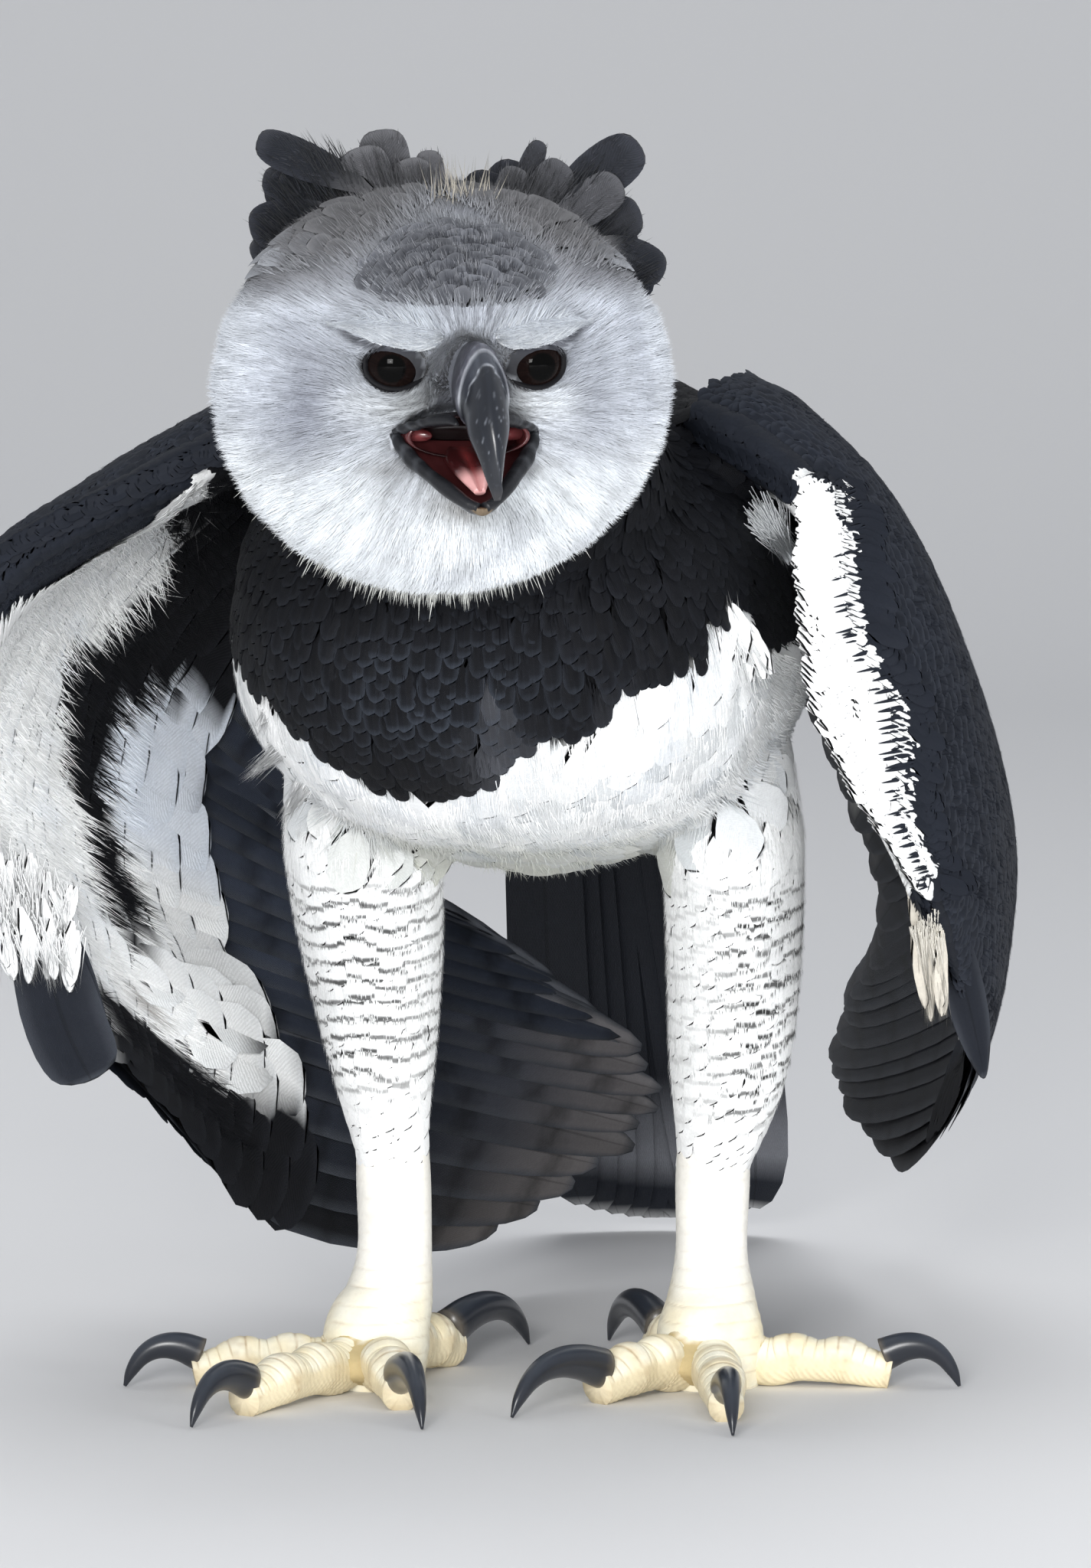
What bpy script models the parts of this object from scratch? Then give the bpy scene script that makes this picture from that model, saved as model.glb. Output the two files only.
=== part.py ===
"""Harpy eagle, life size: a still museum-style model that stands on the floor with its wings half open.

Metres, +Z up. The bird looks along -Y, its right side is at -X. Sizes below are in centimetres unless they say otherwise.
"""

import math

import bmesh
import bpy
import numpy as np
from mathutils import Matrix, Vector

for old in list(bpy.data.objects):
    bpy.data.objects.remove(old, do_unlink=True)

# ---------------------------------------------------------------- driving sizes
CM = 0.01
GAP = 0.0004  # clearance between neighbouring solids, in metres
BODY_YAW = -8.0  # the trunk points a little to the bird's right, degrees
HEAD_AT = (-3.05, -24.0, 38.1)
HEAD_YAW, HEAD_PITCH = 10.0, 5.0
RUFF_R = 8.05  # radius of the facial disc at its widest
CREST_ROOT_R = 5.0
EYE_R = 1.10
EYE_AT = (2.36, -3.28, 1.27)
TAIL_LENGTH_Y, TAIL_TOP, TAIL_HALF = 21.0, 26.2, 5.5
CLAW_BASE = 0.66
BROW = 0.55  # how far the brow ridge stands out over the eye


# ---------------------------------------------------------------- small tools
def material(name, colour, rough, metal=0.0):
    mat = bpy.data.materials.new(name)
    mat.use_nodes = True
    shader = mat.node_tree.nodes["Principled BSDF"]
    shader.inputs["Base Color"].default_value = (*colour, 1.0)
    shader.inputs["Roughness"].default_value = rough
    shader.inputs["Metallic"].default_value = metal
    return mat


MATERIALS = {
    "face": material("face_feathers", (0.62, 0.63, 0.66), 0.9),
    "crest": material("crest_feathers", (0.10, 0.11, 0.13), 0.8),
    "black": material("black_plumage", (0.025, 0.028, 0.034), 0.8),
    "white": material("white_plumage", (0.80, 0.80, 0.78), 0.9),
    "wing": material("wing_feathers", (0.06, 0.065, 0.075), 0.7),
    "bill": material("bill_horn", (0.03, 0.034, 0.045), 0.3),
    "tongue": material("tongue_flesh", (0.70, 0.32, 0.32), 0.4),
    "eye": material("eye", (0.015, 0.010, 0.008), 0.08),
    "leg": material("leg_scales", (0.80, 0.62, 0.34), 0.6),
    "claw": material("claw_horn", (0.02, 0.022, 0.027), 0.3),
}


def smooth_path(points, count):
    """count points on a Catmull-Rom curve through the rows of points, evenly spaced in its parameter."""
    p = np.asarray(points, float)
    ends = np.vstack([2 * p[0] - p[1], p, 2 * p[-1] - p[-2]])
    out = []
    for x in np.linspace(0, len(p) - 1, count):
        i = min(int(x), len(p) - 2)
        f = x - i
        a, b, c, d = ends[i : i + 4]
        out.append(
            0.5
            * (
                2 * b
                + (c - a) * f
                + (2 * a - 5 * b + 4 * c - d) * f**2
                + (3 * b - a - 3 * c + d) * f**3
            )
        )
    return np.array(out)


def to_object(name, bm, mat, parent=None):
    bmesh.ops.recalc_face_normals(bm, faces=bm.faces)
    mesh = bpy.data.meshes.new(name)
    bm.to_mesh(mesh)
    bm.free()
    mesh.materials.append(MATERIALS[mat])
    mesh.shade_smooth()
    mesh.set_sharp_from_angle(angle=math.radians(50))
    made = bpy.data.objects.new(name, mesh)
    bpy.context.scene.collection.objects.link(made)
    made.parent = parent
    return made


def loft(name, rings, mat, parent=None, floor=None):
    """A closed body through rings of points, with its two ends drawn in to a point. floor clamps it to a flat sole."""
    bm = bmesh.new()
    loops = []
    for ring in rings:
        verts = []
        for x, y, z in ring:
            if floor is not None:
                z = max(z, floor)
            verts.append(bm.verts.new((x * CM, y * CM, z * CM)))
        loops.append([bm.edges.new((a, b)) for a, b in zip(verts, verts[1:] + verts[:1])])
    for first, second in zip(loops, loops[1:]):
        bmesh.ops.bridge_loops(bm, edges=first + second)
    bmesh.ops.holes_fill(bm, edges=loops[0] + loops[-1], sides=0)
    caps = [f for f in bm.faces if len(f.verts) > 4]
    bmesh.ops.poke(bm, faces=caps)
    return to_object(name, bm, mat, parent)


def tube_rings(stations, sides, count=None, upward=(0, 0, 1), square=2.0, pear=0.0):
    """Rings across a path. A station is (x, y, z, half width, half height above, half height below)."""
    rows = np.asarray(stations, float)
    if count:
        rows = smooth_path(rows, count)
    centre = rows[:, :3]
    along = np.gradient(centre, axis=0)
    rings = []
    for c, t, (w, up, down) in zip(centre, along, rows[:, 3:6]):
        t = Vector(t).normalized()
        side = t.cross(Vector(upward)).normalized()
        top = side.cross(t).normalized()
        ring = []
        for k in range(sides):
            a = 2 * math.pi * k / sides
            ca, sa = math.cos(a), math.sin(a)
            x = math.copysign(abs(ca) ** (2 / square), ca) * w * (1 - pear * sa)
            z = math.copysign(abs(sa) ** (2 / square), sa) * (up if sa > 0 else down)
            ring.append(Vector(c) + side * x + top * z)
        rings.append(ring)
    return rings


def sheet(name, point, thick, nu, nv, mat, parent=None, floor=None):
    """A thickened patch. point(u, v) gives its middle and thick(u, v) its thickness, both for u and v from 0 to 1."""
    bm = bmesh.new()
    bmesh.ops.create_grid(bm, x_segments=nu, y_segments=nv, size=0.5)
    spots = {}
    for vert in bm.verts:
        u, v = vert.co.x + 0.5, vert.co.y + 0.5
        spots[vert] = (u, v)
    outline = [e for e in bm.edges if e.is_boundary]
    top_faces = list(bm.faces)
    copy = bmesh.ops.duplicate(bm, geom=list(bm.verts) + list(bm.edges) + top_faces)
    twin = {a: b for a, b in copy["vert_map"].items() if a in spots}
    e = 1e-3
    for vert, (u, v) in spots.items():
        here = Vector(point(u, v))
        du = Vector(point(min(u + e, 1), v)) - Vector(point(max(u - e, 0), v))
        dv = Vector(point(u, min(v + e, 1))) - Vector(point(u, max(v - e, 0)))
        normal = du.cross(dv).normalized()
        half = thick(u, v) / 2
        for corner, sign in ((vert, 1), (twin[vert], -1)):
            p = here + normal * half * sign
            if floor is not None:
                p.z = max(p.z, floor)
            corner.co = p * CM
    for face in [f for f in copy["geom"] if isinstance(f, bmesh.types.BMFace)]:
        face.normal_flip()
    for edge in outline:
        a, b = edge.verts
        bm.faces.new((b, a, twin[a], twin[b]))
    return to_object(name, bm, mat, parent)


def applied(target):
    """Writes the modifiers into the mesh and keeps its largest body."""
    bpy.context.view_layer.update()
    graph = bpy.context.evaluated_depsgraph_get()
    mesh = bpy.data.meshes.new_from_object(target.evaluated_get(graph))
    target.modifiers.clear()
    target.data = mesh
    bm = bmesh.new()
    bm.from_mesh(mesh)
    bmesh.ops.remove_doubles(bm, verts=bm.verts, dist=2e-5)
    left, bodies = set(bm.verts), []
    while left:
        stack, body = [left.pop()], []
        while stack:
            vert = stack.pop()
            body.append(vert)
            for edge in vert.link_edges:
                other = edge.other_vert(vert)
                if other in left:
                    left.remove(other)
                    stack.append(other)
        bodies.append(body)
    bodies.sort(key=len)
    for body in bodies[:-1]:
        bmesh.ops.delete(bm, geom=body, context="VERTS")
    bmesh.ops.triangulate(bm, faces=bm.faces)
    bm.to_mesh(mesh)
    bm.free()


def cut(target, *others, gap=GAP):
    """Trims target where it runs into the others, leaving a thin clearance."""
    for other in others:
        cutter = bpy.data.objects.new(other.name + "_cutter", other.data.copy())
        bpy.context.scene.collection.objects.link(cutter)
        cutter.parent = other.parent
        cutter.matrix_local = other.matrix_local
        cutter.hide_render = True
        cutter.display_type = "WIRE"
        bm = bmesh.new()
        bm.from_mesh(cutter.data)
        bm.normal_update()
        moves = {v: v.normal.copy() for v in bm.verts}
        for vert, normal in moves.items():
            vert.co += normal * gap
        bm.to_mesh(cutter.data)
        bm.free()
        trim = target.modifiers.new("trim", "BOOLEAN")
        trim.operation = "DIFFERENCE"
        trim.solver = "EXACT"
        trim.object = cutter
        applied(target)
        bpy.data.objects.remove(cutter, do_unlink=True)


def frame_empty(name, at, euler):
    empty = bpy.data.objects.new(name, None)
    bpy.context.scene.collection.objects.link(empty)
    empty.location = [c * CM for c in at]
    empty.rotation_euler = [math.radians(a) for a in euler]
    return empty


body = frame_empty("body_frame", (0, 0, 0), (0, 0, BODY_YAW))
head_frame = frame_empty("head_frame", HEAD_AT, (HEAD_PITCH, 0, HEAD_YAW))
bpy.context.view_layer.update()

# ---------------------------------------------------------------- trunk and neck
# y, top, bottom, half width of upright sections through the trunk
TRUNK = [
    (-18.0, 31.0, 27.0, 2.6),
    (-17.0, 33.2, 25.0, 5.6),
    (-14.5, 35.2, 22.8, 8.0),
    (-11.0, 36.6, 21.0, 9.4),
    (-6.0, 37.6, 19.8, 10.2),
    (-1.0, 37.9, 19.4, 10.4),
    (5.0, 37.0, 19.6, 9.8),
    (11.0, 34.6, 20.4, 8.3),
    (16.0, 31.4, 21.3, 6.6),
    (20.0, 28.6, 21.9, 4.9),
    (22.5, 26.4, 22.6, 3.0),
]


def trunk_rings(sides=20, count=13):
    rings = []
    for y, top, bottom, w in smooth_path(TRUNK, count):
        middle = bottom + 0.46 * (top - bottom)
        ring = []
        for k in range(sides):
            a = 2 * math.pi * k / sides
            ca, sa = math.cos(a), math.sin(a)
            x = math.copysign(abs(ca) ** 0.86, ca) * w
            z = middle + math.copysign(abs(sa) ** 0.92, sa) * ((top - middle) if sa > 0 else (middle - bottom))
            ring.append((x, y, z))
        rings.append(ring)
    return rings


trunk = loft("trunk", trunk_rings(), "black", body)
neck = loft(
    "neck",
    tube_rings(
        [
            (0, -7.0, 30.0, 7.2, 6.4, 5.6),
            (0, -11.5, 32.4, 7.0, 6.2, 5.6),
            (0, -15.5, 34.8, 6.6, 5.9, 5.5),
            (0, -19.5, 37.2, 5.8, 5.2, 5.1),
        ],
        16,
        6,
    ),
    "black",
    body,
)

# ---------------------------------------------------------------- head: turned profiles about the facing axis
# (radius, y) from the middle of the face, round the rim of the facial disc, to the nape
SIDE = [(0.7, -4.6), (1.7, -4.3), (2.9, -3.62), (4.3, -2.9), (5.8, -2.2), (7.0, -1.4), (7.85, -0.4), (RUFF_R, 0.7), (7.5, 2.0), (6.5, 3.5), (4.9, 5.3), (2.6, 6.9), (0.7, 7.4)]
TOP = [(0.7, -4.65), (1.7, -4.6), (2.8, -4.4), (4.0, -3.8), (5.0, -2.7), (5.75, -1.4), (6.2, 0.2), (6.45, 1.8), (6.4, 3.4), (5.9, 4.9), (4.8, 6.1), (2.7, 7.1), (0.7, 7.4)]
CHIN = [(0.7, -4.55), (1.7, -4.25), (2.8, -3.85), (4.1, -3.3), (5.4, -2.6), (6.5, -1.7), (7.15, -0.7), (7.35, 0.4), (7.0, 1.6), (6.2, 3.2), (4.8, 5.2), (2.6, 6.8), (0.7, 7.4)]


def head_rings(sides=22):
    rings = []
    for side, top, chin in zip(SIDE, TOP, CHIN):
        ring = []
        for k in range(sides):
            a = 2 * math.pi * k / sides
            ca, sa = math.cos(a), math.sin(a)
            other = top if sa > 0 else chin
            r = side[0] * ca * ca + other[0] * sa * sa
            y = side[1] * ca * ca + other[1] * sa * sa
            x, z = r * ca, r * sa
            y -= BROW * math.exp(-(((abs(x) - 2.5) / 1.3) ** 2) - ((z - 2.5) / 0.62) ** 2)
            ring.append((x, y, z))
        rings.append(ring)
    return rings


head = loft("head", head_rings(), "face", head_frame)

# ---------------------------------------------------------------- bill, tongue and eyes
bill_upper = loft(
    "bill_upper",
    tube_rings(
        [
            (0, -3.4, 0.75, 1.00, 1.40, 1.50),
            (0, -4.8, 0.78, 1.30, 1.50, 1.42),
            (0, -6.0, 0.66, 1.05, 1.36, 1.28),
            (0, -7.0, 0.25, 0.86, 1.14, 1.05),
            (0, -7.75, -0.45, 0.66, 0.84, 0.75),
            (0, -8.2, -1.30, 0.44, 0.54, 0.46),
            (0, -8.42, -2.10, 0.25, 0.30, 0.26),
            (0, -8.48, -2.82, 0.09, 0.09, 0.09),
        ],
        14,
        12,
        pear=0.18,
    ),
    "bill",
    head_frame,
)


def scoop_rings(stations, sides=14):
    """Crescent sections, hollow on top, for the lower half of the bill."""
    rings = []
    for y, z, w, deep, hollow in smooth_path(stations, 8):
        ring = []
        for k in range(sides):
            a = 2 * math.pi * k / sides
            sa = math.sin(a)
            ring.append((w * math.cos(a), y, z - (hollow if sa > 0 else deep) * abs(sa)))
        rings.append(ring)
    return rings


bill_lower = loft(
    "bill_lower",
    scoop_rings(
        [
            (-3.0, -0.95, 2.42, 1.15, 0.45),
            (-4.2, -1.38, 2.02, 1.15, 0.50),
            (-5.4, -1.92, 1.48, 0.98, 0.45),
            (-6.5, -2.45, 0.88, 0.68, 0.30),
            (-7.2, -2.80, 0.30, 0.32, 0.10),
        ]
    ),
    "bill",
    head_frame,
)
tongue = loft(
    "tongue",
    tube_rings(
        [
            (0, -2.6, -1.15, 0.75, 0.22, 0.22),
            (0, -4.2, -1.52, 0.72, 0.24, 0.22),
            (0, -5.4, -2.02, 0.56, 0.22, 0.20),
            (0, -6.35, -2.46, 0.28, 0.14, 0.14),
        ],
        10,
        6,
    ),
    "tongue",
    head_frame,
)


def ellipsoid(name, at, radii, mat, parent, segments=12, rings=8):
    bm = bmesh.new()
    bmesh.ops.create_uvsphere(bm, u_segments=segments, v_segments=rings, radius=1.0)
    for vert in bm.verts:
        vert.co = Vector([(c + v * r) * CM for c, v, r in zip(at, vert.co, radii)])
    return to_object(name, bm, mat, parent)


eyes = [
    ellipsoid("eye_" + side, (s * EYE_AT[0], EYE_AT[1], EYE_AT[2]), (EYE_R,) * 3, "eye", head_frame)
    for side, s in (("left", 1), ("right", -1))
]
mouth = ellipsoid("mouth_hollow", (0, -3.9, -1.05), (2.35, 2.4, 0.80), "tongue", head_frame, 12, 6)
mouth.hide_render = True
mouth.display_type = "WIRE"

# ---------------------------------------------------------------- crest: a fan of broad feathers behind the crown
# (degrees from upright, radius of the tip from the middle of the disc)
CREST = [(-47, 8.5), (-37, 9.3), (-28, 9.5), (-16, 8.4), (-5, 7.6), (26, 8.3), (33, 8.8), (43, 10.1), (57, 9.1), (65, 9.1)]
CREST_FROM, CREST_TO = -56.0, 73.0


def crest_reach(degrees):
    reach = 6.7
    for at, r in CREST:
        off = abs(degrees - at) / 8.2
        if off < 1:
            reach = max(reach, r - 2.0 * (1 - math.sqrt(1 - off * off)))
    return reach


def crest_point(u, v):
    degrees = CREST_FROM + (CREST_TO - CREST_FROM) * u
    a = math.radians(degrees)
    out = (crest_reach(degrees) - CREST_ROOT_R) * v
    r = CREST_ROOT_R + out
    return (r * math.sin(a), 2.6 + 0.8 * out - 0.05 * out * out, r * math.cos(a))


crest = sheet("crest", crest_point, lambda u, v: 0.85 - 0.45 * v, 43, 3, "crest", head_frame)

# ---------------------------------------------------------------- wings
# Rows run from the leading edge to the feather tips, from the innermost row to the outermost
# primary: (outwards, y, z) in the trunk's frame.
WING_ROWS = {
    "right": [
        [(6.4, -8.0, 36.0), (7.8, 1.0, 36.0), (7.4, 10.0, 33.0), (5.6, 18.5, 27.6)],
        [(12.6, -10.4, 33.4), (15.4, -1.0, 31.2), (13.4, 9.0, 24.8), (7.4, 18.0, 17.0)],
        [(17.8, -11.6, 30.4), (18.6, -3.0, 27.6), (14.4, 8.0, 20.5), (3.0, 20.5, 13.0)],
        [(20.4, -11.0, 25.0), (19.6, -3.2, 22.0), (13.6, 7.6, 15.6), (-1.2, 23.6, 8.8)],
        [(19.4, -8.2, 19.6), (17.8, -2.4, 16.8), (11.6, 6.6, 11.4), (-0.8, 25.8, 5.0)],
        [(18.0, -5.6, 15.8), (14.6, -1.6, 11.2), (10.4, 8.6, 5.2), (3.4, 22.2, 2.0)],
    ],
    "left": [
        [(6.4, -8.0, 36.0), (7.8, 2.0, 36.0), (7.4, 11.0, 32.6), (5.4, 20.0, 26.6)],
        [(10.8, -10.4, 33.4), (12.8, -1.0, 31.6), (12.6, 9.5, 26.4), (8.6, 21.5, 19.4)],
        [(12.1, -12.2, 29.6), (15.2, -2.0, 27.0), (15.0, 9.8, 21.2), (9.8, 24.5, 14.0)],
        [(13.1, -11.6, 24.2), (16.5, -1.6, 21.8), (15.6, 11.0, 16.4), (7.6, 30.5, 10.0)],
        [(14.9, -9.2, 19.4), (16.8, -0.4, 16.6), (14.6, 12.0, 11.4), (6.8, 33.0, 6.6)],
        [(15.6, -6.6, 16.4), (16.2, -0.6, 12.6), (14.0, 9.0, 8.6), (10.0, 24.6, 5.2)],
    ],
}
ARM_SHARE = 0.42  # how far along a row the bones and coverts reach
HAND_ROW = 0.55  # where the secondaries end and the primaries begin


def wing_surface(side):
    """P(t, s): t from the innermost row to the outermost, s from the leading edge to the tip."""
    sign = -1 if side == "right" else 1
    rows = np.array(WING_ROWS[side], float)
    dense = np.array([smooth_path(row, 41) for row in rows])
    table = np.array([smooth_path(dense[:, k], 61) for k in range(41)])  # s, t

    def point(t, s):
        x, y = min(max(s, 0), 1) * 40, min(max(t, 0), 1) * 60
        i, j = min(int(x), 39), min(int(y), 59)
        f, g = x - i, y - j
        p = (
            table[i, j] * (1 - f) * (1 - g)
            + table[i + 1, j] * f * (1 - g)
            + table[i, j + 1] * (1 - f) * g
            + table[i + 1, j + 1] * f * g
        )
        return (sign * p[0], p[1], p[2])

    return point


def wing_thickness(t, s):
    along = smooth_path([(0.7,), (2.1,), (2.3,), (1.6,), (1.0,), (0.75,), (0.6,), (0.5,), (0.42,), (0.36,), (0.3,)], 101)
    arm = along[int(round(min(max(s, 0), 1) * 100))][0]
    hand = 1 - 0.42 * min(max((t - 0.45) / 0.4, 0), 1)
    shoulder = 1 + 0.55 * max(0.0, 1 - t / 0.25) * max(0.0, 1 - s / 0.5)
    rim = 0.55 + 0.45 * min(1.0, min(t, 1 - t) / 0.06)
    return max(arm * hand * shoulder * rim, 0.25)


def wing_part(name, side, t0, t1, s0, s1, nu, nv):
    surface = wing_surface(side)
    return sheet(
        name,
        lambda u, v: surface(t0 + (t1 - t0) * u, s0 + (s1 - s0) * v),
        lambda u, v: wing_thickness(t0 + (t1 - t0) * u, s0 + (s1 - s0) * v),
        nu,
        nv,
        "wing",
        body,
    )


ALULA = {
    "right": [(17.6, -7.0, 18.2), (16.9, -6.2, 15.8), (16.4, -5.2, 13.4), (15.6, -4.5, 11.4)],
    "left": [(15.3, -7.8, 19.4), (15.9, -6.2, 16.9), (16.4, -4.6, 14.2), (16.7, -3.2, 11.9)],
}
ALULA_HALF = {"right": (1.1, 1.55, 1.7, 0.9), "left": (0.6, 0.8, 0.8, 0.45)}
wings = {}
for side in ("right", "left"):
    arm = wing_part(f"wing_{side}_arm", side, 0.0, 1.0, 0.0, ARM_SHARE, 15, 7)
    second = wing_part(f"wing_{side}_secondaries", side, 0.0, HAND_ROW - 0.006, ARM_SHARE + 0.0022, 1.0, 8, 6)
    prime = wing_part(f"wing_{side}_primaries", side, HAND_ROW + 0.006, 1.0, ARM_SHARE + 0.0022, 1.0, 7, 6)
    sign = -1 if side == "right" else 1
    alula = loft(
        f"wing_{side}_alula",
        [
            [Vector((sign * p.x, p.y, p.z)) for p in ring]
            for ring in tube_rings(
                [(*p, w, 0.28, 0.28) for p, w in zip(ALULA[side], ALULA_HALF[side])],
                10,
                7,
                upward=(0.2, -1.0, 0.1),
            )
        ],
        "wing",
        body,
    )
    wings[side] = (arm, second, prime, alula)

# ---------------------------------------------------------------- tail
TAIL_START = 17.5


def tail_point(u, v):
    across = 2 * u - 1
    reach = v * (1 - 0.05 * across * across)
    half = 3.0 + (TAIL_HALF - 3.0) * math.sin(min(reach, 0.85) / 0.85 * math.pi / 2)
    half *= math.sqrt(max(0.2, 1 - max(0.0, reach - 0.86) ** 2 * 18))
    y = TAIL_START + TAIL_LENGTH_Y * (0.86 * reach + 0.14 * reach * reach)
    z = TAIL_TOP * (1 - reach) ** 0.94 + 0.22
    return (across * half, y, z - 0.35 * across * across)


tail = sheet("tail", tail_point, lambda u, v: 1.7 - 1.2 * v, 6, 10, "wing", body, floor=0.0)

# ---------------------------------------------------------------- legs and feet, in world axes
# x, y, z, half width, half depth to the front, half depth to the back
THIGHS = {
    "right": [(-5.4, -1.6, 25.6, 1.6, 2.6, 3.0), (-6.3, -1.8, 22.5, 2.9, 4.1, 4.3), (-6.25, -1.2, 19.4, 2.95, 3.7, 4.0), (-6.0, -0.2, 16.6, 2.75, 3.1, 3.3), (-5.75, 0.6, 13.8, 2.4, 2.6, 2.7), (-5.55, 0.9, 11.2, 1.95, 2.1, 2.1), (-5.3, 0.9, 8.9, 1.55, 1.7, 1.7)],
    "left": [(6.0, -2.2, 25.6, 1.6, 2.6, 3.0), (7.0, -2.6, 22.5, 2.6, 4.1, 4.3), (7.15, -2.0, 19.4, 2.65, 3.7, 4.0), (7.2, -0.9, 16.6, 2.6, 3.1, 3.3), (7.15, 0.0, 13.8, 2.5, 2.7, 2.7), (7.0, 0.4, 11.2, 2.25, 2.2, 2.2), (6.6, 0.5, 8.6, 1.65, 1.8, 1.8)],
}
TARSI = {
    "right": [(-5.3, 0.9, 10.5, 1.2, 1.2, 1.2), (-5.2, 0.8, 7.6, 1.35, 1.35, 1.35), (-5.15, 0.5, 4.9, 1.35, 1.35, 1.35), (-5.35, 0.1, 3.2, 1.6, 1.7, 1.7), (-5.8, -0.3, 1.7, 1.95, 2.1, 2.0), (-5.9, -0.4, -0.5, 1.7, 1.85, 1.75)],
    "left": [(6.55, 0.5, 10.5, 1.2, 1.2, 1.2), (6.45, 0.5, 7.6, 1.35, 1.35, 1.35), (6.4, 0.3, 4.9, 1.30, 1.35, 1.35), (6.4, 0.0, 3.2, 1.6, 1.7, 1.7), (6.35, -0.4, 1.7, 1.95, 2.1, 2.0), (6.35, -0.45, -0.5, 1.7, 1.85, 1.75)],
}
# toe: compass direction in degrees (0 is forwards, + towards +X), length, claw length, thickness
TOES = {
    "right": {"inner": (10.0, 6.2, 5.6, 0.98), "middle": (-32.0, 8.6, 4.2, 0.92), "outer": (-84.0, 6.6, 3.2, 0.86), "hind": (148.0, 5.2, 6.6, 1.02)},
    "left": {"inner": (-42.0, 6.2, 5.6, 0.98), "middle": (3.0, 8.6, 4.2, 0.92), "outer": (84.0, 6.6, 3.2, 0.86), "hind": (-160.0, 5.2, 6.6, 1.02)},
}
SOLE = {"right": (-5.9, -0.4), "left": (6.35, -0.45)}


def toe_pieces(side, which):
    bearing, length, claw, thick = TOES[side][which]
    a = math.radians(bearing)
    way = Vector((math.sin(a), -math.cos(a), 0))
    start = Vector((*SOLE[side], 0))
    stations = []
    count = 8
    for k in range(count):
        f = k / (count - 1)
        pads = 1 + 0.09 * math.cos(2 * math.pi * (3 * f - 0.12))
        taper = 1.08 - 0.22 * f
        r = thick * pads * taper
        if k == count - 1:
            r *= 0.8
        height = 0.86 * r + 0.55 * max(0.0, 1 - f / 0.35) + 0.28 * math.sin(math.pi * f) * (f > 0.3)
        at = start + way * (0.4 + (length - 0.4) * f)
        stations.append((at.x, at.y, height, r * 0.96, r, r))
    toe = loft(f"toe_{side}_{which}", tube_rings(stations, 9), "leg", floor=0.0)
    base = start + way * (length - 0.25)
    radius = CLAW_BASE * (0.82 + 0.075 * (claw - 3.2))
    rise = 0.50 + 0.10 * claw
    claw_stations = []
    for k in range(7):
        f = k / 6
        out = claw * (0.86 * math.sin(1.32 * f) / math.sin(1.32))
        z = 0.92 + rise * math.sin(math.pi * min(1.0, 0.12 + f * 0.86)) - 1.0 * f**1.7
        r = radius * (1 - f) ** 0.72 + 0.06
        at = base + way * out
        claw_stations.append((at.x, at.y, max(z, 0.06 + 0.4 * r), 0.86 * r, r, 1.05 * r))
    nail = loft(f"claw_{side}_{which}", tube_rings(claw_stations, 6), "claw", floor=0.0)
    return toe, nail


legs = {}
for side in ("right", "left"):
    thigh = loft(f"thigh_{side}", tube_rings(THIGHS[side], 14, 8, upward=(0, -1, 0)), "white")
    tarsus = loft(f"tarsus_{side}", tube_rings(TARSI[side], 12, 9, upward=(0, -1, 0)), "leg", floor=0.0)
    legs[side] = (thigh, tarsus, {which: toe_pieces(side, which) for which in TOES[side]})

# ---------------------------------------------------------------- trimming: neighbours meet with a thin clearance
bpy.context.view_layer.update()
cut(neck, head, trunk)
cut(crest, head)
cut(head, mouth, gap=0.0)
cut(head, bill_upper, bill_lower, tongue, *eyes)
cut(crest, neck)
cut(tongue, bill_lower)
bpy.data.objects.remove(mouth, do_unlink=True)
for side in ("right", "left"):
    arm, second, prime, alula = wings[side]
    thigh, tarsus, toes = legs[side]
    cut(arm, trunk, neck)
    cut(second, trunk)
    cut(prime, trunk)
    cut(alula, arm, prime)
    cut(thigh, trunk)
    cut(tarsus, thigh)
    done = []
    for which in ("middle", "inner", "outer", "hind"):
        toe, nail = toes[which]
        cut(toe, tarsus, *done)
        cut(nail, toe)
        done.append(toe)
cut(tail, trunk)

# ---------------------------------------------------------------- origin: the middle of the box, on the floor
bpy.context.view_layer.update()
graph = bpy.context.evaluated_depsgraph_get()
corners = np.array(
    [
        ob.matrix_world @ v.co
        for ob in bpy.context.scene.objects
        if ob.type == "MESH"
        for v in ob.evaluated_get(graph).data.vertices
    ]
)
low, high = corners.min(axis=0), corners.max(axis=0)
SHIFT = Vector((-(low[0] + high[0]) / 2, -(low[1] + high[1]) / 2, -low[2]))
for ob in bpy.context.scene.objects:
    if ob.parent is None:
        ob.location = ob.location + SHIFT
bpy.context.view_layer.update()
print("origin shift", tuple(round(c, 5) for c in SHIFT), "size", tuple(round(float(c), 4) for c in high - low))
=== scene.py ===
"""Looks of the harpy eagle: one skin, and over it every feather, scale and claw as solid mesh.

Inside this script lengths are centimetres in the part's own design axes; mesh_piece() turns them into the frame's metres.
"""

import math

import bpy
import numpy as np
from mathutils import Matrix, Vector
from mathutils.bvhtree import BVHTree
from mathutils.kdtree import KDTree


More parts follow.
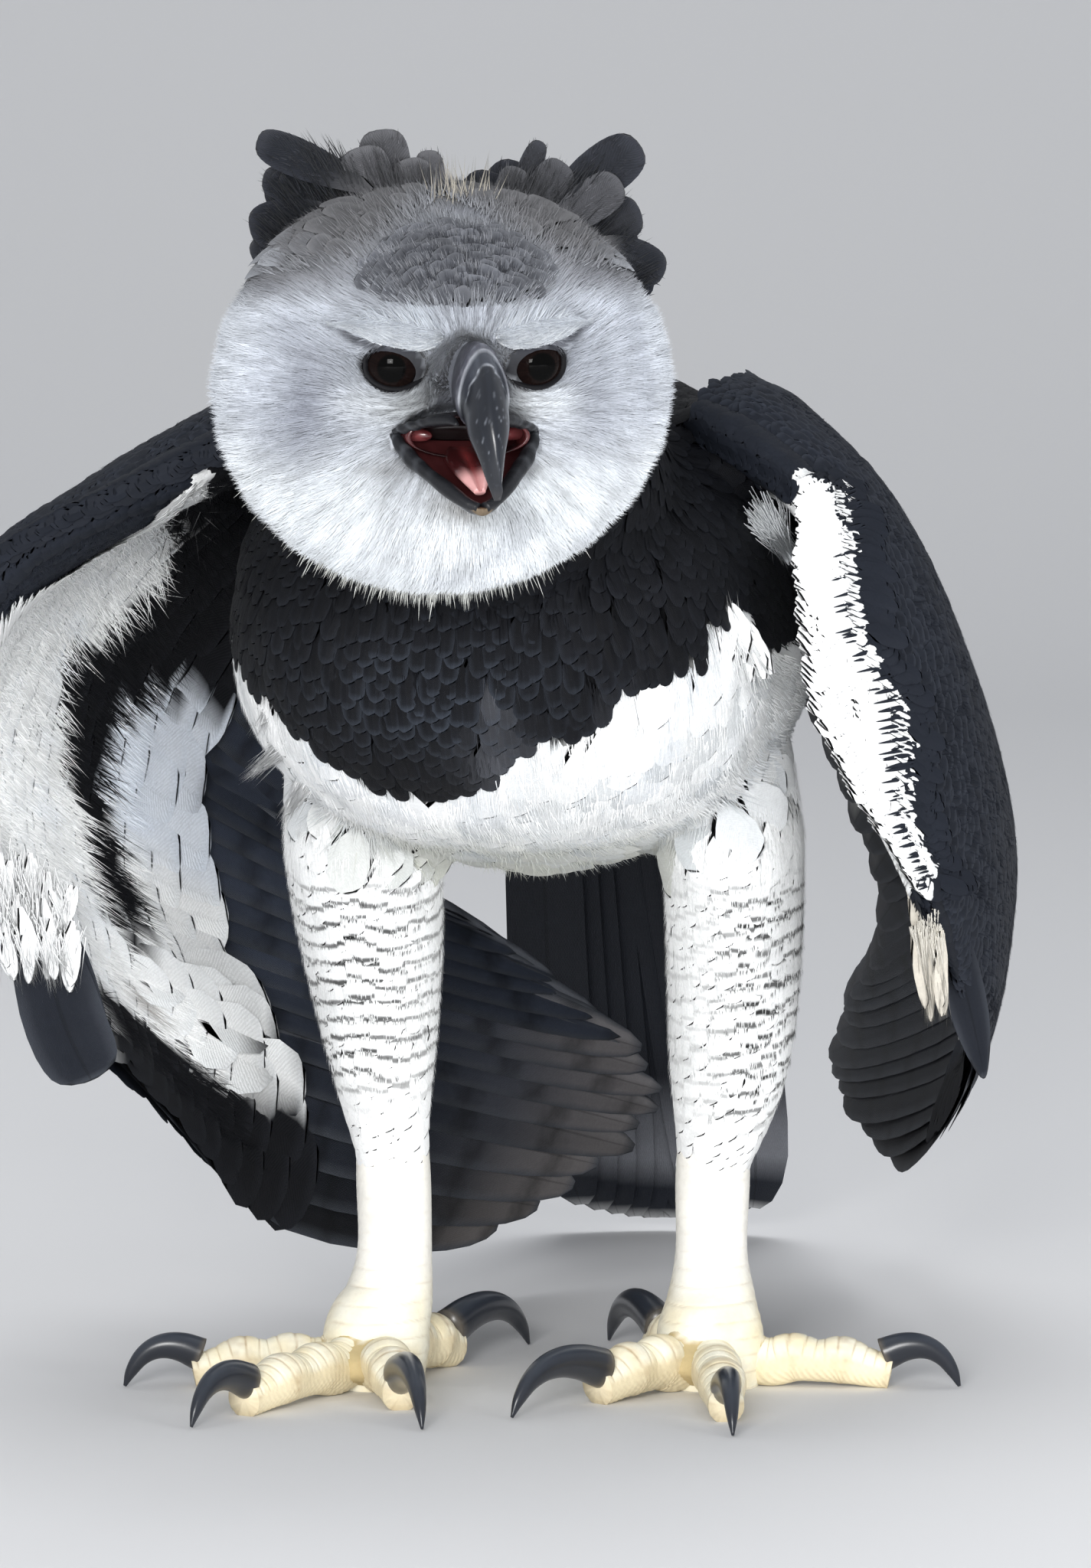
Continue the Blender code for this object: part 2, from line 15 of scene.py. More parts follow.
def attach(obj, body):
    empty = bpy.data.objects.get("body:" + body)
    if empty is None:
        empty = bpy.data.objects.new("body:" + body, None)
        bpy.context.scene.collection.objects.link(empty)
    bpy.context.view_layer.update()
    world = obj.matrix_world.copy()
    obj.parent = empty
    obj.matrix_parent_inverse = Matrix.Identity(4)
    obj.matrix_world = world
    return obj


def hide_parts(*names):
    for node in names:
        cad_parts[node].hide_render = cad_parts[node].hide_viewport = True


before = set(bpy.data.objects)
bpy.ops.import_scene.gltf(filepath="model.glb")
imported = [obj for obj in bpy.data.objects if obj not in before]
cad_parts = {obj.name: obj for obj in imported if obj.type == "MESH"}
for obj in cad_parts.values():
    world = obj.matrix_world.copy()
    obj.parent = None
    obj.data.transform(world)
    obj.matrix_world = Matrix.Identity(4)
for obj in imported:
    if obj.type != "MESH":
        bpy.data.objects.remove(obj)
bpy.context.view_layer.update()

# ---------------------------------------------------------------- frames and small maths
CM = 0.01
SHIFT = np.array([0.02337, -0.0298, 0.0])


def turn(yaw, pitch=0.0):
    a, b = math.radians(pitch), math.radians(yaw)
    rx = np.array([[1, 0, 0], [0, math.cos(a), -math.sin(a)], [0, math.sin(a), math.cos(a)]])
    rz = np.array([[math.cos(b), -math.sin(b), 0], [math.sin(b), math.cos(b), 0], [0, 0, 1]])
    return rz @ rx


R_BODY, R_HEAD = turn(-8.0), turn(10.0, 5.0)
HEAD_AT = np.array([-3.05, -24.0, 38.1])


def from_body(p):
    return np.asarray(p, float) @ R_BODY.T


def to_body(p):
    return np.asarray(p, float) @ R_BODY


def from_head(p):
    return np.asarray(p, float) @ R_HEAD.T + HEAD_AT


def to_head(p):
    return (np.asarray(p, float) - HEAD_AT) @ R_HEAD


def unit(v):
    return v / np.maximum(np.linalg.norm(v, axis=-1, keepdims=True), 1e-9)


def dot(a, b):
    return (a * b).sum(-1, keepdims=True)


def lin(r, g, b):
    """A colour given as it looks on screen, 0 to 255, as linear light."""
    c = np.array([r, g, b], float) / 255
    return np.where(c <= 0.04045, c / 12.92, ((c + 0.055) / 1.055) ** 2.4)


def mix(a, b, t):
    t = np.asarray(t, float)[..., None]
    return a * (1 - t) + b * t


def ease(x, lo, hi):
    t = np.clip((np.asarray(x, float) - lo) / (hi - lo), 0, 1)
    return t * t * (3 - 2 * t)


def hump(x, middle, half):
    return np.exp(-(((np.asarray(x, float) - middle) / half) ** 2))


def wob(p, size, seed):
    """Smooth noise of about -1 to 1 over points, with features of that size."""
    r = np.random.default_rng(seed)
    k = unit(r.normal(size=(6, 3))) * (2 * np.pi / size) * r.uniform(0.55, 1.5, (6, 1))
    return np.sin(np.asarray(p) @ k.T + r.uniform(0, 6.28, 6)).sum(-1) / 6 * 1.7


def smooth_path(points, count):
    p = np.asarray(points, float)
    ends = np.concatenate([[2 * p[0] - p[1]], p, [2 * p[-1] - p[-2]]])
    out = []
    for x in np.linspace(0, len(p) - 1, count):
        i = min(int(x), len(p) - 2)
        f = x - i
        a, b, c, d = ends[i : i + 4]
        out.append(0.5 * (2 * b + (c - a) * f + (2 * a - 5 * b + 4 * c - d) * f**2 + (3 * b - a - 3 * c + d) * f**3))
    return np.array(out)


# ---------------------------------------------------------------- colours, as they look in daylight
FACE = lin(198, 203, 212)
FACE_WHITE = lin(238, 242, 245)
# FACE_SHADE: a greyer tone of the face, and also the colour of the painted shade on the cheeks
FACE_SHADE = lin(146, 150, 161)
LORE = lin(168, 171, 172)
BROW_DARK = lin(88, 91, 101)
CROWN = lin(86, 86, 89)
CROWN_EDGE = lin(119, 119, 122)
CREST = lin(48, 50, 57)
CREST_BLACK = lin(24, 27, 34)
BLACK = lin(14, 15, 19)
# pale fringe of the black feathers, brightened as painted sheen
BLACK_FRINGE_SHEEN = lin(62, 68, 78)
WHITE = lin(246, 247, 247)
CREAM = lin(214, 202, 172)
BLUEGREY = lin(222, 229, 240)
SLATE = lin(34, 38, 47)
SLATE_PALE = lin(92, 97, 108)
SKIN_GREY = lin(70, 72, 80)


# ---------------------------------------------------------------- materials
def new_material(name, rough=0.6, specular=0.5, sheen=0.0, coat=0.0, coat_rough=0.1, metal=0.0):
    mat = bpy.data.materials.new(name)
    mat.use_nodes = True
    shader = mat.node_tree.nodes["Principled BSDF"]
    shader.inputs["Roughness"].default_value = rough
    shader.inputs["Specular IOR Level"].default_value = specular
    shader.inputs["Sheen Weight"].default_value = sheen
    shader.inputs["Sheen Roughness"].default_value = 0.5
    shader.inputs["Coat Weight"].default_value = coat
    shader.inputs["Coat Roughness"].default_value = coat_rough
    shader.inputs["Metallic"].default_value = metal
    return mat, mat.node_tree.nodes, mat.node_tree.links, shader


def maths(nodes, links, kind, a, b=None, c=None):
    node = nodes.new("ShaderNodeMath")
    node.operation = kind
    for socket, value in zip(node.inputs, (a, b, c)):
        if value is None:
            continue
        if isinstance(value, (int, float)):
            socket.default_value = value
        else:
            links.new(value, socket)
    return node.outputs[0]


def scaled(nodes, links, colour, factor):
    node = nodes.new("ShaderNodeVectorMath")
    node.operation = "SCALE"
    links.new(colour, node.inputs[0])
    if isinstance(factor, (int, float)):
        node.inputs["Scale"].default_value = factor
    else:
        links.new(factor, node.inputs["Scale"])
    return node.outputs[0]


def noise(nodes, links, scale, detail=3.0, rough=0.5):
    where = nodes.new("ShaderNodeTexCoord")
    tex = nodes.new("ShaderNodeTexNoise")
    tex.inputs["Scale"].default_value = scale
    tex.inputs["Detail"].default_value = detail
    tex.inputs["Roughness"].default_value = rough
    links.new(where.outputs["Object"], tex.inputs["Vector"])
    return tex.outputs["Fac"]


def bump(nodes, links, shader, height, strength, distance):
    node = nodes.new("ShaderNodeBump")
    node.inputs["Strength"].default_value = strength
    node.inputs["Distance"].default_value = distance
    links.new(height, node.inputs["Height"])
    links.new(node.outputs["Normal"], shader.inputs["Normal"])


def plumage(name, rough, sheen, barbs, depth, shaft, specular=0.35, bars=True, relief=0.35, crisp=9.0):
    """Feathers: the painted tint, with fine slanting barbs, a shaft line and thin cross bars from the mesh's own vane coordinates."""
    mat, nodes, links, shader = new_material(name, rough, specular, sheen)
    tint = nodes.new("ShaderNodeAttribute")
    tint.attribute_name = "tint"
    vane = nodes.new("ShaderNodeAttribute")
    vane.attribute_name = "vane"
    parts = nodes.new("ShaderNodeSeparateXYZ")
    links.new(vane.outputs["Vector"], parts.inputs[0])
    across, along, chance = parts.outputs
    side = maths(nodes, links, "ABSOLUTE", across)
    grain = noise(nodes, links, 900.0, 3.0)
    blotch = noise(nodes, links, 60.0, 2.0)
    phase = maths(nodes, links, "MULTIPLY_ADD", along, barbs, maths(nodes, links, "MULTIPLY", side, -0.28 * barbs))
    phase = maths(nodes, links, "ADD", phase, maths(nodes, links, "MULTIPLY", grain, 1.1))
    wave = maths(nodes, links, "SINE", maths(nodes, links, "MULTIPLY", phase, 6.2832))
    light = maths(nodes, links, "MULTIPLY_ADD", wave, depth, 1.0)
    light = maths(nodes, links, "MULTIPLY", light, maths(nodes, links, "MULTIPLY_ADD", blotch, 0.30, 0.85))
    light = maths(nodes, links, "MULTIPLY", light, maths(nodes, links, "MULTIPLY_ADD", grain, 0.30, 0.85))
    quill = maths(nodes, links, "LESS_THAN", side, 0.05)
    light = maths(nodes, links, "MULTIPLY", light, maths(nodes, links, "MULTIPLY_ADD", quill, shaft, 1.0))
    colour = scaled(nodes, links, tint.outputs["Color"], light)
    if bars:
        band = nodes.new("ShaderNodeAttribute")
        band.attribute_name = "bars"
        b = nodes.new("ShaderNodeSeparateXYZ")
        links.new(band.outputs["Vector"], b.inputs[0])
        shift = maths(nodes, links, "MULTIPLY_ADD", noise(nodes, links, 150.0, 2.0), 0.3, b.outputs[0])
        near = maths(nodes, links, "ABSOLUTE", maths(nodes, links, "SUBTRACT", maths(nodes, links, "FRACT", shift), 0.5))
        inside = maths(nodes, links, "SUBTRACT", b.outputs[2], near)
        inside = maths(nodes, links, "MULTIPLY", inside, crisp)
        clamp = nodes.new("ShaderNodeClamp")
        links.new(inside, clamp.inputs["Value"])
        keep = maths(nodes, links, "SUBTRACT", 1.0, maths(nodes, links, "MULTIPLY", clamp.outputs[0], b.outputs[1]))
        colour = scaled(nodes, links, colour, keep)
    links.new(colour, shader.inputs["Base Color"])
    height = maths(nodes, links, "ADD", wave, maths(nodes, links, "MULTIPLY", grain, 1.5))
    bump(nodes, links, shader, height, relief, 0.0004)
    return mat


def painted(name, rough, specular=0.5, grain=300.0, vary=0.25, relief=0.3, distance=0.0004, coat=0.0, coat_rough=0.15, sheen=0.0, streak=None):
    """Horn, skin and scale: the painted tint broken up by fine grain, with the same grain as relief."""
    mat, nodes, links, shader = new_material(name, rough, specular, sheen, coat, coat_rough)
    tint = nodes.new("ShaderNodeAttribute")
    tint.attribute_name = "tint"
    fine = noise(nodes, links, grain, 5.0, 0.6)
    wide = noise(nodes, links, grain * 0.16, 3.0)
    light = maths(nodes, links, "MULTIPLY_ADD", fine, vary, 1 - vary / 2)
    light = maths(nodes, links, "MULTIPLY", light, maths(nodes, links, "MULTIPLY_ADD", wide, 1.4 * vary, 1 - 0.7 * vary))
    height = fine
    if streak:
        vane = nodes.new("ShaderNodeAttribute")
        vane.attribute_name = "vane"
        mapping = nodes.new("ShaderNodeMapping")
        mapping.inputs["Scale"].default_value = streak
        links.new(vane.outputs["Vector"], mapping.inputs["Vector"])
        tex = nodes.new("ShaderNodeTexNoise")
        tex.inputs["Scale"].default_value = 1.0
        tex.inputs["Detail"].default_value = 4.0
        links.new(mapping.outputs[0], tex.inputs["Vector"])
        light = maths(nodes, links, "MULTIPLY", light, maths(nodes, links, "MULTIPLY_ADD", tex.outputs["Fac"], 2.2 * vary, 1 - 1.1 * vary))
        height = maths(nodes, links, "ADD", fine, maths(nodes, links, "MULTIPLY", tex.outputs["Fac"], 1.5))
    links.new(scaled(nodes, links, tint.outputs["Color"], light), shader.inputs["Base Color"])
    bump(nodes, links, shader, height, relief, distance)
    return mat


MAT = {
    "fluff": plumage("fluff_down", 0.9, 0.2, 3.0, 0.02, 0.0, 0.12, relief=0.1),
    "black": plumage("black_breast_plumage", 0.62, 0.0, 26.0, 0.14, 0.20, 0.16),
    "white": plumage("white_belly_plumage", 0.85, 0.2, 22.0, 0.02, -0.02, 0.2, relief=0.15),
    "crown": plumage("crown_plumage", 0.8, 0.1, 30.0, 0.16, -0.12, 0.22),
    "covert": plumage("wing_covert_plumage", 0.65, 0.0, 30.0, 0.05, -0.06, 0.2, relief=0.2),
    "flight": plumage("flight_feather_vanes", 0.55, 0.0, 90.0, 0.10, -0.30, 0.22, crisp=4.0),
    "skin": painted("skin_under_plumage", 0.8, 0.3, 220.0, 0.3, 0.4),
    "horn": painted("bill_and_claw_horn", 0.30, 0.5, 260.0, 0.35, 0.12, 0.0003, coat=0.2, coat_rough=0.25, streak=(5.0, 1.6, 1.0)),
    "cere": painted("cere_and_lid_skin", 0.42, 0.5, 520.0, 0.5, 0.5, 0.0004),
    "wet": painted("mouth_and_tongue_flesh", 0.26, 0.5, 180.0, 0.3, 0.25, 0.0005, coat=0.5, coat_rough=0.12),
    "eye": painted("eye_cornea", 0.04, 0.06, 700.0, 0.2, 0.0, 0.0001),
    "lid": painted("eyelid_skin", 0.62, 0.18, 520.0, 0.5, 0.4, 0.0003),
    "scale": painted("foot_scales", 0.50, 0.45, 420.0, 0.22, 0.4, 0.0005),
}


# ---------------------------------------------------------------- meshes
def mesh_piece(name, co, tris, tint, mat, vane=None, bars=None, bake=None, sharp=None, replaces=()):
    mesh = bpy.data.meshes.new(name)
    co = np.asarray(co, float).reshape(-1, 3)
    tris = np.asarray(tris, np.int32).reshape(-1, 3)
    mesh.vertices.add(len(co))
    mesh.vertices.foreach_set("co", (co * CM + SHIFT).astype(np.float32).ravel())
    mesh.loops.add(3 * len(tris))
    mesh.loops.foreach_set("vertex_index", tris.ravel())
    mesh.polygons.add(len(tris))
    mesh.polygons.foreach_set("loop_start", np.arange(0, 3 * len(tris), 3, dtype=np.int32))
    mesh.update(calc_edges=True)
    mesh.polygons.foreach_set("use_smooth", np.ones(len(tris), bool))
    if sharp:
        mesh.set_sharp_from_angle(angle=math.radians(sharp))
    if bake is not None:
        layer = mesh.uv_layers.new(name="OFBake")
        layer.data.foreach_set("uv", np.asarray(bake, np.float32)[tris.ravel()].ravel())
    full = np.ones((len(co), 4), np.float32)
    full[:, :3] = np.clip(np.asarray(tint, float).reshape(-1, np.shape(tint)[-1])[:, :3], 0, 1)
    mesh.attributes.new("tint", "FLOAT_COLOR", "POINT").data.foreach_set("color", full.ravel())
    for label, values in (("vane", vane), ("bars", bars)):
        if values is not None:
            mesh.attributes.new(label, "FLOAT_VECTOR", "POINT").data.foreach_set("vector", np.asarray(values, np.float32).ravel())
    mesh.materials.append(MAT[mat])
    made = bpy.data.objects.new(name, mesh)
    bpy.context.scene.collection.objects.link(made)
    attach(made, "root")
    if replaces:
        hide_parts(*replaces)
    return made


class Pile:
    """Many closed pieces of plumage that become a few joined meshes."""

    def __init__(self, name, mat, slot, replaces=()):
        self.name, self.mat, self.slot, self.replaces = name, mat, slot, replaces
        self.parts = []

    def add(self, co, tris, tint, vane, bars, bake):
        self.parts.append((co, tris, tint, vane, bars, bake))

    def build(self, most=190000):
        batch, size, count, done = [], 0, 0, []
        for part in self.parts + [None]:
            if part is None or size + part[0].shape[0] * len(part[1]) > most:
                while batch:
                    co, tris, tint, vane, bars, bake = [], [], [], [], [], []
                    base = 0
                    for c, t, *rest in batch:
                        f, n = c.shape[:2]
                        co.append(c.reshape(-1, 3))
                        tris.append((np.arange(f)[:, None, None] * n + t + base).reshape(-1, 3))
                        for store, values in zip((tint, vane, bars, bake), rest):
                            store.append(values.reshape(f * n, -1))
                        base += f * n
                    count += 1
                    title = f"{self.name}_{count}"
                    done.append(
                        mesh_piece(title, np.concatenate(co), np.concatenate(tris), np.concatenate(tint), self.mat, np.concatenate(vane), np.concatenate(bars), np.concatenate(bake), sharp=150, replaces=self.replaces if count == 1 else ())
                    )
                    batch, size = [], 0
            if part is not None:
                faces = part[0].shape[0] * len(part[1])
                if faces > most:
                    raise ValueError(f"{self.name}: one batch has {faces} triangles")
                batch.append(part)
                size += faces
        return done


class Shape:
    """A closed feather outline: v values of its rows, and for each vertex its row, place across (-1 to 1) and place in the thickness."""

    def __init__(self, v, row, a, k, tris):
        self.v, self.row, self.a, self.k = np.array(v, float), np.array(row), np.array(a, float), np.array(k, float)
        tris = np.array(tris)
        p = np.stack([self.a, self.v[self.row] * 3, self.k * 0.1], -1)
        volume = (p[tris[:, 0]] * np.cross(p[tris[:, 1]], p[tris[:, 2]])).sum()
        self.tris = tris if volume > 0 else tris[:, ::-1]


def lens(v, cols):
    rows, n = len(v), len(cols)
    row, a, k, top, low = [], [], [], {}, {}
    for i in range(rows):
        for j in range(n):
            rim = i in (0, rows - 1) or j in (0, n - 1)
            top[i, j] = len(row)
            row.append(i), a.append(cols[j]), k.append(0.0 if rim else 1.0)
            low[i, j] = top[i, j]
            if not rim:
                low[i, j] = len(row)
                row.append(i), a.append(cols[j]), k.append(-1.0)
    tris = []
    for i in range(rows - 1):
        for j in range(n - 1):
            for face, flip in ((top, False), (low, True)):
                q = [face[i, j], face[i, j + 1], face[i + 1, j + 1], face[i + 1, j]]
                two = [(q[0], q[1], q[2]), (q[0], q[2], q[3])]
                for t in two:
                    tris.append(t[::-1] if flip else t)
    return Shape(v, row, a, k, tris)


def spike(v):
    """A three-sided thread: rings at v, and a point at the end."""
    row, a, k, tris = [], [], [], []
    for i in range(len(v) - 1):
        for x, z in ((-1, 0), (0, 1), (1, 0)):
            row.append(i), a.append(x), k.append(z)
    row.append(len(v) - 1), a.append(0), k.append(0.3)
    tip = len(row) - 1
    tris.append((0, 1, 2))
    for i in range(len(v) - 2):
        for j in range(3):
            p, q = 3 * i + j, 3 * i + (j + 1) % 3
            tris += [(p, p + 3, q), (q, p + 3, q + 3)]
    b = 3 * (len(v) - 2)
    for j in range(3):
        tris.append((b + j, tip, b + (j + 1) % 3))
    return Shape(v, row, a, k, tris)


def fan(count, slack=0.0, seed=1):
    """A loose feather: threads that leave one root and end along a rounded outline."""
    r = np.random.default_rng(seed)
    v, row, a, k, tris = [], [], [], [], []
    for j in range(count):
        f = (2 * j / (count - 1) - 1) if count > 1 else 0.0
        end = 1 - 0.26 * f * f - slack * r.uniform(0, 0.2)
        at = (0.0, 0.42 * end, 0.8 * end, end)
        base, first = len(v), len(row)
        v += list(at)
        half = 1.5 / count
        lift = 1.5 * (j % 2) + r.uniform(0, 0.8)
        for i, (spread, w) in enumerate(((0.22, 0.6), (0.66, 1.0), (0.97, 0.8))):
            for x, z in ((-1, 0), (0, 1), (1, 0)):
                row.append(base + i), a.append(f * spread + x * half * w), k.append(z + lift)
        row.append(base + 3), a.append(f * 1.0), k.append(lift)
        tris.append((first, first + 1, first + 2))
        for i in range(2):
            for m in range(3):
                p, q = first + 3 * i + m, first + 3 * i + (m + 1) % 3
                tris += [(p, p + 3, q), (q, p + 3, q + 3)]
        for m in range(3):
            tris.append((first + 6 + m, first + 9, first + 6 + (m + 1) % 3))
    return Shape(v, row, a, k, tris)


HAIR = spike([0.0, 0.5, 1.0])
LEAF = spike([0.0, 0.3, 0.66, 0.9, 1.0])
LEAF_W = np.array([0.35, 0.85, 1.0, 0.62, 0.0])
COVERT = lens([0.0, 0.3, 0.6, 0.82, 0.94, 1.0], (-1.0, -0.5, 0.0, 0.5, 1.0))
COVERT_W = np.array([0.35, 0.85, 1.0, 0.92, 0.66, 0.22])
BLADE = lens([0.0, 0.1, 0.2, 0.32, 0.44, 0.56, 0.67, 0.77, 0.85, 0.91, 0.955, 0.985, 1.0], (-1.0, -0.66, -0.33, 0.0, 0.33, 0.66, 1.0))
BLADE_W = np.array([0.22, 0.55, 0.8, 0.93, 1.0, 1.0, 0.98, 0.95, 0.87, 0.75, 0.58, 0.36, 0.12])
SOFT = fan(9, 0.5, 3)
SOFT5 = fan(5, 0.6, 4)


def blades(pile, shape, spine, normal, half, tint, thick=0.03, camber=0.25, tilt=0.0, widths=None, bars=None, root_uv=None, chance=None, hook=None):
    """Puts one shape along each spine. spine and normal: (feathers, rows of the shape, 3); half: half widths; tint: (feathers, 3) or (feathers, vertices, 3)."""
    f = len(spine)
    if f == 0:
        return
    half = np.broadcast_to(np.asarray(half, float), (f,))
    along = unit(np.gradient(spine, axis=1)) if spine.shape[1] < 14 or shape not in (SOFT, SOFT5) else None
    if shape in (SOFT, SOFT5):
        along = unit(spine[:, 3:4] - spine[:, 0:1]) * np.ones((1, spine.shape[1], 1))
    side = unit(np.cross(along, normal))
    up = np.cross(side, along)
    r, a, k = shape.row, shape.a, shape.k
    w = half[:, None] * (np.ones(len(shape.v)) if widths is None else widths)[r][None, :]
    thick = np.broadcast_to(np.asarray(thick, float), (f,))[:, None]
    tilt = np.broadcast_to(np.asarray(tilt, float), (f,))[:, None]
    lift = thick * k - camber * a * a * w + tilt * a * w
    co = spine[:, r] + side[:, r] * (a * w)[..., None] + up[:, r] * lift[..., None]
    n = len(r)
    tint = np.asarray(tint, float)
    if tint.ndim == 2:
        tint = np.repeat(tint[:, None, :], n, 1)
    chance = RNG.random(f) if chance is None else chance
    vane = np.stack([np.broadcast_to(a, (f, n)), np.broadcast_to(shape.v[r], (f, n)), np.broadcast_to(chance[:, None], (f, n))], -1)
    if bars is None:
        bars = np.zeros((f, n, 3))
    if root_uv is None:
        root_uv = np.stack([(np.arange(f) * 0.618) % 1, (np.arange(f) * 0.381) % 1], -1)
    patch = np.stack([(a / max(1.0, np.abs(a).max())) * 0.0015, (shape.v[r] - 0.5) * 0.003], -1)
    bake = root_uv[:, None, :] + patch[None]
    limit = 180000 // len(shape.tris)
    for i in range(0, f, limit):
        cut = slice(i, i + limit)
        pile.add(co[cut], shape.tris, tint[cut], vane[cut], bars[cut], bake[cut])


RNG = np.random.default_rng(20)

# ---------------------------------------------------------------- the skin
TOES_ALL = [f"toe_{s}_{t}" for s in ("left", "right") for t in ("inner", "middle", "outer", "hind")]
FLESH = ["head", "neck", "trunk", "thigh_left", "thigh_right", "tarsus_left", "tarsus_right", "wing_left_arm", "wing_right_arm", *TOES_ALL]


def node_arrays(name):
    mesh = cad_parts[name].data
    co = np.empty(len(mesh.vertices) * 3, np.float32)
    mesh.vertices.foreach_get("co", co)
    co = (co.reshape(-1, 3).astype(float) - SHIFT) / CM
    mesh.calc_loop_triangles()
    tris = np.empty(len(mesh.loop_triangles) * 3, np.int32)
    mesh.loop_triangles.foreach_get("vertices", tris)
    return co, tris.reshape(-1, 3)


def welded(co, tris):
    """One vertex for each place, so that the normals run on round it."""
    key, index = np.unique(np.round(co, 4), axis=0, return_inverse=True)
    return key, index.ravel()[tris]


def vertex_normals(co, tris):
    n = np.zeros_like(co)
    face = np.cross(co[tris[:, 1]] - co[tris[:, 0]], co[tris[:, 2]] - co[tris[:, 0]])
    for i in range(3):
        for d in range(3):
            n[:, d] += np.bincount(tris[:, i], face[:, d], len(co))
    return unit(n)


def ellipsoid_arrays(at, radii, turn_to=None, segments=24, rings=14):
    co, tris = [], []
    for i in range(rings + 1):
        for j in range(segments):
            p, q = math.pi * i / rings, 2 * math.pi * j / segments
            co.append((math.sin(p) * math.cos(q), math.sin(p) * math.sin(q), math.cos(p)))
    for i in range(rings):
        for j in range(segments):
            a, b = i * segments + j, i * segments + (j + 1) % segments
            tris += [(a, a + segments, b), (b, a + segments, b + segments)]
    co = np.array(co) * radii
    if turn_to is not None:
        co = co @ np.asarray(turn_to).T
    return co + at, np.array(tris)


pieces_co, pieces_tris, owner, base = [], [], [], 0
for index, name in enumerate(FLESH):
    co, tris = welded(*node_arrays(name))
    co = co + vertex_normals(co, tris) * 0.05
    pieces_co.append(co), pieces_tris.append(tris + base), owner.append(np.full(len(tris), index))
    base += len(co)
# the ridge of bone over each eye, which the eagle frowns with, and flesh round each eyeball
BROW = [(4.45, -2.65, 2.02), (3.65, -3.50, 2.42), (2.55, -4.12, 2.50), (1.60, -4.38, 2.34), (0.85, -4.45, 2.05)]
for sign in (-1, 1):
    for k, q in enumerate(smooth_path(BROW, 15)):
        slim = 1 - 0.25 * abs(k - 7) / 7
        co, tris = ellipsoid_arrays(from_head(q * (sign, 1, 1)), (0.66 * slim, 0.66 * slim, 0.54 * slim), None, 16, 10)
        pieces_co.append(co), pieces_tris.append(tris + base), owner.append(np.full(len(tris), 0))
        base += len(co)
    co, tris = ellipsoid_arrays(from_head(np.array([sign * 2.36, -3.28, 1.27])), (1.36, 1.36, 1.36), None, 32, 20)
    pieces_co.append(co), pieces_tris.append(tris + base), owner.append(np.full(len(tris), 0))
    base += len(co)
flesh_co, flesh_tris, owner = np.concatenate(pieces_co), np.concatenate(pieces_tris), np.concatenate(owner)
flesh_tree = BVHTree.FromPolygons([tuple(p) for p in flesh_co], [tuple(int(i) for i in t) for t in flesh_tris])

raw = bpy.data.meshes.new("flesh")
raw.from_pydata([tuple(p * CM + SHIFT) for p in flesh_co], [], [tuple(int(i) for i in t) for t in flesh_tris])
raw_ob = bpy.data.objects.new("flesh", raw)
bpy.context.scene.collection.objects.link(raw_ob)
remesh = raw_ob.modifiers.new("remesh", "REMESH")
remesh.mode = "VOXEL"
remesh.voxel_size = 0.0031
bpy.context.view_layer.update()
done = bpy.data.meshes.new_from_object(raw_ob.evaluated_get(bpy.context.evaluated_depsgraph_get()))
done.calc_loop_triangles()
skin_co = np.empty(len(done.vertices) * 3, np.float32)
done.vertices.foreach_get("co", skin_co)
skin_co = (skin_co.reshape(-1, 3).astype(float) - SHIFT) / CM
skin_tris = np.empty(len(done.loop_triangles) * 3, np.int32)
done.loop_triangles.foreach_get("vertices", skin_tris)
skin_tris = skin_tris.reshape(-1, 3)
bpy.data.objects.remove(raw_ob, do_unlink=True)

edges = np.unique(np.sort(np.concatenate([skin_tris[:, [0, 1]], skin_tris[:, [1, 2]], skin_tris[:, [2, 0]]]), 1), axis=0)
ends = np.concatenate([edges, edges[:, ::-1]])
degree = np.bincount(ends[:, 0], minlength=len(skin_co))


def relax(values, times, share=0.5):
    values = np.array(values, float)
    flat = values.reshape(len(values), -1)
    for _ in range(times):
        for d in range(flat.shape[1]):
            near = np.bincount(ends[:, 0], flat[ends[:, 1], d], len(flat)) / degree
            flat[:, d] += share * (near - flat[:, d])
    return flat.reshape(values.shape)


skin_co = relax(skin_co, 5)
labels = np.empty(len(skin_co), int)
for i, p in enumerate(skin_co):
    labels[i] = owner[flesh_tree.find_nearest(Vector(p))[2]]
ID = {name: i for i, name in enumerate(FLESH)}
DEPTH = {"head": 0.30, "neck": 0.45, "trunk": 0.45, "thigh_left": 0.35, "thigh_right": 0.35, "tarsus_left": 0.12, "tarsus_right": 0.12, "wing_left_arm": 0.12, "wing_right_arm": 0.12}
depth = np.array([DEPTH.get(name, 0.14) for name in FLESH])[labels]
depth = relax(depth, 10)
outer_normals = vertex_normals(skin_co, skin_tris)
outer_normals = unit(relax(outer_normals, 3))
inner_co = skin_co - outer_normals * depth[:, None]
inner_co = relax(inner_co, 2)
inner_co[:, 2] = np.maximum(inner_co[:, 2], 0.0)


# ---------------------------------------------------------------- markings, by place on the bird
def breast_line(x):
    """Height of the lower edge of the black breast, along the trunk's own left-right axis."""
    at = [-9.6, -8.5, -6.0, -4.7, -3.5, -2.1, -0.7, 0.6, 1.8, 2.4, 2.9, 4.0, 4.9, 6.1, 7.4, 8.3, 9.2, 10.6]
    z = [28.4, 27.1, 25.0, 23.7, 22.95, 22.7, 22.95, 23.7, 24.9, 25.6, 25.1, 25.9, 27.0, 27.5, 28.0, 29.6, 27.6, 26.4]
    return np.interp(x, at, z)


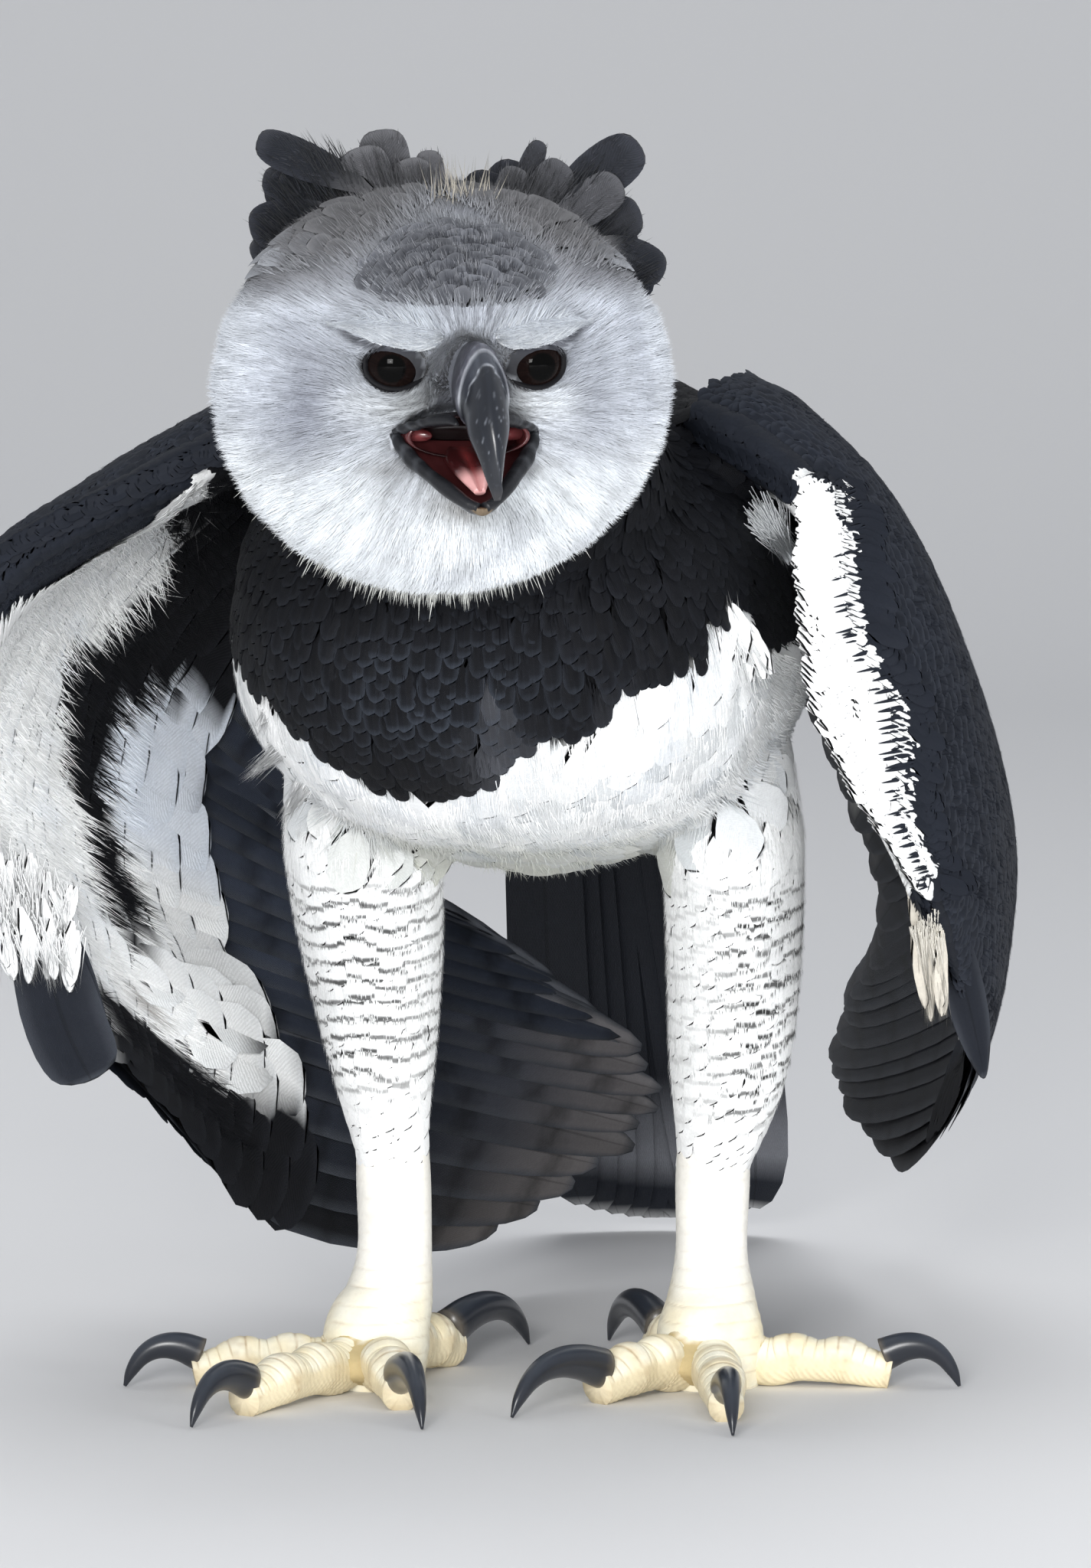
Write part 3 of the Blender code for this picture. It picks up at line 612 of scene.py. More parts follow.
def trunk_black(p):
    """1 where the trunk is black, 0 where it is white."""
    b = to_body(p)
    front = breast_line(b[..., 0])
    side = np.interp(b[..., 1], [-8, -2, 6, 13, 18, 23], [27.4, 26.2, 27.6, 26.8, 24.0, 21.4])
    line = mix(front[..., None], side[..., None], ease(b[..., 1], -11.0, -5.0))[..., 0]
    line = line + 0.35 * wob(p, 1.6, 5)
    return ease(b[..., 2], line - 0.25, line + 0.25)


def crown_line(x):
    """Height, in the head's axes, where the pale face gives way to the crown."""
    return 4.45 - 0.20 * np.abs(x) + 1.15 * hump(x, 0.0, 2.6)


def patch_share(h):
    """1 on the dark patch of the forehead, 0 off it."""
    d = np.hypot((h[..., 0] - 0.0) / 3.15, (h[..., 2] - 4.40 + 0.05 * h[..., 0] ** 2) / 1.22)
    return (1 - ease(d, 0.62, 1.24)) * (h[..., 1] < 0.5)


def head_paint(p):
    """Colour of the head, by place in the head's own axes."""
    h = to_head(p)
    x, y, z = h[..., 0], h[..., 1], h[..., 2]
    r = np.hypot(x, z - 0.2)
    front = 1 - ease(y, 0.5, 1.8)
    c = np.broadcast_to(FACE, h.shape).copy()
    # paler towards the chin: the chin's own paler feathers, lightened further as painted light where the chin turns
    # down away from the lamps
    c = mix(c, FACE_WHITE, ease(-z, 0.4, 3.4) * 0.85)
    c = mix(c, FACE_WHITE, 0.6 * hump(np.abs(x), 2.7, 1.4) * hump(z, -0.2, 0.7))
    c = mix(c, FACE_WHITE, 0.25 * ease(r, 6.0, 7.4) * front * (1 - ease(z, 2.5, 5.0)))
    # painted shade on the cheeks, either side of the bill
    c = mix(c, FACE_SHADE, 0.95 * hump(x, -4.75, 0.95) * hump(z, -0.3, 2.1) * front)
    c = mix(c, FACE_SHADE, 0.60 * hump(x, 4.35, 0.85) * hump(z, -0.1, 1.8) * front)
    c = mix(c, FACE_SHADE, 0.30 * np.clip(wob(p, 2.4, 8), 0, 1))
    c = mix(c, LORE, 0.7 * hump(np.abs(x), 1.6, 0.8) * hump(z, 0.2, 1.1) * ease(-y, 2.8, 3.8))
    # strands that run out from the root of the bill
    around, out = np.arctan2(z - 0.35, x - 0.15), np.hypot(x - 0.15, z - 0.35)
    strands = wob(np.stack([6 * np.cos(around), 6 * np.sin(around), 0.25 * out], -1), 0.55, 14)
    strands = strands + 0.7 * wob(np.stack([6 * np.cos(around), 6 * np.sin(around), 0.5 * out], -1), 0.25, 15)
    c = c * (1 + ((0.14 + 0.20 * hump(out, 2.3, 0.9)) * np.clip(strands, -1.4, 0.9) * front))[..., None]
    rows = 0.5 + 0.5 * np.sin(z * 17 + 1.9 * np.sin(x * 2.1) + 1.6 * wob(p, 1.1, 9))
    c = mix(c, mix(np.broadcast_to(lin(74, 76, 82), c.shape), lin(124, 126, 132), rows), 0.92 * patch_share(h))
    c = mix(c, lin(150, 153, 160), 0.7 * ease(z, 2.6, 3.8) * front * (1 - patch_share(h)))
    line = crown_line(x)
    top = ease(z, line - 0.9, line + 0.7) * ease(y, -3.4, -2.0)
    c = mix(c, mix(CROWN, CROWN_EDGE, 0.5 + 0.5 * wob(p, 0.9, 10)), 0.85 * top * (1 - patch_share(h)))
    c = mix(c, lin(112, 108, 104), 0.75 * hump(x, 0.2, 0.9) * hump(z, -3.35, 0.55) * ease(-y, 2.0, 3.0))
    c = mix(c, lin(120, 118, 118), 0.5 * hump(np.abs(x + 0.1), 2.2, 0.8) * hump(z, -2.15, 0.28) * ease(-y, 2.0, 3.0))
    c = mix(c, lin(92, 95, 104), 0.9 * (1 - ease(np.hypot((x - 0.15) / 0.98, (z - 0.35) / 1.70), 0.85, 1.10)) * (y < -2.0))
    c = mix(c, FACE_SHADE, 0.22 * np.clip(wob(p, 3.2, 12), 0, 1))
    near_eye = np.hypot((np.abs(x) - 2.38) / 1.02, (z - 1.27) / 0.82)
    c = mix(c, lin(34, 34, 38), 0.95 * (1 - ease(near_eye, 1.00, 1.10)) * (y < 0))
    # painted shadow under the brow ledge, along the top of each eye
    brow_shadow = hump(z - 1.98 - 0.14 * np.clip(np.abs(x) - 2.4, 0, 2) ** 2, 0.0, 0.20) * ease(np.abs(x), 1.0, 1.5) * (1 - ease(np.abs(x), 3.6, 4.4))
    c = mix(c, lin(60, 62, 70), 0.85 * brow_shadow * (y < -2.4))
    back = ease(y, 1.2, 3.0)
    c = mix(c, mix(CROWN, CREST, ease(y, 2.5, 4.5)), back * ease(z, -5.5, -1.0))
    c = mix(c, CROWN * 0.6, back * (1 - ease(z, -5.5, -1.0)) * ease(y, 2.2, 3.6))
    return c


def leg_bars(p, side):
    """Phase and strength of the thin dark bars on a thigh."""
    x, z = p[..., 0], p[..., 2]
    if side == "right":
        phase = z / 0.74 + 0.30 * np.sin(x * 2.2) + 0.25 * wob(p, 2.2, 31)
        strength = ease(z, 9.6, 12.0) * (1 - ease(z, 18.2, 19.4)) * (0.50 + 0.5 * hump(x, -6.2, 2.6))
    else:
        phase = (z - 0.55 * (x - 7.0)) / 0.80 + 0.22 * np.sin(x * 2.6) + 0.25 * wob(p, 2.2, 32)
        strength = ease(z, 8.6, 10.5) * (1 - ease(z, 18.2, 19.4)) * (0.25 + 0.75 * ease(x, 5.6, 7.6))
    return phase, np.clip(strength, 0, 1)


def skin_paint(p, label):
    c = mix(np.broadcast_to(WHITE * 0.9, p.shape), BLACK * 0.9, trunk_black(p))
    head = label == ID["head"]
    c[head] = head_paint(p[head]) * 0.85
    c[label == ID["neck"]] = BLACK * 1.1
    for side in ("left", "right"):
        c[label == ID["thigh_" + side]] = WHITE * 0.9
        c[label == ID["tarsus_" + side]] = lin(240, 234, 216)
        arm = label == ID[f"wing_{side}_arm"]
        c[arm] = SLATE * 1.2
    for toe in TOES_ALL:
        c[label == ID[toe]] = lin(206, 186, 140)
    return c


mesh_piece("skin", inner_co, skin_tris, skin_paint(inner_co, labels), "skin", replaces=FLESH)
SKIN_N = vertex_normals(inner_co, skin_tris)


def sub_tree(names):
    keep = np.isin(labels[skin_tris[:, 0]], [ID[n] for n in names])
    t = skin_tris[keep]
    return BVHTree.FromPolygons([tuple(p) for p in inner_co], [tuple(int(i) for i in f) for f in t])


TREE = {
    "body": sub_tree(["trunk", "neck", "thigh_left", "thigh_right"]),
    "head": sub_tree(["head", "neck"]),
    "leg": sub_tree(["thigh_left", "thigh_right", "tarsus_left", "tarsus_right"]),
    "arm": sub_tree(["wing_left_arm", "wing_right_arm"]),
}


def nearest(tree, points):
    loc, nrm = np.empty_like(points), np.empty_like(points)
    for i, p in enumerate(points):
        hit = tree.find_nearest(Vector(p))
        loc[i], nrm[i] = hit[0], hit[1]
    return loc, nrm


def scatter(names, per_cm2, keep=None, gap=None):
    """Random places on those parts of the skin; gap(p) thins them to that distance."""
    use = np.isin(labels[skin_tris[:, 0]], [ID[n] for n in names])
    t = skin_tris[use]
    a, b, c = inner_co[t[:, 0]], inner_co[t[:, 1]], inner_co[t[:, 2]]
    area = np.linalg.norm(np.cross(b - a, c - a), axis=1) / 2
    middle = (a + b + c) / 3
    rate = area * (per_cm2(middle) if callable(per_cm2) else per_cm2)
    total = int(rate.sum())
    pick = np.searchsorted(np.cumsum(rate), RNG.random(total) * rate.sum())
    pick = np.minimum(pick, len(t) - 1)
    u, v = RNG.random(total), RNG.random(total)
    over = u + v > 1
    u[over], v[over] = 1 - u[over], 1 - v[over]
    p = a[pick] + (b - a)[pick] * u[:, None] + (c - a)[pick] * v[:, None]
    n = unit(SKIN_N[t[pick, 0]] + SKIN_N[t[pick, 1]] + SKIN_N[t[pick, 2]])
    if keep is not None:
        ok = keep(p)
        p, n = p[ok], n[ok]
    if gap is not None:
        reach = np.broadcast_to(gap(p) if callable(gap) else gap, (len(p),))
        tree = KDTree(len(p))
        for i, q in enumerate(p):
            tree.insert(q, i)
        tree.balance()
        alive = np.ones(len(p), bool)
        for i in range(len(p)):
            if alive[i]:
                for _, j, _ in tree.find_range(p[i], reach[i]):
                    if j != i:
                        alive[j] = False
        p, n = p[alive], n[alive]
    return p, n


def laid(tree, p, n, flow, length, low, high, shape, rise=1.0):
    """Spines that leave the skin at p along flow and lie on it, low above it at the root and high at the tip."""
    low, high = np.broadcast_to(low, (len(p),))[:, None], np.broadcast_to(high, (len(p),))[:, None]
    length = np.broadcast_to(length, (len(p),))[:, None]
    d = unit(flow - dot(flow, n) * n)
    m, nm = nearest(TREE[tree], p + d * length / 2)
    d1 = unit(m - p)
    d1 = unit(d1 - dot(d1, nm) * nm * 0.8)
    far = m + d1 * length / 2
    c, nc = nearest(TREE[tree], far)
    stray = np.linalg.norm(c - far, axis=1, keepdims=True) > 0.45 * length
    c, nc = np.where(stray, far, c), np.where(stray, nm, nc)
    nm, nc = unit(n * 0.4 + nm * 0.6), unit(nm * 0.4 + nc * 0.6)
    A, M, C = p + n * low, m + nm * (low + (high - low) * 0.62**rise), c + nc * high
    folded = dot(unit(M - A), unit(C - M)) < 0.80
    M, C = np.where(folded, A + d * length / 2 + n * (high - low) * 0.5, M), np.where(folded, A + d * length + n * (high - low), C)
    nm, nc = np.where(folded, n, nm), np.where(folded, n, nc)
    v = shape.v[None, :, None]
    S = A[:, None] * (1 - v) * (1 - 2 * v) + M[:, None] * 4 * v * (1 - v) + C[:, None] * v * (2 * v - 1)
    N = unit(n[:, None] * (1 - v) + nm[:, None] * (1 - np.abs(2 * v - 1)) + nc[:, None] * v)
    return S, N


def body_uv(p):
    """Unwrap of trunk and neck: round the long axis, and along it."""
    b = to_body(p)
    return np.stack([(np.arctan2(b[..., 0], b[..., 2] - 28.5) / 6.2832) % 1.0, np.clip((b[..., 1] + 26) / 54, 0, 1)], -1)


def head_uv(p):
    h = to_head(p)
    away = np.arctan2(np.hypot(h[..., 0], h[..., 2]), -h[..., 1] - 0.0)
    a = np.arctan2(h[..., 2], h[..., 0])
    return 0.5 + np.stack([np.cos(a), np.sin(a)], -1) * (away / 6.4)[..., None]


def leg_uv(p, side):
    x0 = -5.9 if side == "right" else 6.9
    turnings = np.arctan2(p[..., 0] - x0, -(p[..., 1] + 0.6)) / 6.2832 % 1.0
    return np.stack([turnings * 0.48 + (0.5 if side == "left" else 0.0), np.clip(p[..., 2] / 28, 0, 1)], -1)


def body_flow(p):
    b = to_body(p)
    f = ease(-b[..., 1], 5.0, 16.0)
    d = np.stack([b[..., 0] * 0.022, 0.30 + 0.7 * (1 - f), -(1.05 * f + 0.24 * (1 - f))], -1)
    d = d + 0.10 * np.stack([wob(p, 5, 41), wob(p, 5, 42), wob(p, 5, 43)], -1)
    return from_body(d)


def pale_ends(shape, base, edge, amount=1.0, tip=0.72, root=None):
    """Colours over each feather: base, with edge along the sides and the end, and a darker or paler root."""
    a, v = np.abs(shape.a), shape.v[shape.row]
    rim = np.clip(ease(v, tip, 0.98) + 0.8 * ease(a, 0.55, 1.0) * ease(v, 0.2, 0.6), 0, 1)
    c = mix(base[:, None, :], edge[:, None, :], np.broadcast_to((rim * amount)[None], (len(base), len(a))))
    if root is not None:
        c = mix(c, root[:, None, :], np.broadcast_to((1 - ease(v, 0.0, 0.45))[None], (len(base), len(a))))
    return c


# ---------------------------------------------------------------- trunk and neck plumage
def spread_colour(c, amount):
    """A little difference in lightness from feather to feather."""
    return c * (1 + amount * (RNG.random((len(c), 1)) * 2 - 1))


NEEDLE = spike([0.0, 1.0])
VANE = lens([0.0, 0.32, 0.62, 0.84, 0.95, 1.0], (-1.0, -0.4, 0.4, 1.0))
VANE_W = np.array([0.35, 0.85, 1.0, 0.86, 0.60, 0.24])


def needles(pile, tree, p, n, flow, length, low, high, half, tint, root_uv, bars=None):
    """Fine straight threads that lie on the coat."""
    length, low, high = (np.broadcast_to(x, (len(p),))[:, None] for x in (length, low, high))
    d = unit(flow - dot(flow, n) * n)
    far = p + d * length
    c, nc = nearest(TREE[tree], far)
    stray = np.linalg.norm(c - far, axis=1, keepdims=True) > 0.5 * length
    c, nc = np.where(stray, far, c), np.where(stray, n, nc)
    half = np.broadcast_to(half, (len(p),))
    if bars is not None:
        bars = bars(np.stack([p, c], 1))[:, NEEDLE.row]
    blades(pile, NEEDLE, np.stack([p + n * low, c + nc * high], 1), np.stack([n, nc], 1), half, tint, half * 0.3, 0.0, 0.0, np.array([1.0, 0.0]), bars=bars, root_uv=root_uv)


black_pile = Pile("breast_and_back_feathers", "black", "black")
white_pile = Pile("belly_feathers", "white", "white")


def size_on_body(p):
    b = to_body(p)
    return 0.62 + 0.38 * ease(b[..., 1], -12.0, 2.0) * ease(b[..., 2], 27.0, 32.0)


def breast_base(p):
    b = to_body(p)
    base = np.repeat(BLACK[None], len(p), 0)
    patch = 0.55 * hump(b[:, 0], 1.1, 1.3) * hump(b[:, 2], 25.6, 1.0) + 0.8 * hump(b[:, 0], 1.0, 0.45) * hump(b[:, 2], 27.3, 0.5) + 0.45 * hump(b[:, 0], 6.3, 1.4) * hump(b[:, 2], 27.6, 0.6)
    base = mix(base, lin(88, 90, 96), np.clip(patch * ease(-b[:, 1], 10, 13), 0, 1))
    # how scaly: pale feather fringes, strongest on the upper breast, where they also stand for painted sheen on the
    # feather edges
    scaly = (0.10 + 0.9 * hump(b[:, 0], -1.2, 4.5) * hump(b[:, 2], 28.2, 2.4)) * ease(-b[:, 1], 8, 12) + 0.25 * ease(b[:, 1], -4, 4)
    return base, np.clip(scaly, 0, 1)


p, n = scatter(["trunk", "neck"], 7.0, keep=lambda q: trunk_black(q + np.array([0, 0, -1.25])) > 0.5, gap=lambda q: 0.60 * size_on_body(q))
size = size_on_body(p)
S, N = laid("body", p, n, body_flow(p), 2.9 * size * RNG.uniform(0.94, 1.06, len(p)), 0.24, 0.40 * RNG.uniform(0.95, 1.05, len(p)), VANE)
base, scaly = breast_base(p)
base = spread_colour(base, 0.2)
edge = mix(base * 1.25, np.repeat(BLACK_FRINGE_SHEEN[None], len(p), 0), np.clip(scaly * RNG.uniform(0.4, 1.0, len(p)), 0, 1))
blades(black_pile, VANE, S, N, 0.66 * size, pale_ends(VANE, base, edge, 0.8, 0.8, root=base * 0.6), 0.018, 0.07, 0.0, VANE_W, root_uv=body_uv(p))


def near_border(q):
    b = to_body(q)
    return 13.0 + 60.0 * hump(b[:, 2] - breast_line(b[:, 0]), 0.8, 0.6) * ease(-b[:, 1], 5.0, 9.0)


p, n = scatter(["trunk", "neck"], near_border, keep=lambda q: trunk_black(q + np.array([0, 0, -0.8])) > 0.5)
base, scaly = breast_base(p)
# threads paler where the fringes carry painted sheen
tint = spread_colour(base * (1 + 0.5 * scaly[:, None]), 0.35)
needles(black_pile, "body", p, n, body_flow(p) + RNG.normal(size=(len(p), 3)) * 0.10, RNG.uniform(0.7, 1.3, len(p)), 0.30, RNG.uniform(0.38, 0.47, len(p)), 0.028, tint, body_uv(p))

p, n = scatter(["trunk"], 6.0, keep=lambda q: trunk_black(q + np.array([0, 0, -0.7])) <= 0.5, gap=0.72)
b = to_body(p)


def belly_base(p):
    b = to_body(p)
    base = np.repeat(WHITE[None], len(p), 0)
    # greyish cream under the belly: painted shade where the belly turns under, away from the light
    base = mix(base, lin(176, 178, 166), 0.9 * (1 - ease(b[:, 2], 19.8, 22.8)) * ease(-b[:, 1], -12.0, 0.0))
    base = mix(base, lin(205, 211, 218), 0.5 * np.clip(wob(p, 3.0, 51), 0, 1))
    # grey streaks along the flow: painted shade between the soft strands
    strands = wob(np.stack([b[:, 0] + 0.15 * b[:, 1], 0.3 * b[:, 1], 0.3 * b[:, 2]], -1), 0.9, 52)
    base = mix(base, lin(170, 176, 180), 0.55 * np.clip(strands, 0, 1))
    return base


S, N = laid("body", p, n, body_flow(p), 3.2 * RNG.uniform(0.9, 1.1, len(p)), 0.26, 0.34 * RNG.uniform(0.96, 1.04, len(p)), VANE)
base = spread_colour(belly_base(p), 0.02)
blades(white_pile, VANE, S, N, 0.80, pale_ends(VANE, base * 0.96, base * 1.02, 0.9, 0.8), 0.016, 0.06, 0.0, VANE_W, root_uv=body_uv(p))
p, n = scatter(["trunk"], 34.0, keep=lambda q: trunk_black(q + np.array([0, 0, -0.3])) <= 0.5)
tint = spread_colour(belly_base(p), 0.05)
needles(white_pile, "body", p, n, body_flow(p) + RNG.normal(size=(len(p), 3)) * 0.07, RNG.uniform(1.0, 2.2, len(p)), 0.30, RNG.uniform(0.36, 0.48, len(p)), 0.030, tint, body_uv(p))

# the soft feathers under the belly hang lower between the legs
def vent_hang(q):
    b = to_body(q)
    return np.clip(1 - ((b[:, 0] - 0.6) / 4.4) ** 2, 0, 1) * ease(b[:, 1], -9.0, -3.0) * (1 - ease(b[:, 1], 8.0, 13.0))


p, n = scatter(["trunk"], 9.0, keep=lambda q: (vent_hang(q) > 0.1) & (q[:, 2] < 21.2), gap=0.62)
hang = vent_hang(p)
S, N = laid("body", p, n, body_flow(p), 3.4 * RNG.uniform(0.9, 1.1, len(p)), 0.26, 0.42 + 0.85 * hang * RNG.uniform(0.6, 1.1, len(p)), VANE)
base = spread_colour(belly_base(p), 0.03)
blades(white_pile, VANE, S, N, 0.72, pale_ends(VANE, base * 0.92, base * 1.02, 0.9, 0.8), 0.016, 0.06, 0.0, VANE_W, root_uv=body_uv(p))
p, n = scatter(["trunk"], 26.0, keep=lambda q: (vent_hang(q) > 0.1) & (q[:, 2] < 21.2))
hang = vent_hang(p)
needles(white_pile, "body", p, n, body_flow(p) + RNG.normal(size=(len(p), 3)) * 0.12, RNG.uniform(1.6, 3.0, len(p)), 0.34, 0.45 + 1.0 * hang * RNG.random(len(p)), 0.030, spread_colour(belly_base(p), 0.06), body_uv(p))


# pointed white tufts of the right flank, which stand out past the breast
def tuft(pile, root, tip, count, half, spread, colour, shape=VANE, bend=0.6, uv=body_uv, lift=(0.3, 0.0, 0.2), taper=1.0):
    root, tip = np.asarray(root, float), np.asarray(tip, float)
    roots = root + RNG.normal(size=(count, 3)) * spread
    tips = tip + RNG.normal(size=(count, 3)) * spread * 0.6 + (root - tip) * RNG.uniform(0.0, 0.35, (count, 1))
    middle = (roots + tips) / 2 + np.asarray(lift) * bend
    v = shape.v[None, :, None]
    S = roots[:, None] * (1 - v) * (1 - 2 * v) + middle[:, None] * 4 * v * (1 - v) + tips[:, None] * v * (2 * v - 1)
    d = unit(tips - roots)
    out = unit(np.cross(np.cross(d, (0.0, -1.0, 0.25)), d))
    out = unit(out + RNG.normal(size=out.shape) * 0.12)
    N = np.repeat(out[:, None], len(shape.v), 1)
    widths = {id(VANE): VANE_W, id(COVERT): COVERT_W, id(NEEDLE): np.array([1.0, 0.0])}[id(shape)]
    if shape is VANE:
        widths = widths * (1 - (1 - taper) * shape.v)
    blades(pile, shape, S, N, half * RNG.uniform(0.8, 1.1, count), spread_colour(np.repeat(np.asarray(colour)[None], count, 0), 0.03), 0.02 if shape is not NEEDLE else 0.02, 0.15, 0.0, widths, root_uv=uv(roots))


for root, tip, count in (
    ((-8.6, -12.6, 30.0), (-9.9, -11.9, 27.6), 3),
    ((-8.3, -12.6, 27.6), (-9.9, -11.6, 24.8), 4),
    ((-8.0, -11.2, 25.2), (-10.4, -9.6, 23.0), 3),
    ((-7.8, -9.4, 23.8), (-9.0, -8.4, 21.4), 4),
):
    tuft(white_pile, root, tip, 2, 0.50, 0.06, WHITE, taper=0.35)
    tuft(white_pile, root, tip, 160, 0.026, 0.26, WHITE, shape=NEEDLE)
for root, tip, count in (((7.0, -13.2, 27.6), (6.7, -13.9, 30.0), 5), ((7.9, -12.2, 27.0), (7.0, -13.4, 29.3), 5)):
    tuft(white_pile, root, tip, count, 0.36, 0.22, WHITE, taper=0.3)
    tuft(white_pile, root, tip, 60, 0.028, 0.3, WHITE, shape=NEEDLE)

# ---------------------------------------------------------------- thighs
thigh_pile = Pile("thigh_feathers", "white", "white")


def thigh_base(p):
    z = p[..., 2]
    base = np.repeat(WHITE[None], len(p), 0)
    base = mix(base, CREAM * 1.05, 0.7 * (1 - ease(z, 5.0, 8.0)))
    return base


for side in ("left", "right"):
    parts = ["thigh_" + side, "tarsus_" + side]
    p, n = scatter(parts, 12.0, keep=lambda q: (q[:, 2] > 6.0) & (q[:, 2] < 21.8), gap=lambda q: 0.34 + 0.26 * ease(q[:, 2], 7.0, 14.0))
    z = p[:, 2]
    f = ease(z, 6.5, 12.0)
    flow = np.stack([0.02 * wob(p, 4, 61), 0.12 + 0.05 * wob(p, 4, 62), -np.ones(len(p))], -1)
    S, N = laid("leg", p, n, flow, (0.9 + 1.3 * f) * RNG.uniform(0.92, 1.08, len(p)), 0.03 + 0.15 * f, (0.06 + 0.18 * f) * RNG.uniform(0.97, 1.03, len(p)), VANE)
    base = spread_colour(thigh_base(p), 0.02)
    phase, strength = leg_bars(S[:, VANE.row], side)
    bars = np.stack([phase + 0.02 * RNG.normal(size=(len(p), 1)), strength * RNG.uniform(0.75, 1.0, (len(p), 1)), np.full(phase.shape, 0.17)], -1)
    blades(thigh_pile, VANE, S, N, 0.24 + 0.30 * f, base, 0.014, 0.08, 0.0, VANE_W, bars=bars, root_uv=leg_uv(p, side))
    p, n = scatter(parts, 34.0, keep=lambda q: (q[:, 2] > 6.4) & (q[:, 2] < 24.0))
    z = p[:, 2]
    f = ease(z, 6.5, 12.0)
    flow = np.stack([0.02 * wob(p, 4, 61), 0.12 + 0.05 * wob(p, 4, 62), -np.ones(len(p))], -1) + RNG.normal(size=(len(p), 3)) * 0.08

    def bars(q):
        phase, strength = leg_bars(q, side)
        return np.stack([phase, strength * 0.95, np.full(phase.shape, 0.17)], -1)

    needles(thigh_pile, "leg", p, n, flow, RNG.uniform(0.35, 0.65, len(p)), 0.05 + 0.18 * f, (0.08 + 0.24 * f) * RNG.uniform(0.95, 1.2, len(p)), 0.018, spread_colour(thigh_base(p), 0.04), leg_uv(p, side), bars=bars)

# ---------------------------------------------------------------- head: face tufts, crown feathers and crest
EYES = {"left": np.array([2.36, -3.28, 1.27]), "right": np.array([-2.36, -3.28, 1.27])}
EYE_R = 1.10


def eye_gap(h):
    """How far a head point is from the nearer eye's opening, in opening radii."""
    x, z = np.abs(h[..., 0]) - 2.38, h[..., 2] - 1.27
    return np.hypot(x / 1.02, z / np.where(z > 0, 0.80, 0.84))


def head_flow(h):
    """Away from the root of the bill, parting round the eyes."""
    away = h - np.array([0.15, -5.0, 0.35])
    flat = unit(away[..., [0, 2]])
    for sign in (-1, 1):
        c = h[..., [0, 2]] - np.array([sign * 2.38, 1.30])
        r = np.maximum(np.linalg.norm(c, axis=-1, keepdims=True), 0.9)
        rr = unit(c)
        flat = flat + 0.9 * (1.05 / r) ** 2 * (flat - 2 * dot(flat, rr) * rr) * (h[..., 1:2] < 0.5)
    flat = unit(flat)
    rise = 0.25 + 0.9 * ease(h[..., 1], 0.0, 3.0)
    return np.stack([flat[..., 0], rise, flat[..., 1] - 0.55 * ease(h[..., 1], 0.5, 3.0)], -1)


def mouth_area(h):
    x, y, z = h[..., 0] - 0.1, h[..., 1], h[..., 2]
    upper = (np.abs(x) < 2.5) & (z < -0.45 - 0.20 * np.abs(x)) & (z > -1.55)
    lower = np.abs(x) < 2.45 + (z + 1.2) * 1.22
    return (upper | ((z <= -1.2) & lower & (z > -3.2))) & (y < -2.4)


def face_keep(q):
    h = to_head(q)
    x, y, z = h[:, 0], h[:, 1], h[:, 2]
    bill = (np.hypot((x - 0.28) / 0.72, (z - 0.75) / 1.30) < 1.0) & (y < -3.0)
    return (eye_gap(h) > 0.97) & ~mouth_area(h) & ~bill


face_pile = Pile("face_tufts", "fluff", "face")
crown_pile = Pile("crown_feathers", "crown", "face")


def crown_share(h):
    """1 where the long soft crown feathers grow."""
    x, y, z = h[..., 0], h[..., 1], h[..., 2]
    line = crown_line(x)
    return np.maximum(ease(z, line, line + 1.3) * ease(y, -3.2, -2.2), ease(y, 0.9, 1.6) * ease(z, 0.5, 2.0))


def face_rate(q):
    h = to_head(q)
    front = 1 - ease(h[..., 1], 0.9, 2.0)
    close = 1.0 + 0.8 * (1 - ease(np.hypot(h[..., 0], h[..., 2]), 2.5, 4.5))
    hidden = 1 - 0.75 * np.maximum(crown_share(h), patch_share(h))
    return front * 214.0 * close * hidden + 8.0


def face_needles(p, n, length, high, half, colour, swirl=0.1):
    h = to_head(p)
    flow = head_flow(h)
    swirl = 0.14 * wob(p, 1.6, 71) + 0.08 * wob(p, 0.6, 72) + RNG.normal(size=len(p)) * swirl
    turned = flow.copy()
    turned[:, 0] = flow[:, 0] * np.cos(swirl) - flow[:, 2] * np.sin(swirl)
    turned[:, 2] = flow[:, 0] * np.sin(swirl) + flow[:, 2] * np.cos(swirl)
    needles(face_pile, "head", p, n, turned @ R_HEAD.T, length, 0.03, high, half, colour, head_uv(p))


p, n = scatter(["head"], face_rate, keep=face_keep)
h = to_head(p)
r = np.hypot(h[:, 0], h[:, 2] - 0.3)
gap = eye_gap(h)
length = np.interp(r, [1.2, 2.2, 3.4, 5.0, 6.8, 8.2], [0.26, 0.38, 0.58, 0.85, 0.95, 0.72])
length = np.where(gap < 1.9, np.minimum(length, 0.20 + 0.42 * (gap - 1.0)), length) * RNG.uniform(0.75, 1.2, len(p))
rim = ease(r, 6.3, 7.8) * ease(h[:, 1], -2.4, -0.4)
high = (0.11 + 0.09 * ease(r, 2.0, 4.5) + 0.20 * rim) * RNG.uniform(0.55, 1.35, len(p))
colour = head_paint(p)
colour = colour * (0.97 + 0.05 * wob(p, 0.5, 73)[:, None]) * RNG.uniform(0.86, 1.08, (len(p), 1))
dark = RNG.random(len(p)) < 0.07 * hump(r, 2.1, 0.9) + 0.003
colour[dark] *= 0.55
face_needles(p, n, length, high, np.interp(r, [1.5, 4.0, 8.0], [0.017, 0.022, 0.026]), colour)

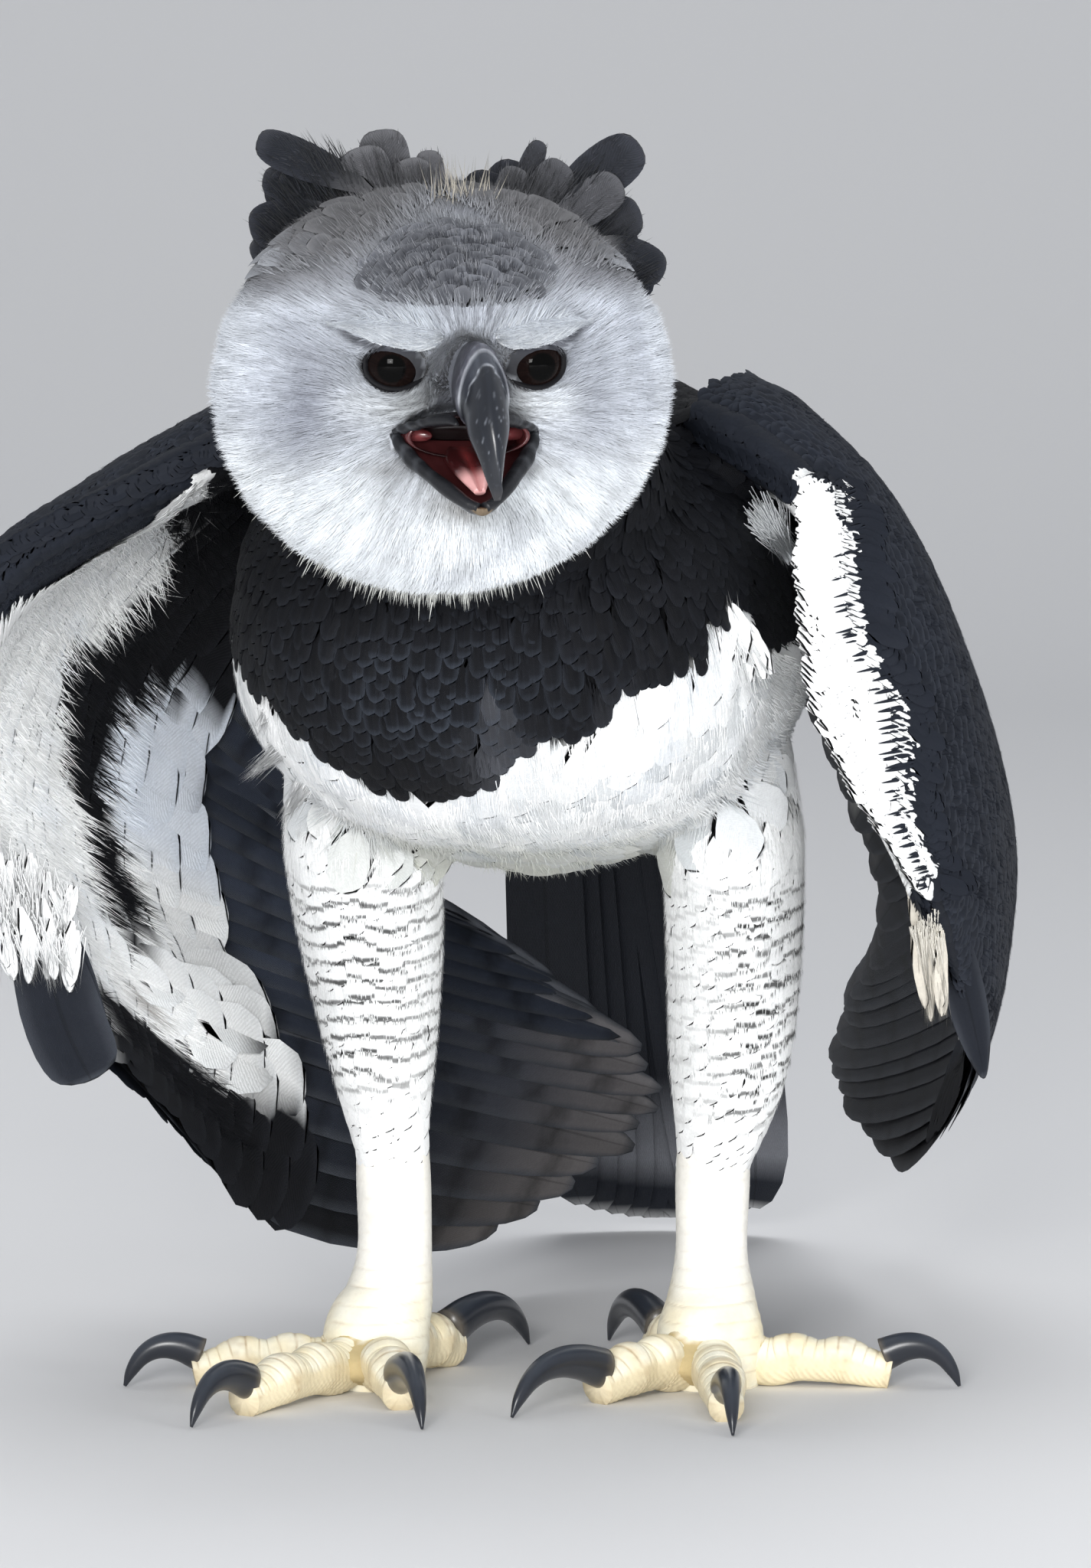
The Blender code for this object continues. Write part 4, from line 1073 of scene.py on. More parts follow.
# the brow: stiff feathers that lie along the ridge and end in a ledge over each eye
LIP = [(4.60, -2.55, 2.62), (4.05, -3.30, 2.42), (3.45, -3.92, 2.20), (2.75, -4.42, 2.02), (1.95, -4.70, 1.90), (1.30, -4.85, 1.98), (0.95, -4.85, 2.20)]
for sign in (-1, 1):
    count = 2400
    lip, top = smooth_path(LIP, 60), smooth_path(BROW, 60) + np.array([0.0, -0.30, 0.46])
    u = 6 + RNG.random(count) * 53
    w = RNG.random(count) ** 0.75  # 1 at the lip, 0 on top of the ridge
    reach = RNG.uniform(7, 14, count)

    def along(u, w):
        k = np.arange(60)
        a = np.stack([np.interp(u, k, top[:, d]) for d in range(3)], -1)
        b = np.stack([np.interp(u, k, lip[:, d]) for d in range(3)], -1)
        bulge = np.array([0.0, -0.16, 0.05]) * np.sin(np.pi * np.clip(w, 0, 1))[:, None] * (1 - ease(np.abs(u - 32), 18, 28))[:, None]
        return a * (1 - w[:, None]) + b * w[:, None] + bulge

    climb = np.where(RNG.random(count) < 0.45, RNG.uniform(-1.0, 0.1, count), 1.0) * (w < 0.75) + 1.0 * (w >= 0.75)
    root = along(u, w) + RNG.normal(size=(count, 3)) * 0.02 + np.array([0, 0.10, 0.02])
    tip = along(np.maximum(u - reach, 0), np.where(climb < 1.0, w + climb, np.minimum(w * 0.6 + 0.42 * RNG.random(count), 1.0))) + RNG.normal(size=(count, 3)) * 0.03 + np.array([0, -0.05, 0.0])
    tip[:, 1] += np.where(climb < 1.0, 0.25, 0.0)
    root, tip = root * (sign, 1, 1), tip * (sign, 1, 1)
    S = np.stack([root, tip], 1)
    N = np.broadcast_to(np.array([0.0, -0.75, 0.66]) @ R_HEAD.T, S.shape)
    c = mix(np.repeat(lin(172, 178, 188)[None], count, 0), FACE_WHITE, RNG.random(count) * (0.2 + 0.8 * w)) * RNG.uniform(0.72, 1.0, (count, 1))
    blades(face_pile, NEEDLE, from_head(S.reshape(-1, 3)).reshape(S.shape), N, 0.024, c, 0.010, 0.0, 0.0, np.array([1.0, 0.0]), root_uv=head_uv(from_head(root)))

# feathers of the forehead and the crown: small and scaly in front, long and rising towards the crest
def crown_keep(q):
    h = to_head(q)
    return face_keep(q) & (np.maximum(patch_share(h), crown_share(h)) > RNG.uniform(0.15, 0.5, len(q)))


def crown_size(h):
    return 0.21 + 0.34 * crown_share(h) * (1 - patch_share(h)) + 0.18 * ease(h[..., 1], 0.4, 3.0)


for on_patch in (False, True):
    if on_patch:
        p, n = scatter(["head"], 60.0, keep=lambda q: face_keep(q) & (patch_share(to_head(q) + np.array([0.0, 0.0, 0.10])) > RNG.uniform(0.45, 0.95, len(q))), gap=0.25)
    else:
        p, n = scatter(["head"], 20.0, keep=lambda q: crown_keep(q) & (patch_share(to_head(q)) < 0.12) & (crown_share(to_head(q)) > 0.45), gap=lambda q: 1.10 * crown_size(to_head(q)))
    h = to_head(p)
    size = crown_size(h)
    flow = head_flow(h) + np.array([0.0, 0.55, 0.0]) + np.stack([0.25 * np.sign(h[:, 0] - 0.3), 0 * size, 0 * size], -1)
    flow = flow + (0.22 if on_patch else 0.12) * RNG.normal(size=flow.shape)
    rising = ease(h[:, 1], -1.6, 0.6) * ease(h[:, 2], 2.5, 5.0)
    length = 0.70 if on_patch else 2.9 * size + 0.5 * rising
    high = 0.23 if on_patch else 0.25 + 0.55 * rising * size
    S, N = laid("head", p, n, flow @ R_HEAD.T, length * RNG.uniform(0.9, 1.15, len(p)), 0.10 + 0.05 * rising, high * RNG.uniform(0.85, 1.2, len(p)), VANE)
    if on_patch:
        share = patch_share(h)
        dark = mix(np.repeat(lin(150, 152, 158)[None], len(p), 0), lin(74, 76, 82), ease(share, 0.0, 0.5))
        pale = mix(np.repeat(lin(172, 174, 180)[None], len(p), 0), lin(108, 110, 116), ease(share, 0.0, 0.5))
        half = RNG.uniform(0.22, 0.50, len(p))
    else:
        dark, pale = np.repeat(CROWN[None], len(p), 0), np.repeat(CROWN_EDGE[None], len(p), 0)
        outer = ease(np.abs(h[:, 0]), 3.6, 6.0) * (1 - ease(h[:, 1], 0.8, 2.0))
        dark, pale = mix(dark, FACE * 0.75, 0.5 * outer), mix(pale, FACE, 0.5 * outer)
        behind = ease(h[:, 1], 1.6, 3.6)
        dark, pale = mix(dark, np.repeat(CREST[None], len(p), 0), behind), mix(pale, CREST * 1.5, behind)
        half = 1.02 * size
    tone = RNG.uniform(0.75, 1.2, (len(p), 1)) * (1 + 0.22 * wob(p, 1.4, 74)[:, None])
    # each feather's root painted darker: painted shade in the gaps between the feathers
    blades(crown_pile, VANE, S, N, half, pale_ends(VANE, dark * tone, pale * tone, 0.7, 0.74, root=dark * tone * 0.8), 0.008, 0.02, 0.0, VANE_W, root_uv=head_uv(p))
# threads over them, to soften their edges
def crown_fluff(q):
    h = to_head(q)
    return face_keep(q) & (np.maximum(patch_share(h), crown_share(h)) > 0.3)


p, n = scatter(["head"], lambda q: 70.0 + 110.0 * patch_share(to_head(q)), keep=crown_fluff)
h = to_head(p)
size = crown_size(h)
rising = ease(h[:, 1], -1.6, 0.6) * ease(h[:, 2], 2.5, 5.0)
colour = mix(np.repeat(CROWN_EDGE[None], len(p), 0), mix(np.repeat(lin(64, 66, 73)[None], len(p), 0), lin(138, 140, 146), ease(np.sin(h[:, 2] * 15 + 1.9 * np.sin(h[:, 0] * 2.1) + 1.6 * wob(p, 1.1, 9)), -0.2, 0.8)), patch_share(h))
colour = mix(colour, FACE, 0.8 * (1 - ease(h[:, 2], crown_line(h[:, 0]) - 0.4, crown_line(h[:, 0]) + 1.2)) * (1 - patch_share(h)))
colour = mix(colour, CREST, 0.8 * ease(h[:, 1], 1.0, 3.0)) * RNG.uniform(0.5, 1.1, (len(p), 1))
flow = head_flow(h) + np.array([0.0, 0.55, 0.0]) + 0.2 * RNG.normal(size=h.shape)
needles(crown_pile, "head", p, n, flow @ R_HEAD.T, (0.30 + 1.15 * size) * RNG.uniform(0.7, 1.2, len(p)), 0.14 + 0.1 * rising, (0.27 + 0.5 * rising * size) * RNG.uniform(0.8, 1.3, len(p)), 0.022, colour, head_uv(p))

# pale fringe under the chin, below the rim of the disc
fringe = Pile("chin_fringe", "fluff", "face")
count = 7000
a = RNG.normal(-1.57, 0.62, count)
rr = 6.85 + RNG.normal(size=count) * 0.30
root = np.stack([rr * np.cos(a), 1.0 + RNG.uniform(-0.6, 1.0, count), 0.95 * rr * np.sin(a)], -1)
out = np.stack([np.cos(a), 0.10 + 0.2 * RNG.normal(size=count), np.sin(a) - 0.25], -1) + 0.10 * RNG.normal(size=(count, 3))
tip = root + unit(out) * (RNG.uniform(0.4, 0.95, count) * (0.6 + 0.45 * hump(a, -1.57, 0.9)))[:, None]
S = np.stack([root, tip], 1)
colour = spread_colour(mix(np.repeat(lin(218, 219, 214)[None], count, 0), lin(140, 144, 140), 0.8 * RNG.random(count) ** 2), 0.12)
blades(fringe, NEEDLE, from_head(S.reshape(-1, 3)).reshape(S.shape), np.broadcast_to(np.array([0.0, -1.0, 0.1]), S.shape), 0.020, colour, 0.006, 0.0, 0.0, np.array([1.0, 0.0]), root_uv=head_uv(from_head(root)))

# crest: broad rounded feathers that rise behind the crown
crest_pile = Pile("crest_feathers", "crown", "crest", replaces=["crest"])
PLUME_W = np.array([0.30, 0.46, 0.62, 0.78, 0.90, 0.98, 1.0, 0.98, 0.92, 0.82, 0.68, 0.48, 0.18])


def plume(root, tip, half, dark, y0, y1, bow=0.0, normal=(0.0, -1.0, 0.45)):
    """One crest feather from root to tip, both (x, z) in the head's axes, at depths y0 and y1."""
    v = BLADE.v[:, None]
    a, b = np.array([root[0], y0, root[1]]), np.array([tip[0], y1, tip[1]])
    side = unit(np.cross(b - a, (0, 1.0, 0)))
    S = a * (1 - v) + b * v + side * bow * 4 * v * (1 - v) + np.array([0, 0.35, 0]) * 4 * v * (1 - v)
    N = np.broadcast_to(unit(np.array(normal) + 0.25 * RNG.normal(size=3) * (1, 0, 1)) @ R_HEAD.T, S.shape)
    colour = mix(CROWN, CREST_BLACK, dark) * RNG.uniform(0.9, 1.1)
    edge = mix(CROWN_EDGE, CREST * 1.15, min(1.0, dark * 1.15))
    c = pale_ends(BLADE, colour[None], edge[None], 0.6, 0.84, root=(CROWN * 0.7)[None])
    blades(crest_pile, BLADE, from_head(S)[None], N[None], half, c, 0.03, 0.12, 0.0, PLUME_W, root_uv=head_uv(from_head(S[:1])))
    m = 80
    at, across = RNG.uniform(0.25, 0.90, m), RNG.choice([-1.0, 1.0], m) * RNG.uniform(0.05, 0.90, m)
    forward = unit(b - a)
    sideways = unit(np.cross(forward, N[0] @ R_HEAD))
    face = np.cross(sideways, forward)
    start = np.stack([np.interp(at, BLADE.v, S[:, d]) for d in range(3)], -1)
    wide = half * np.interp(at, BLADE.v, PLUME_W)
    root_h = start + sideways * (across * wide)[:, None] + face * 0.03
    far = root_h + forward * RNG.uniform(0.22, 0.45, (m, 1)) + sideways * (across * RNG.uniform(0.0, 0.12, m))[:, None] + face * RNG.uniform(0.0, 0.05, (m, 1))
    tint = mix(np.repeat(colour[None], m, 0), edge, RNG.random(m)) * RNG.uniform(0.7, 1.25, (m, 1))
    T2 = np.stack([root_h, far], 1)
    blades(crest_pile, NEEDLE, from_head(T2.reshape(-1, 3)).reshape(T2.shape), np.broadcast_to(face @ R_HEAD.T, T2.shape), 0.026, tint, 0.010, 0.0, 0.0, np.array([1.0, 0.0]), root_uv=head_uv(from_head(root_h)))


def crest_reach(degrees):
    bumps = ((-47, 8.5), (-37, 9.3), (-28, 9.5), (-16, 8.4), (-5, 7.6), (26, 8.3), (33, 8.8), (43, 10.1), (57, 9.1), (65, 9.1))
    reach = 6.7
    for at, r in bumps:
        off = abs(degrees - at) / 8.2
        if off < 1:
            reach = max(reach, r - 2 * (1 - math.sqrt(1 - off * off)))
    return reach


# the fan behind, rank after rank down the back of the head
for rank, share in ((0, 0.93), (1, 0.84), (2, 0.70), (3, 0.56)):
    for k in range(16 - 2 * rank):
        degrees = -60 + 130 * (k + 0.5) / (16 - 2 * rank) + RNG.uniform(-2.5, 2.5)
        a = math.radians(degrees)
        r1 = crest_reach(degrees) * share * RNG.uniform(0.94, 1.02)
        r0 = 3.6 - 0.4 * rank
        plume((r0 * math.sin(a), r0 * math.cos(a)), (r1 * math.sin(a), r1 * math.cos(a)), 1.0, 0.75 + 0.25 * min(1, abs(degrees) / 40), 3.0 + 0.9 * rank, 4.2 + 0.75 * rank)
# the lobes that show in front: (root x, z), (tip x, z), half width, darkness, depth
for root, tip, half, dark, y in (
    ((-2.3, 6.4), (-5.95, 7.95), 0.80, 1.0, 3.0),
    ((-3.2, 5.6), (-6.25, 4.9), 0.82, 1.0, 2.6),
    ((-3.0, 5.9), (-5.7, 6.6), 0.75, 1.0, 3.3),
    ((-1.9, 5.4), (-2.55, 7.75), 0.85, 0.30, 2.2),
    ((-1.4, 5.2), (-1.70, 8.25), 0.88, 0.38, 2.9),
    ((-0.5, 5.4), (-0.75, 7.35), 0.70, 0.25, 2.3),
    ((0.0, 5.6), (-0.10, 7.55), 0.50, 0.30, 2.7),
    ((2.2, 5.3), (2.95, 7.00), 0.55, 0.45, 2.2),
    ((2.6, 5.4), (3.85, 7.80), 0.40, 0.80, 2.9),
    ((3.0, 5.2), (4.60, 7.10), 0.70, 0.55, 2.4),
    ((3.6, 5.2), (7.30, 7.65), 0.92, 0.92, 3.0),
    ((3.7, 4.9), (6.55, 6.45), 0.75, 0.50, 2.3),
    ((4.9, 4.6), (7.35, 5.35), 0.80, 0.85, 2.9),
    ((5.7, 4.6), (8.20, 3.25), 0.75, 1.0, 2.7),
    ((-4.2, 5.0), (-6.1, 3.9), 0.75, 0.95, 3.2),
):
    plume(root, tip, half, dark, y - 0.9, y + 0.9)
# threads along the crest, so that no lobe ends like a cut card
count = 2600
degrees = RNG.uniform(-58, 70, count)
a = np.radians(degrees)
r1 = np.array([crest_reach(d) for d in degrees]) * RNG.uniform(0.72, 0.99, count)
r0 = r1 - RNG.uniform(0.7, 1.4, count)
ya = 1.4 + 0.55 * (r0 - 5.0) + RNG.uniform(-0.2, 0.5, count)
root = np.stack([r0 * np.sin(a), ya, r0 * np.cos(a)], -1)
tip = np.stack([r1 * np.sin(a) + 0.15 * RNG.normal(size=count), ya + 0.5, r1 * np.cos(a)], -1)
S = np.stack([root, tip], 1)
dark = np.clip(np.abs(degrees - 4) / 32 - 0.15, 0.15, 1)
colour = mix(np.repeat(CROWN[None], count, 0), CREST_BLACK, dark) * RNG.uniform(0.7, 1.3, (count, 1))
blades(crest_pile, NEEDLE, from_head(S.reshape(-1, 3)).reshape(S.shape), np.broadcast_to(np.array([0.0, -1.0, 0.2]), S.shape), 0.024, colour, 0.02, 0.0, 0.0, np.array([1.0, 0.0]), root_uv=head_uv(from_head(root)))
# loose pale threads in the gap at the middle
count = 70
a = np.radians(RNG.normal(4, 6, count))
root = np.stack([5.2 * np.sin(a), 0.9 + RNG.uniform(-0.4, 0.8, count), 5.6 * np.cos(a)], -1)
tip = root + np.stack([RNG.normal(0.15, 0.45, count), RNG.uniform(0.3, 1.2, count), RNG.uniform(0.9, 2.3, count)], -1)
v = HAIR.v[None, :, None]
S = root[:, None] * (1 - v) + tip[:, None] * v + np.array([0.1, 0.0, 0.0]) * (4 * v * (1 - v))
blades(crest_pile, HAIR, from_head(S.reshape(-1, 3)).reshape(S.shape), np.broadcast_to(np.array([0.0, -1.0, 0.2]), S.shape), 0.02, spread_colour(np.repeat(lin(190, 184, 172)[None], count, 0), 0.2), 0.02, 0.0, 0.0, np.array([1.0, 0.8, 0.0]), root_uv=head_uv(from_head(root)))

# ---------------------------------------------------------------- wings
WING_ROWS = {
    "right": [
        [(6.4, -8.0, 36.0), (7.8, 1.0, 36.0), (7.4, 10.0, 33.0), (5.6, 18.5, 27.6)],
        [(12.6, -10.4, 33.4), (15.4, -1.0, 31.2), (13.4, 9.0, 24.8), (7.4, 18.0, 17.0)],
        [(17.8, -11.6, 30.4), (18.6, -3.0, 27.6), (14.4, 8.0, 20.5), (3.0, 20.5, 13.0)],
        [(20.4, -11.0, 25.0), (19.6, -3.2, 22.0), (13.6, 7.6, 15.6), (-1.2, 23.6, 8.8)],
        [(19.4, -8.2, 19.6), (17.8, -2.4, 16.8), (11.6, 6.6, 11.4), (-0.8, 25.8, 5.0)],
        [(18.0, -5.6, 15.8), (14.6, -1.6, 11.2), (10.4, 8.6, 5.2), (3.4, 22.2, 2.0)],
    ],
    "left": [
        [(6.4, -8.0, 36.0), (7.8, 2.0, 36.0), (7.4, 11.0, 32.6), (5.4, 20.0, 26.6)],
        [(10.8, -10.4, 33.4), (12.8, -1.0, 31.6), (12.6, 9.5, 26.4), (8.6, 21.5, 19.4)],
        [(12.1, -12.2, 29.6), (15.2, -2.0, 27.0), (15.0, 9.8, 21.2), (9.8, 24.5, 14.0)],
        [(13.1, -11.6, 24.2), (16.5, -1.6, 21.8), (15.6, 11.0, 16.4), (7.6, 30.5, 10.0)],
        [(14.9, -9.2, 19.4), (16.8, -0.4, 16.6), (14.6, 12.0, 11.4), (6.8, 33.0, 6.6)],
        [(15.6, -6.6, 16.4), (16.2, -0.6, 12.6), (14.0, 9.0, 8.6), (10.0, 24.6, 5.2)],
    ],
}


class Wing:
    """P(t, s): t from the innermost feather to the outermost primary, s from the leading edge to the tips."""

    def __init__(self, side):
        self.side, self.sign = side, (-1 if side == "right" else 1)
        rows = np.array(WING_ROWS[side], float)
        dense = np.array([smooth_path(row, 81) for row in rows])
        table = np.array([smooth_path(dense[:, k], 121) for k in range(81)])
        table[..., 0] *= self.sign
        self.table = from_body(table)
        ds, dt = np.gradient(self.table, axis=0), np.gradient(self.table, axis=1)
        n = unit(np.cross(dt, ds))
        if (n[40, 60] @ from_body(np.array([self.sign, 0.0, 0.0]))) < 0:
            n = -n
        self.normal = n
        self.ds, self.dt = np.linalg.norm(ds, axis=-1) * 80, np.linalg.norm(dt, axis=-1) * 120

    def look(self, array, t, s):
        x, y = np.clip(s, 0, 1) * 80, np.clip(t, 0, 1) * 120
        i, j = np.minimum(x.astype(int), 79), np.minimum(y.astype(int), 119)
        f, g = x - i, y - j
        if array.ndim == 3:
            f, g = f[..., None], g[..., None]
        return array[i, j] * (1 - f) * (1 - g) + array[i + 1, j] * f * (1 - g) + array[i, j + 1] * (1 - f) * g + array[i + 1, j + 1] * f * g

    def at(self, t, s):
        t, s = np.asarray(t, float), np.asarray(s, float)
        t, s = np.broadcast_arrays(t, s)
        return self.look(self.table, t, s), unit(self.look(self.normal, t, s))

    def half(self, t, s):
        """Half the thickness of the wing's solid there."""
        t, s = np.broadcast_arrays(np.asarray(t, float), np.asarray(s, float))
        along = THICK[np.round(np.clip(s, 0, 1) * 100).astype(int)]
        hand = 1 - 0.42 * np.clip((t - 0.45) / 0.4, 0, 1)
        shoulder = 1 + 0.55 * np.maximum(0, 1 - t / 0.25) * np.maximum(0, 1 - s / 0.5)
        edge = 0.55 + 0.45 * np.minimum(1.0, np.minimum(t, 1 - t) / 0.06)
        return np.maximum(along * hand * shoulder * edge, 0.25) / 2


THICK = smooth_path([(0.7,), (2.1,), (2.3,), (1.6,), (1.0,), (0.75,), (0.6,), (0.5,), (0.42,), (0.36,), (0.3,)], 101)[:, 0]
WINGS = {side: Wing(side) for side in ("right", "left")}


def under_paint(t, s, side, p):
    """Colour of the under side of a wing at its (t, s)."""
    t, s = np.asarray(t, float), np.asarray(s, float)
    jit = 0.018 * wob(p, 1.3, 81) + 0.010 * wob(p, 0.6, 82)
    c = np.broadcast_to(WHITE, t.shape + (3,)).copy()
    c = mix(c, BLUEGREY, 0.35 * hump(s, 0.40, 0.08) * np.clip(wob(p, 1.6, 83), 0, 1))
    first = np.interp(t, [0.0, 0.12, 0.16, 0.18, 0.27, 0.38, 0.43, 0.51, 0.55, 0.63, 0.69, 0.76, 0.80], [-0.1, -0.1, 0.40, 0.48, 0.46, 0.42, 0.44, 0.46, 0.50, 0.49, 0.48, 0.49, 0.51])
    last = np.interp(t, [0.0, 0.18, 0.23, 0.28, 0.39, 0.47, 0.57, 0.66, 0.76, 0.80], [1.1, 0.90, 0.64, 0.58, 0.53, 0.53, 0.55, 0.565, 0.505, 0.50])
    black = ease(s + jit, first - 0.001, first + 0.001) * (1 - ease(s + jit, last - 0.001, last + 0.001))
    beyond = ease(s + jit, last - 0.006, last + 0.010)
    c = mix(c, BLUEGREY, 0.85 * beyond * (1 - ease(t, 0.50, 0.58)))
    banded = 0.5 + 0.5 * np.sin(s * 70 + 3 * t * 10)
    c = mix(c, mix(np.broadcast_to(lin(160, 162, 170), c.shape), lin(104, 104, 112), banded), 0.8 * beyond * hump(t, 0.40, 0.05) * ease(s, 0.66, 0.70))
    c = mix(c, BLACK, black)
    speck = ease(wob(p, 0.8, 84), 0.75, 0.95) * hump(t, 0.13, 0.04) * hump(s, 0.25, 0.12)
    c = mix(c, WHITE, speck)
    lead = np.interp(t, [0.0, 0.14, 0.17, 0.20, 0.25, 0.31, 0.36, 0.40, 0.50, 0.60, 0.9, 1.0], [0.0, 0.0, 0.04, 0.20, 0.22, 0.20, 0.15, 0.10, 0.06, 0.03, 0.0, 0.0])
    if side == "left":
        lead = np.where((t > 0.17) & (t < 0.82), -1.0, lead * 0.15)
        c = mix(c, SLATE, ease(s, 0.28, 0.36))
    c = mix(c, SLATE, 1 - ease(s + 0.4 * jit, lead - 0.001, lead + 0.001))
    c = mix(c, BLACK * 1.1, ease(t + 0.3 * jit, 0.875, 0.89) * ease(s, 0.20, 0.30))
    c = mix(c, BLACK * 1.1, hump(t, 0.80, 0.05) * ease(s, 0.665, 0.69))
    c = mix(c, lin(120, 112, 106), 0.8 * hump(t, 0.84, 0.02) * hump(s, 0.47, 0.03))
    return c


def upper_paint(t, s, side, p):
    """Colour of the upper side: slate, with faint paler edges added later."""
    t, s = np.asarray(t, float), np.asarray(s, float)
    c = np.broadcast_to(SLATE * 0.75, t.shape + (3,)).copy()
    if side == "left":
        c = mix(c, WHITE, 1 - ease(s + 0.012 * wob(p, 0.9, 91), strip_end(t) - 0.004, strip_end(t) + 0.004))
    return c


def strip_end(t):
    """Where the white strip of the left wing's leading edge ends, as s."""
    return np.interp(t, [0.16, 0.20, 0.25, 0.33, 0.43, 0.47, 0.51, 0.59, 0.69, 0.76, 0.82], [-0.05, 0.065, 0.06, 0.040, 0.032, 0.050, 0.075, 0.068, 0.035, 0.05, -0.05])


flight_pile = Pile("flight_feathers", "flight", "wing", replaces=[f"wing_{s}_{k}" for s in ("left", "right") for k in ("secondaries", "primaries")])
covert_pile = Pile("wing_coverts", "covert", "wing")
covert_pile2 = Pile("wing_under_coverts", "covert", "wing")


def wing_uv(wing, t, s, under):
    u = 0.02 + 0.46 * np.clip(t, 0, 1) + (0.5 if wing.side == "left" else 0.0)
    v = 0.02 + 0.46 * np.clip(s, 0, 1) + (0.5 if under else 0.0)
    return np.stack([u, v], -1)


def flight_feathers(wing):
    # (first t, last t, how many, where the vane starts, half width at the middle)
    for t0, t1, count, s0, half in ((0.015, 0.55, 15, 0.34, 1.45), (0.575, 0.985, 10, 0.30, 1.25)):
        t = np.linspace(t0, t1, count)
        reach = 1.0 - 0.02 * RNG.random(count)
        if t0 > 0.5:
            reach = reach - 0.04 * np.linspace(0, 1, count) ** 2
        v = BLADE.v
        s = s0 + (reach[:, None] - s0) * v[None]
        tt = t[:, None] * np.ones_like(s)
        P, Nn = wing.at(tt, s)
        room = np.minimum(wing.look(wing.dt, tt, s)[:, 7] * (t1 - t0) / (count - 1) * 1.25, half * 1.5)
        halfs = np.clip(room, half * 0.75, half * 1.25)
        a, vv = BLADE.a, BLADE.v[BLADE.row]
        top, low = BLADE.k > 0.5, BLADE.k < -0.5
        right = wing.side == "right"
        c = np.repeat((SLATE * 0.75)[None, None], count, 0) * np.ones((1, len(a), 1))
        inner_web = ease(a * (1 if right else -1), -0.1, 0.35)
        under = mix(np.broadcast_to(SLATE * (2.0 if right else 0.8), (count, len(a), 3)), lin(118, 121, 128) if right else lin(62, 62, 66), np.broadcast_to(inner_web * 0.75, (count, len(a))))
        if t0 > 0.5:
            under = mix(under, BLACK * 1.1, np.broadcast_to(np.linspace(0.2, 1, count)[:, None] ** 2, (count, len(a))))
            if right:
                under = mix(under, lin(112, 107, 105), np.broadcast_to(0.6 * ease(vv, 0.80, 0.97)[None], (count, len(a))))
        elif not right:
            streak = (hump(t, 0.21, 0.09)[:, None] * ease(vv, 0.62, 0.72)[None] * (1 - ease(vv, 0.93, 0.98))[None]) * inner_web[None]
            under = mix(under, lin(190, 190, 186), 0.8 * streak)
        c = np.where(low[None, :, None], under, c)
        rim = ~(top | low)
        c = np.where(rim[None, :, None], mix(c, np.broadcast_to(lin(96, 100, 106), c.shape), np.full(c.shape[:2], 0.3)), c)
        c = c * RNG.uniform(0.85, 1.15, (count, 1, 1))
        length = wing.look(wing.ds, t, np.full(count, 0.6)) * (1 - s0)
        phase = vv[None] * length[:, None] / 3.1 + RNG.random((count, 1)) * 0.35 + 0.10 * np.abs(a)[None]
        strength = np.where(low, 0.62, 0.45)[None] * ease(vv, 0.15, 0.4)[None] * np.ones((count, 1))
        bars = np.stack([phase, strength, np.full(phase.shape, 0.20)], -1)
        order = 0.10 if right else -0.10
        blades(flight_pile, BLADE, P, Nn, halfs, c, 0.035, 0.05, order, BLADE_W, bars=bars, root_uv=wing_uv(wing, t, s[:, 0], False))


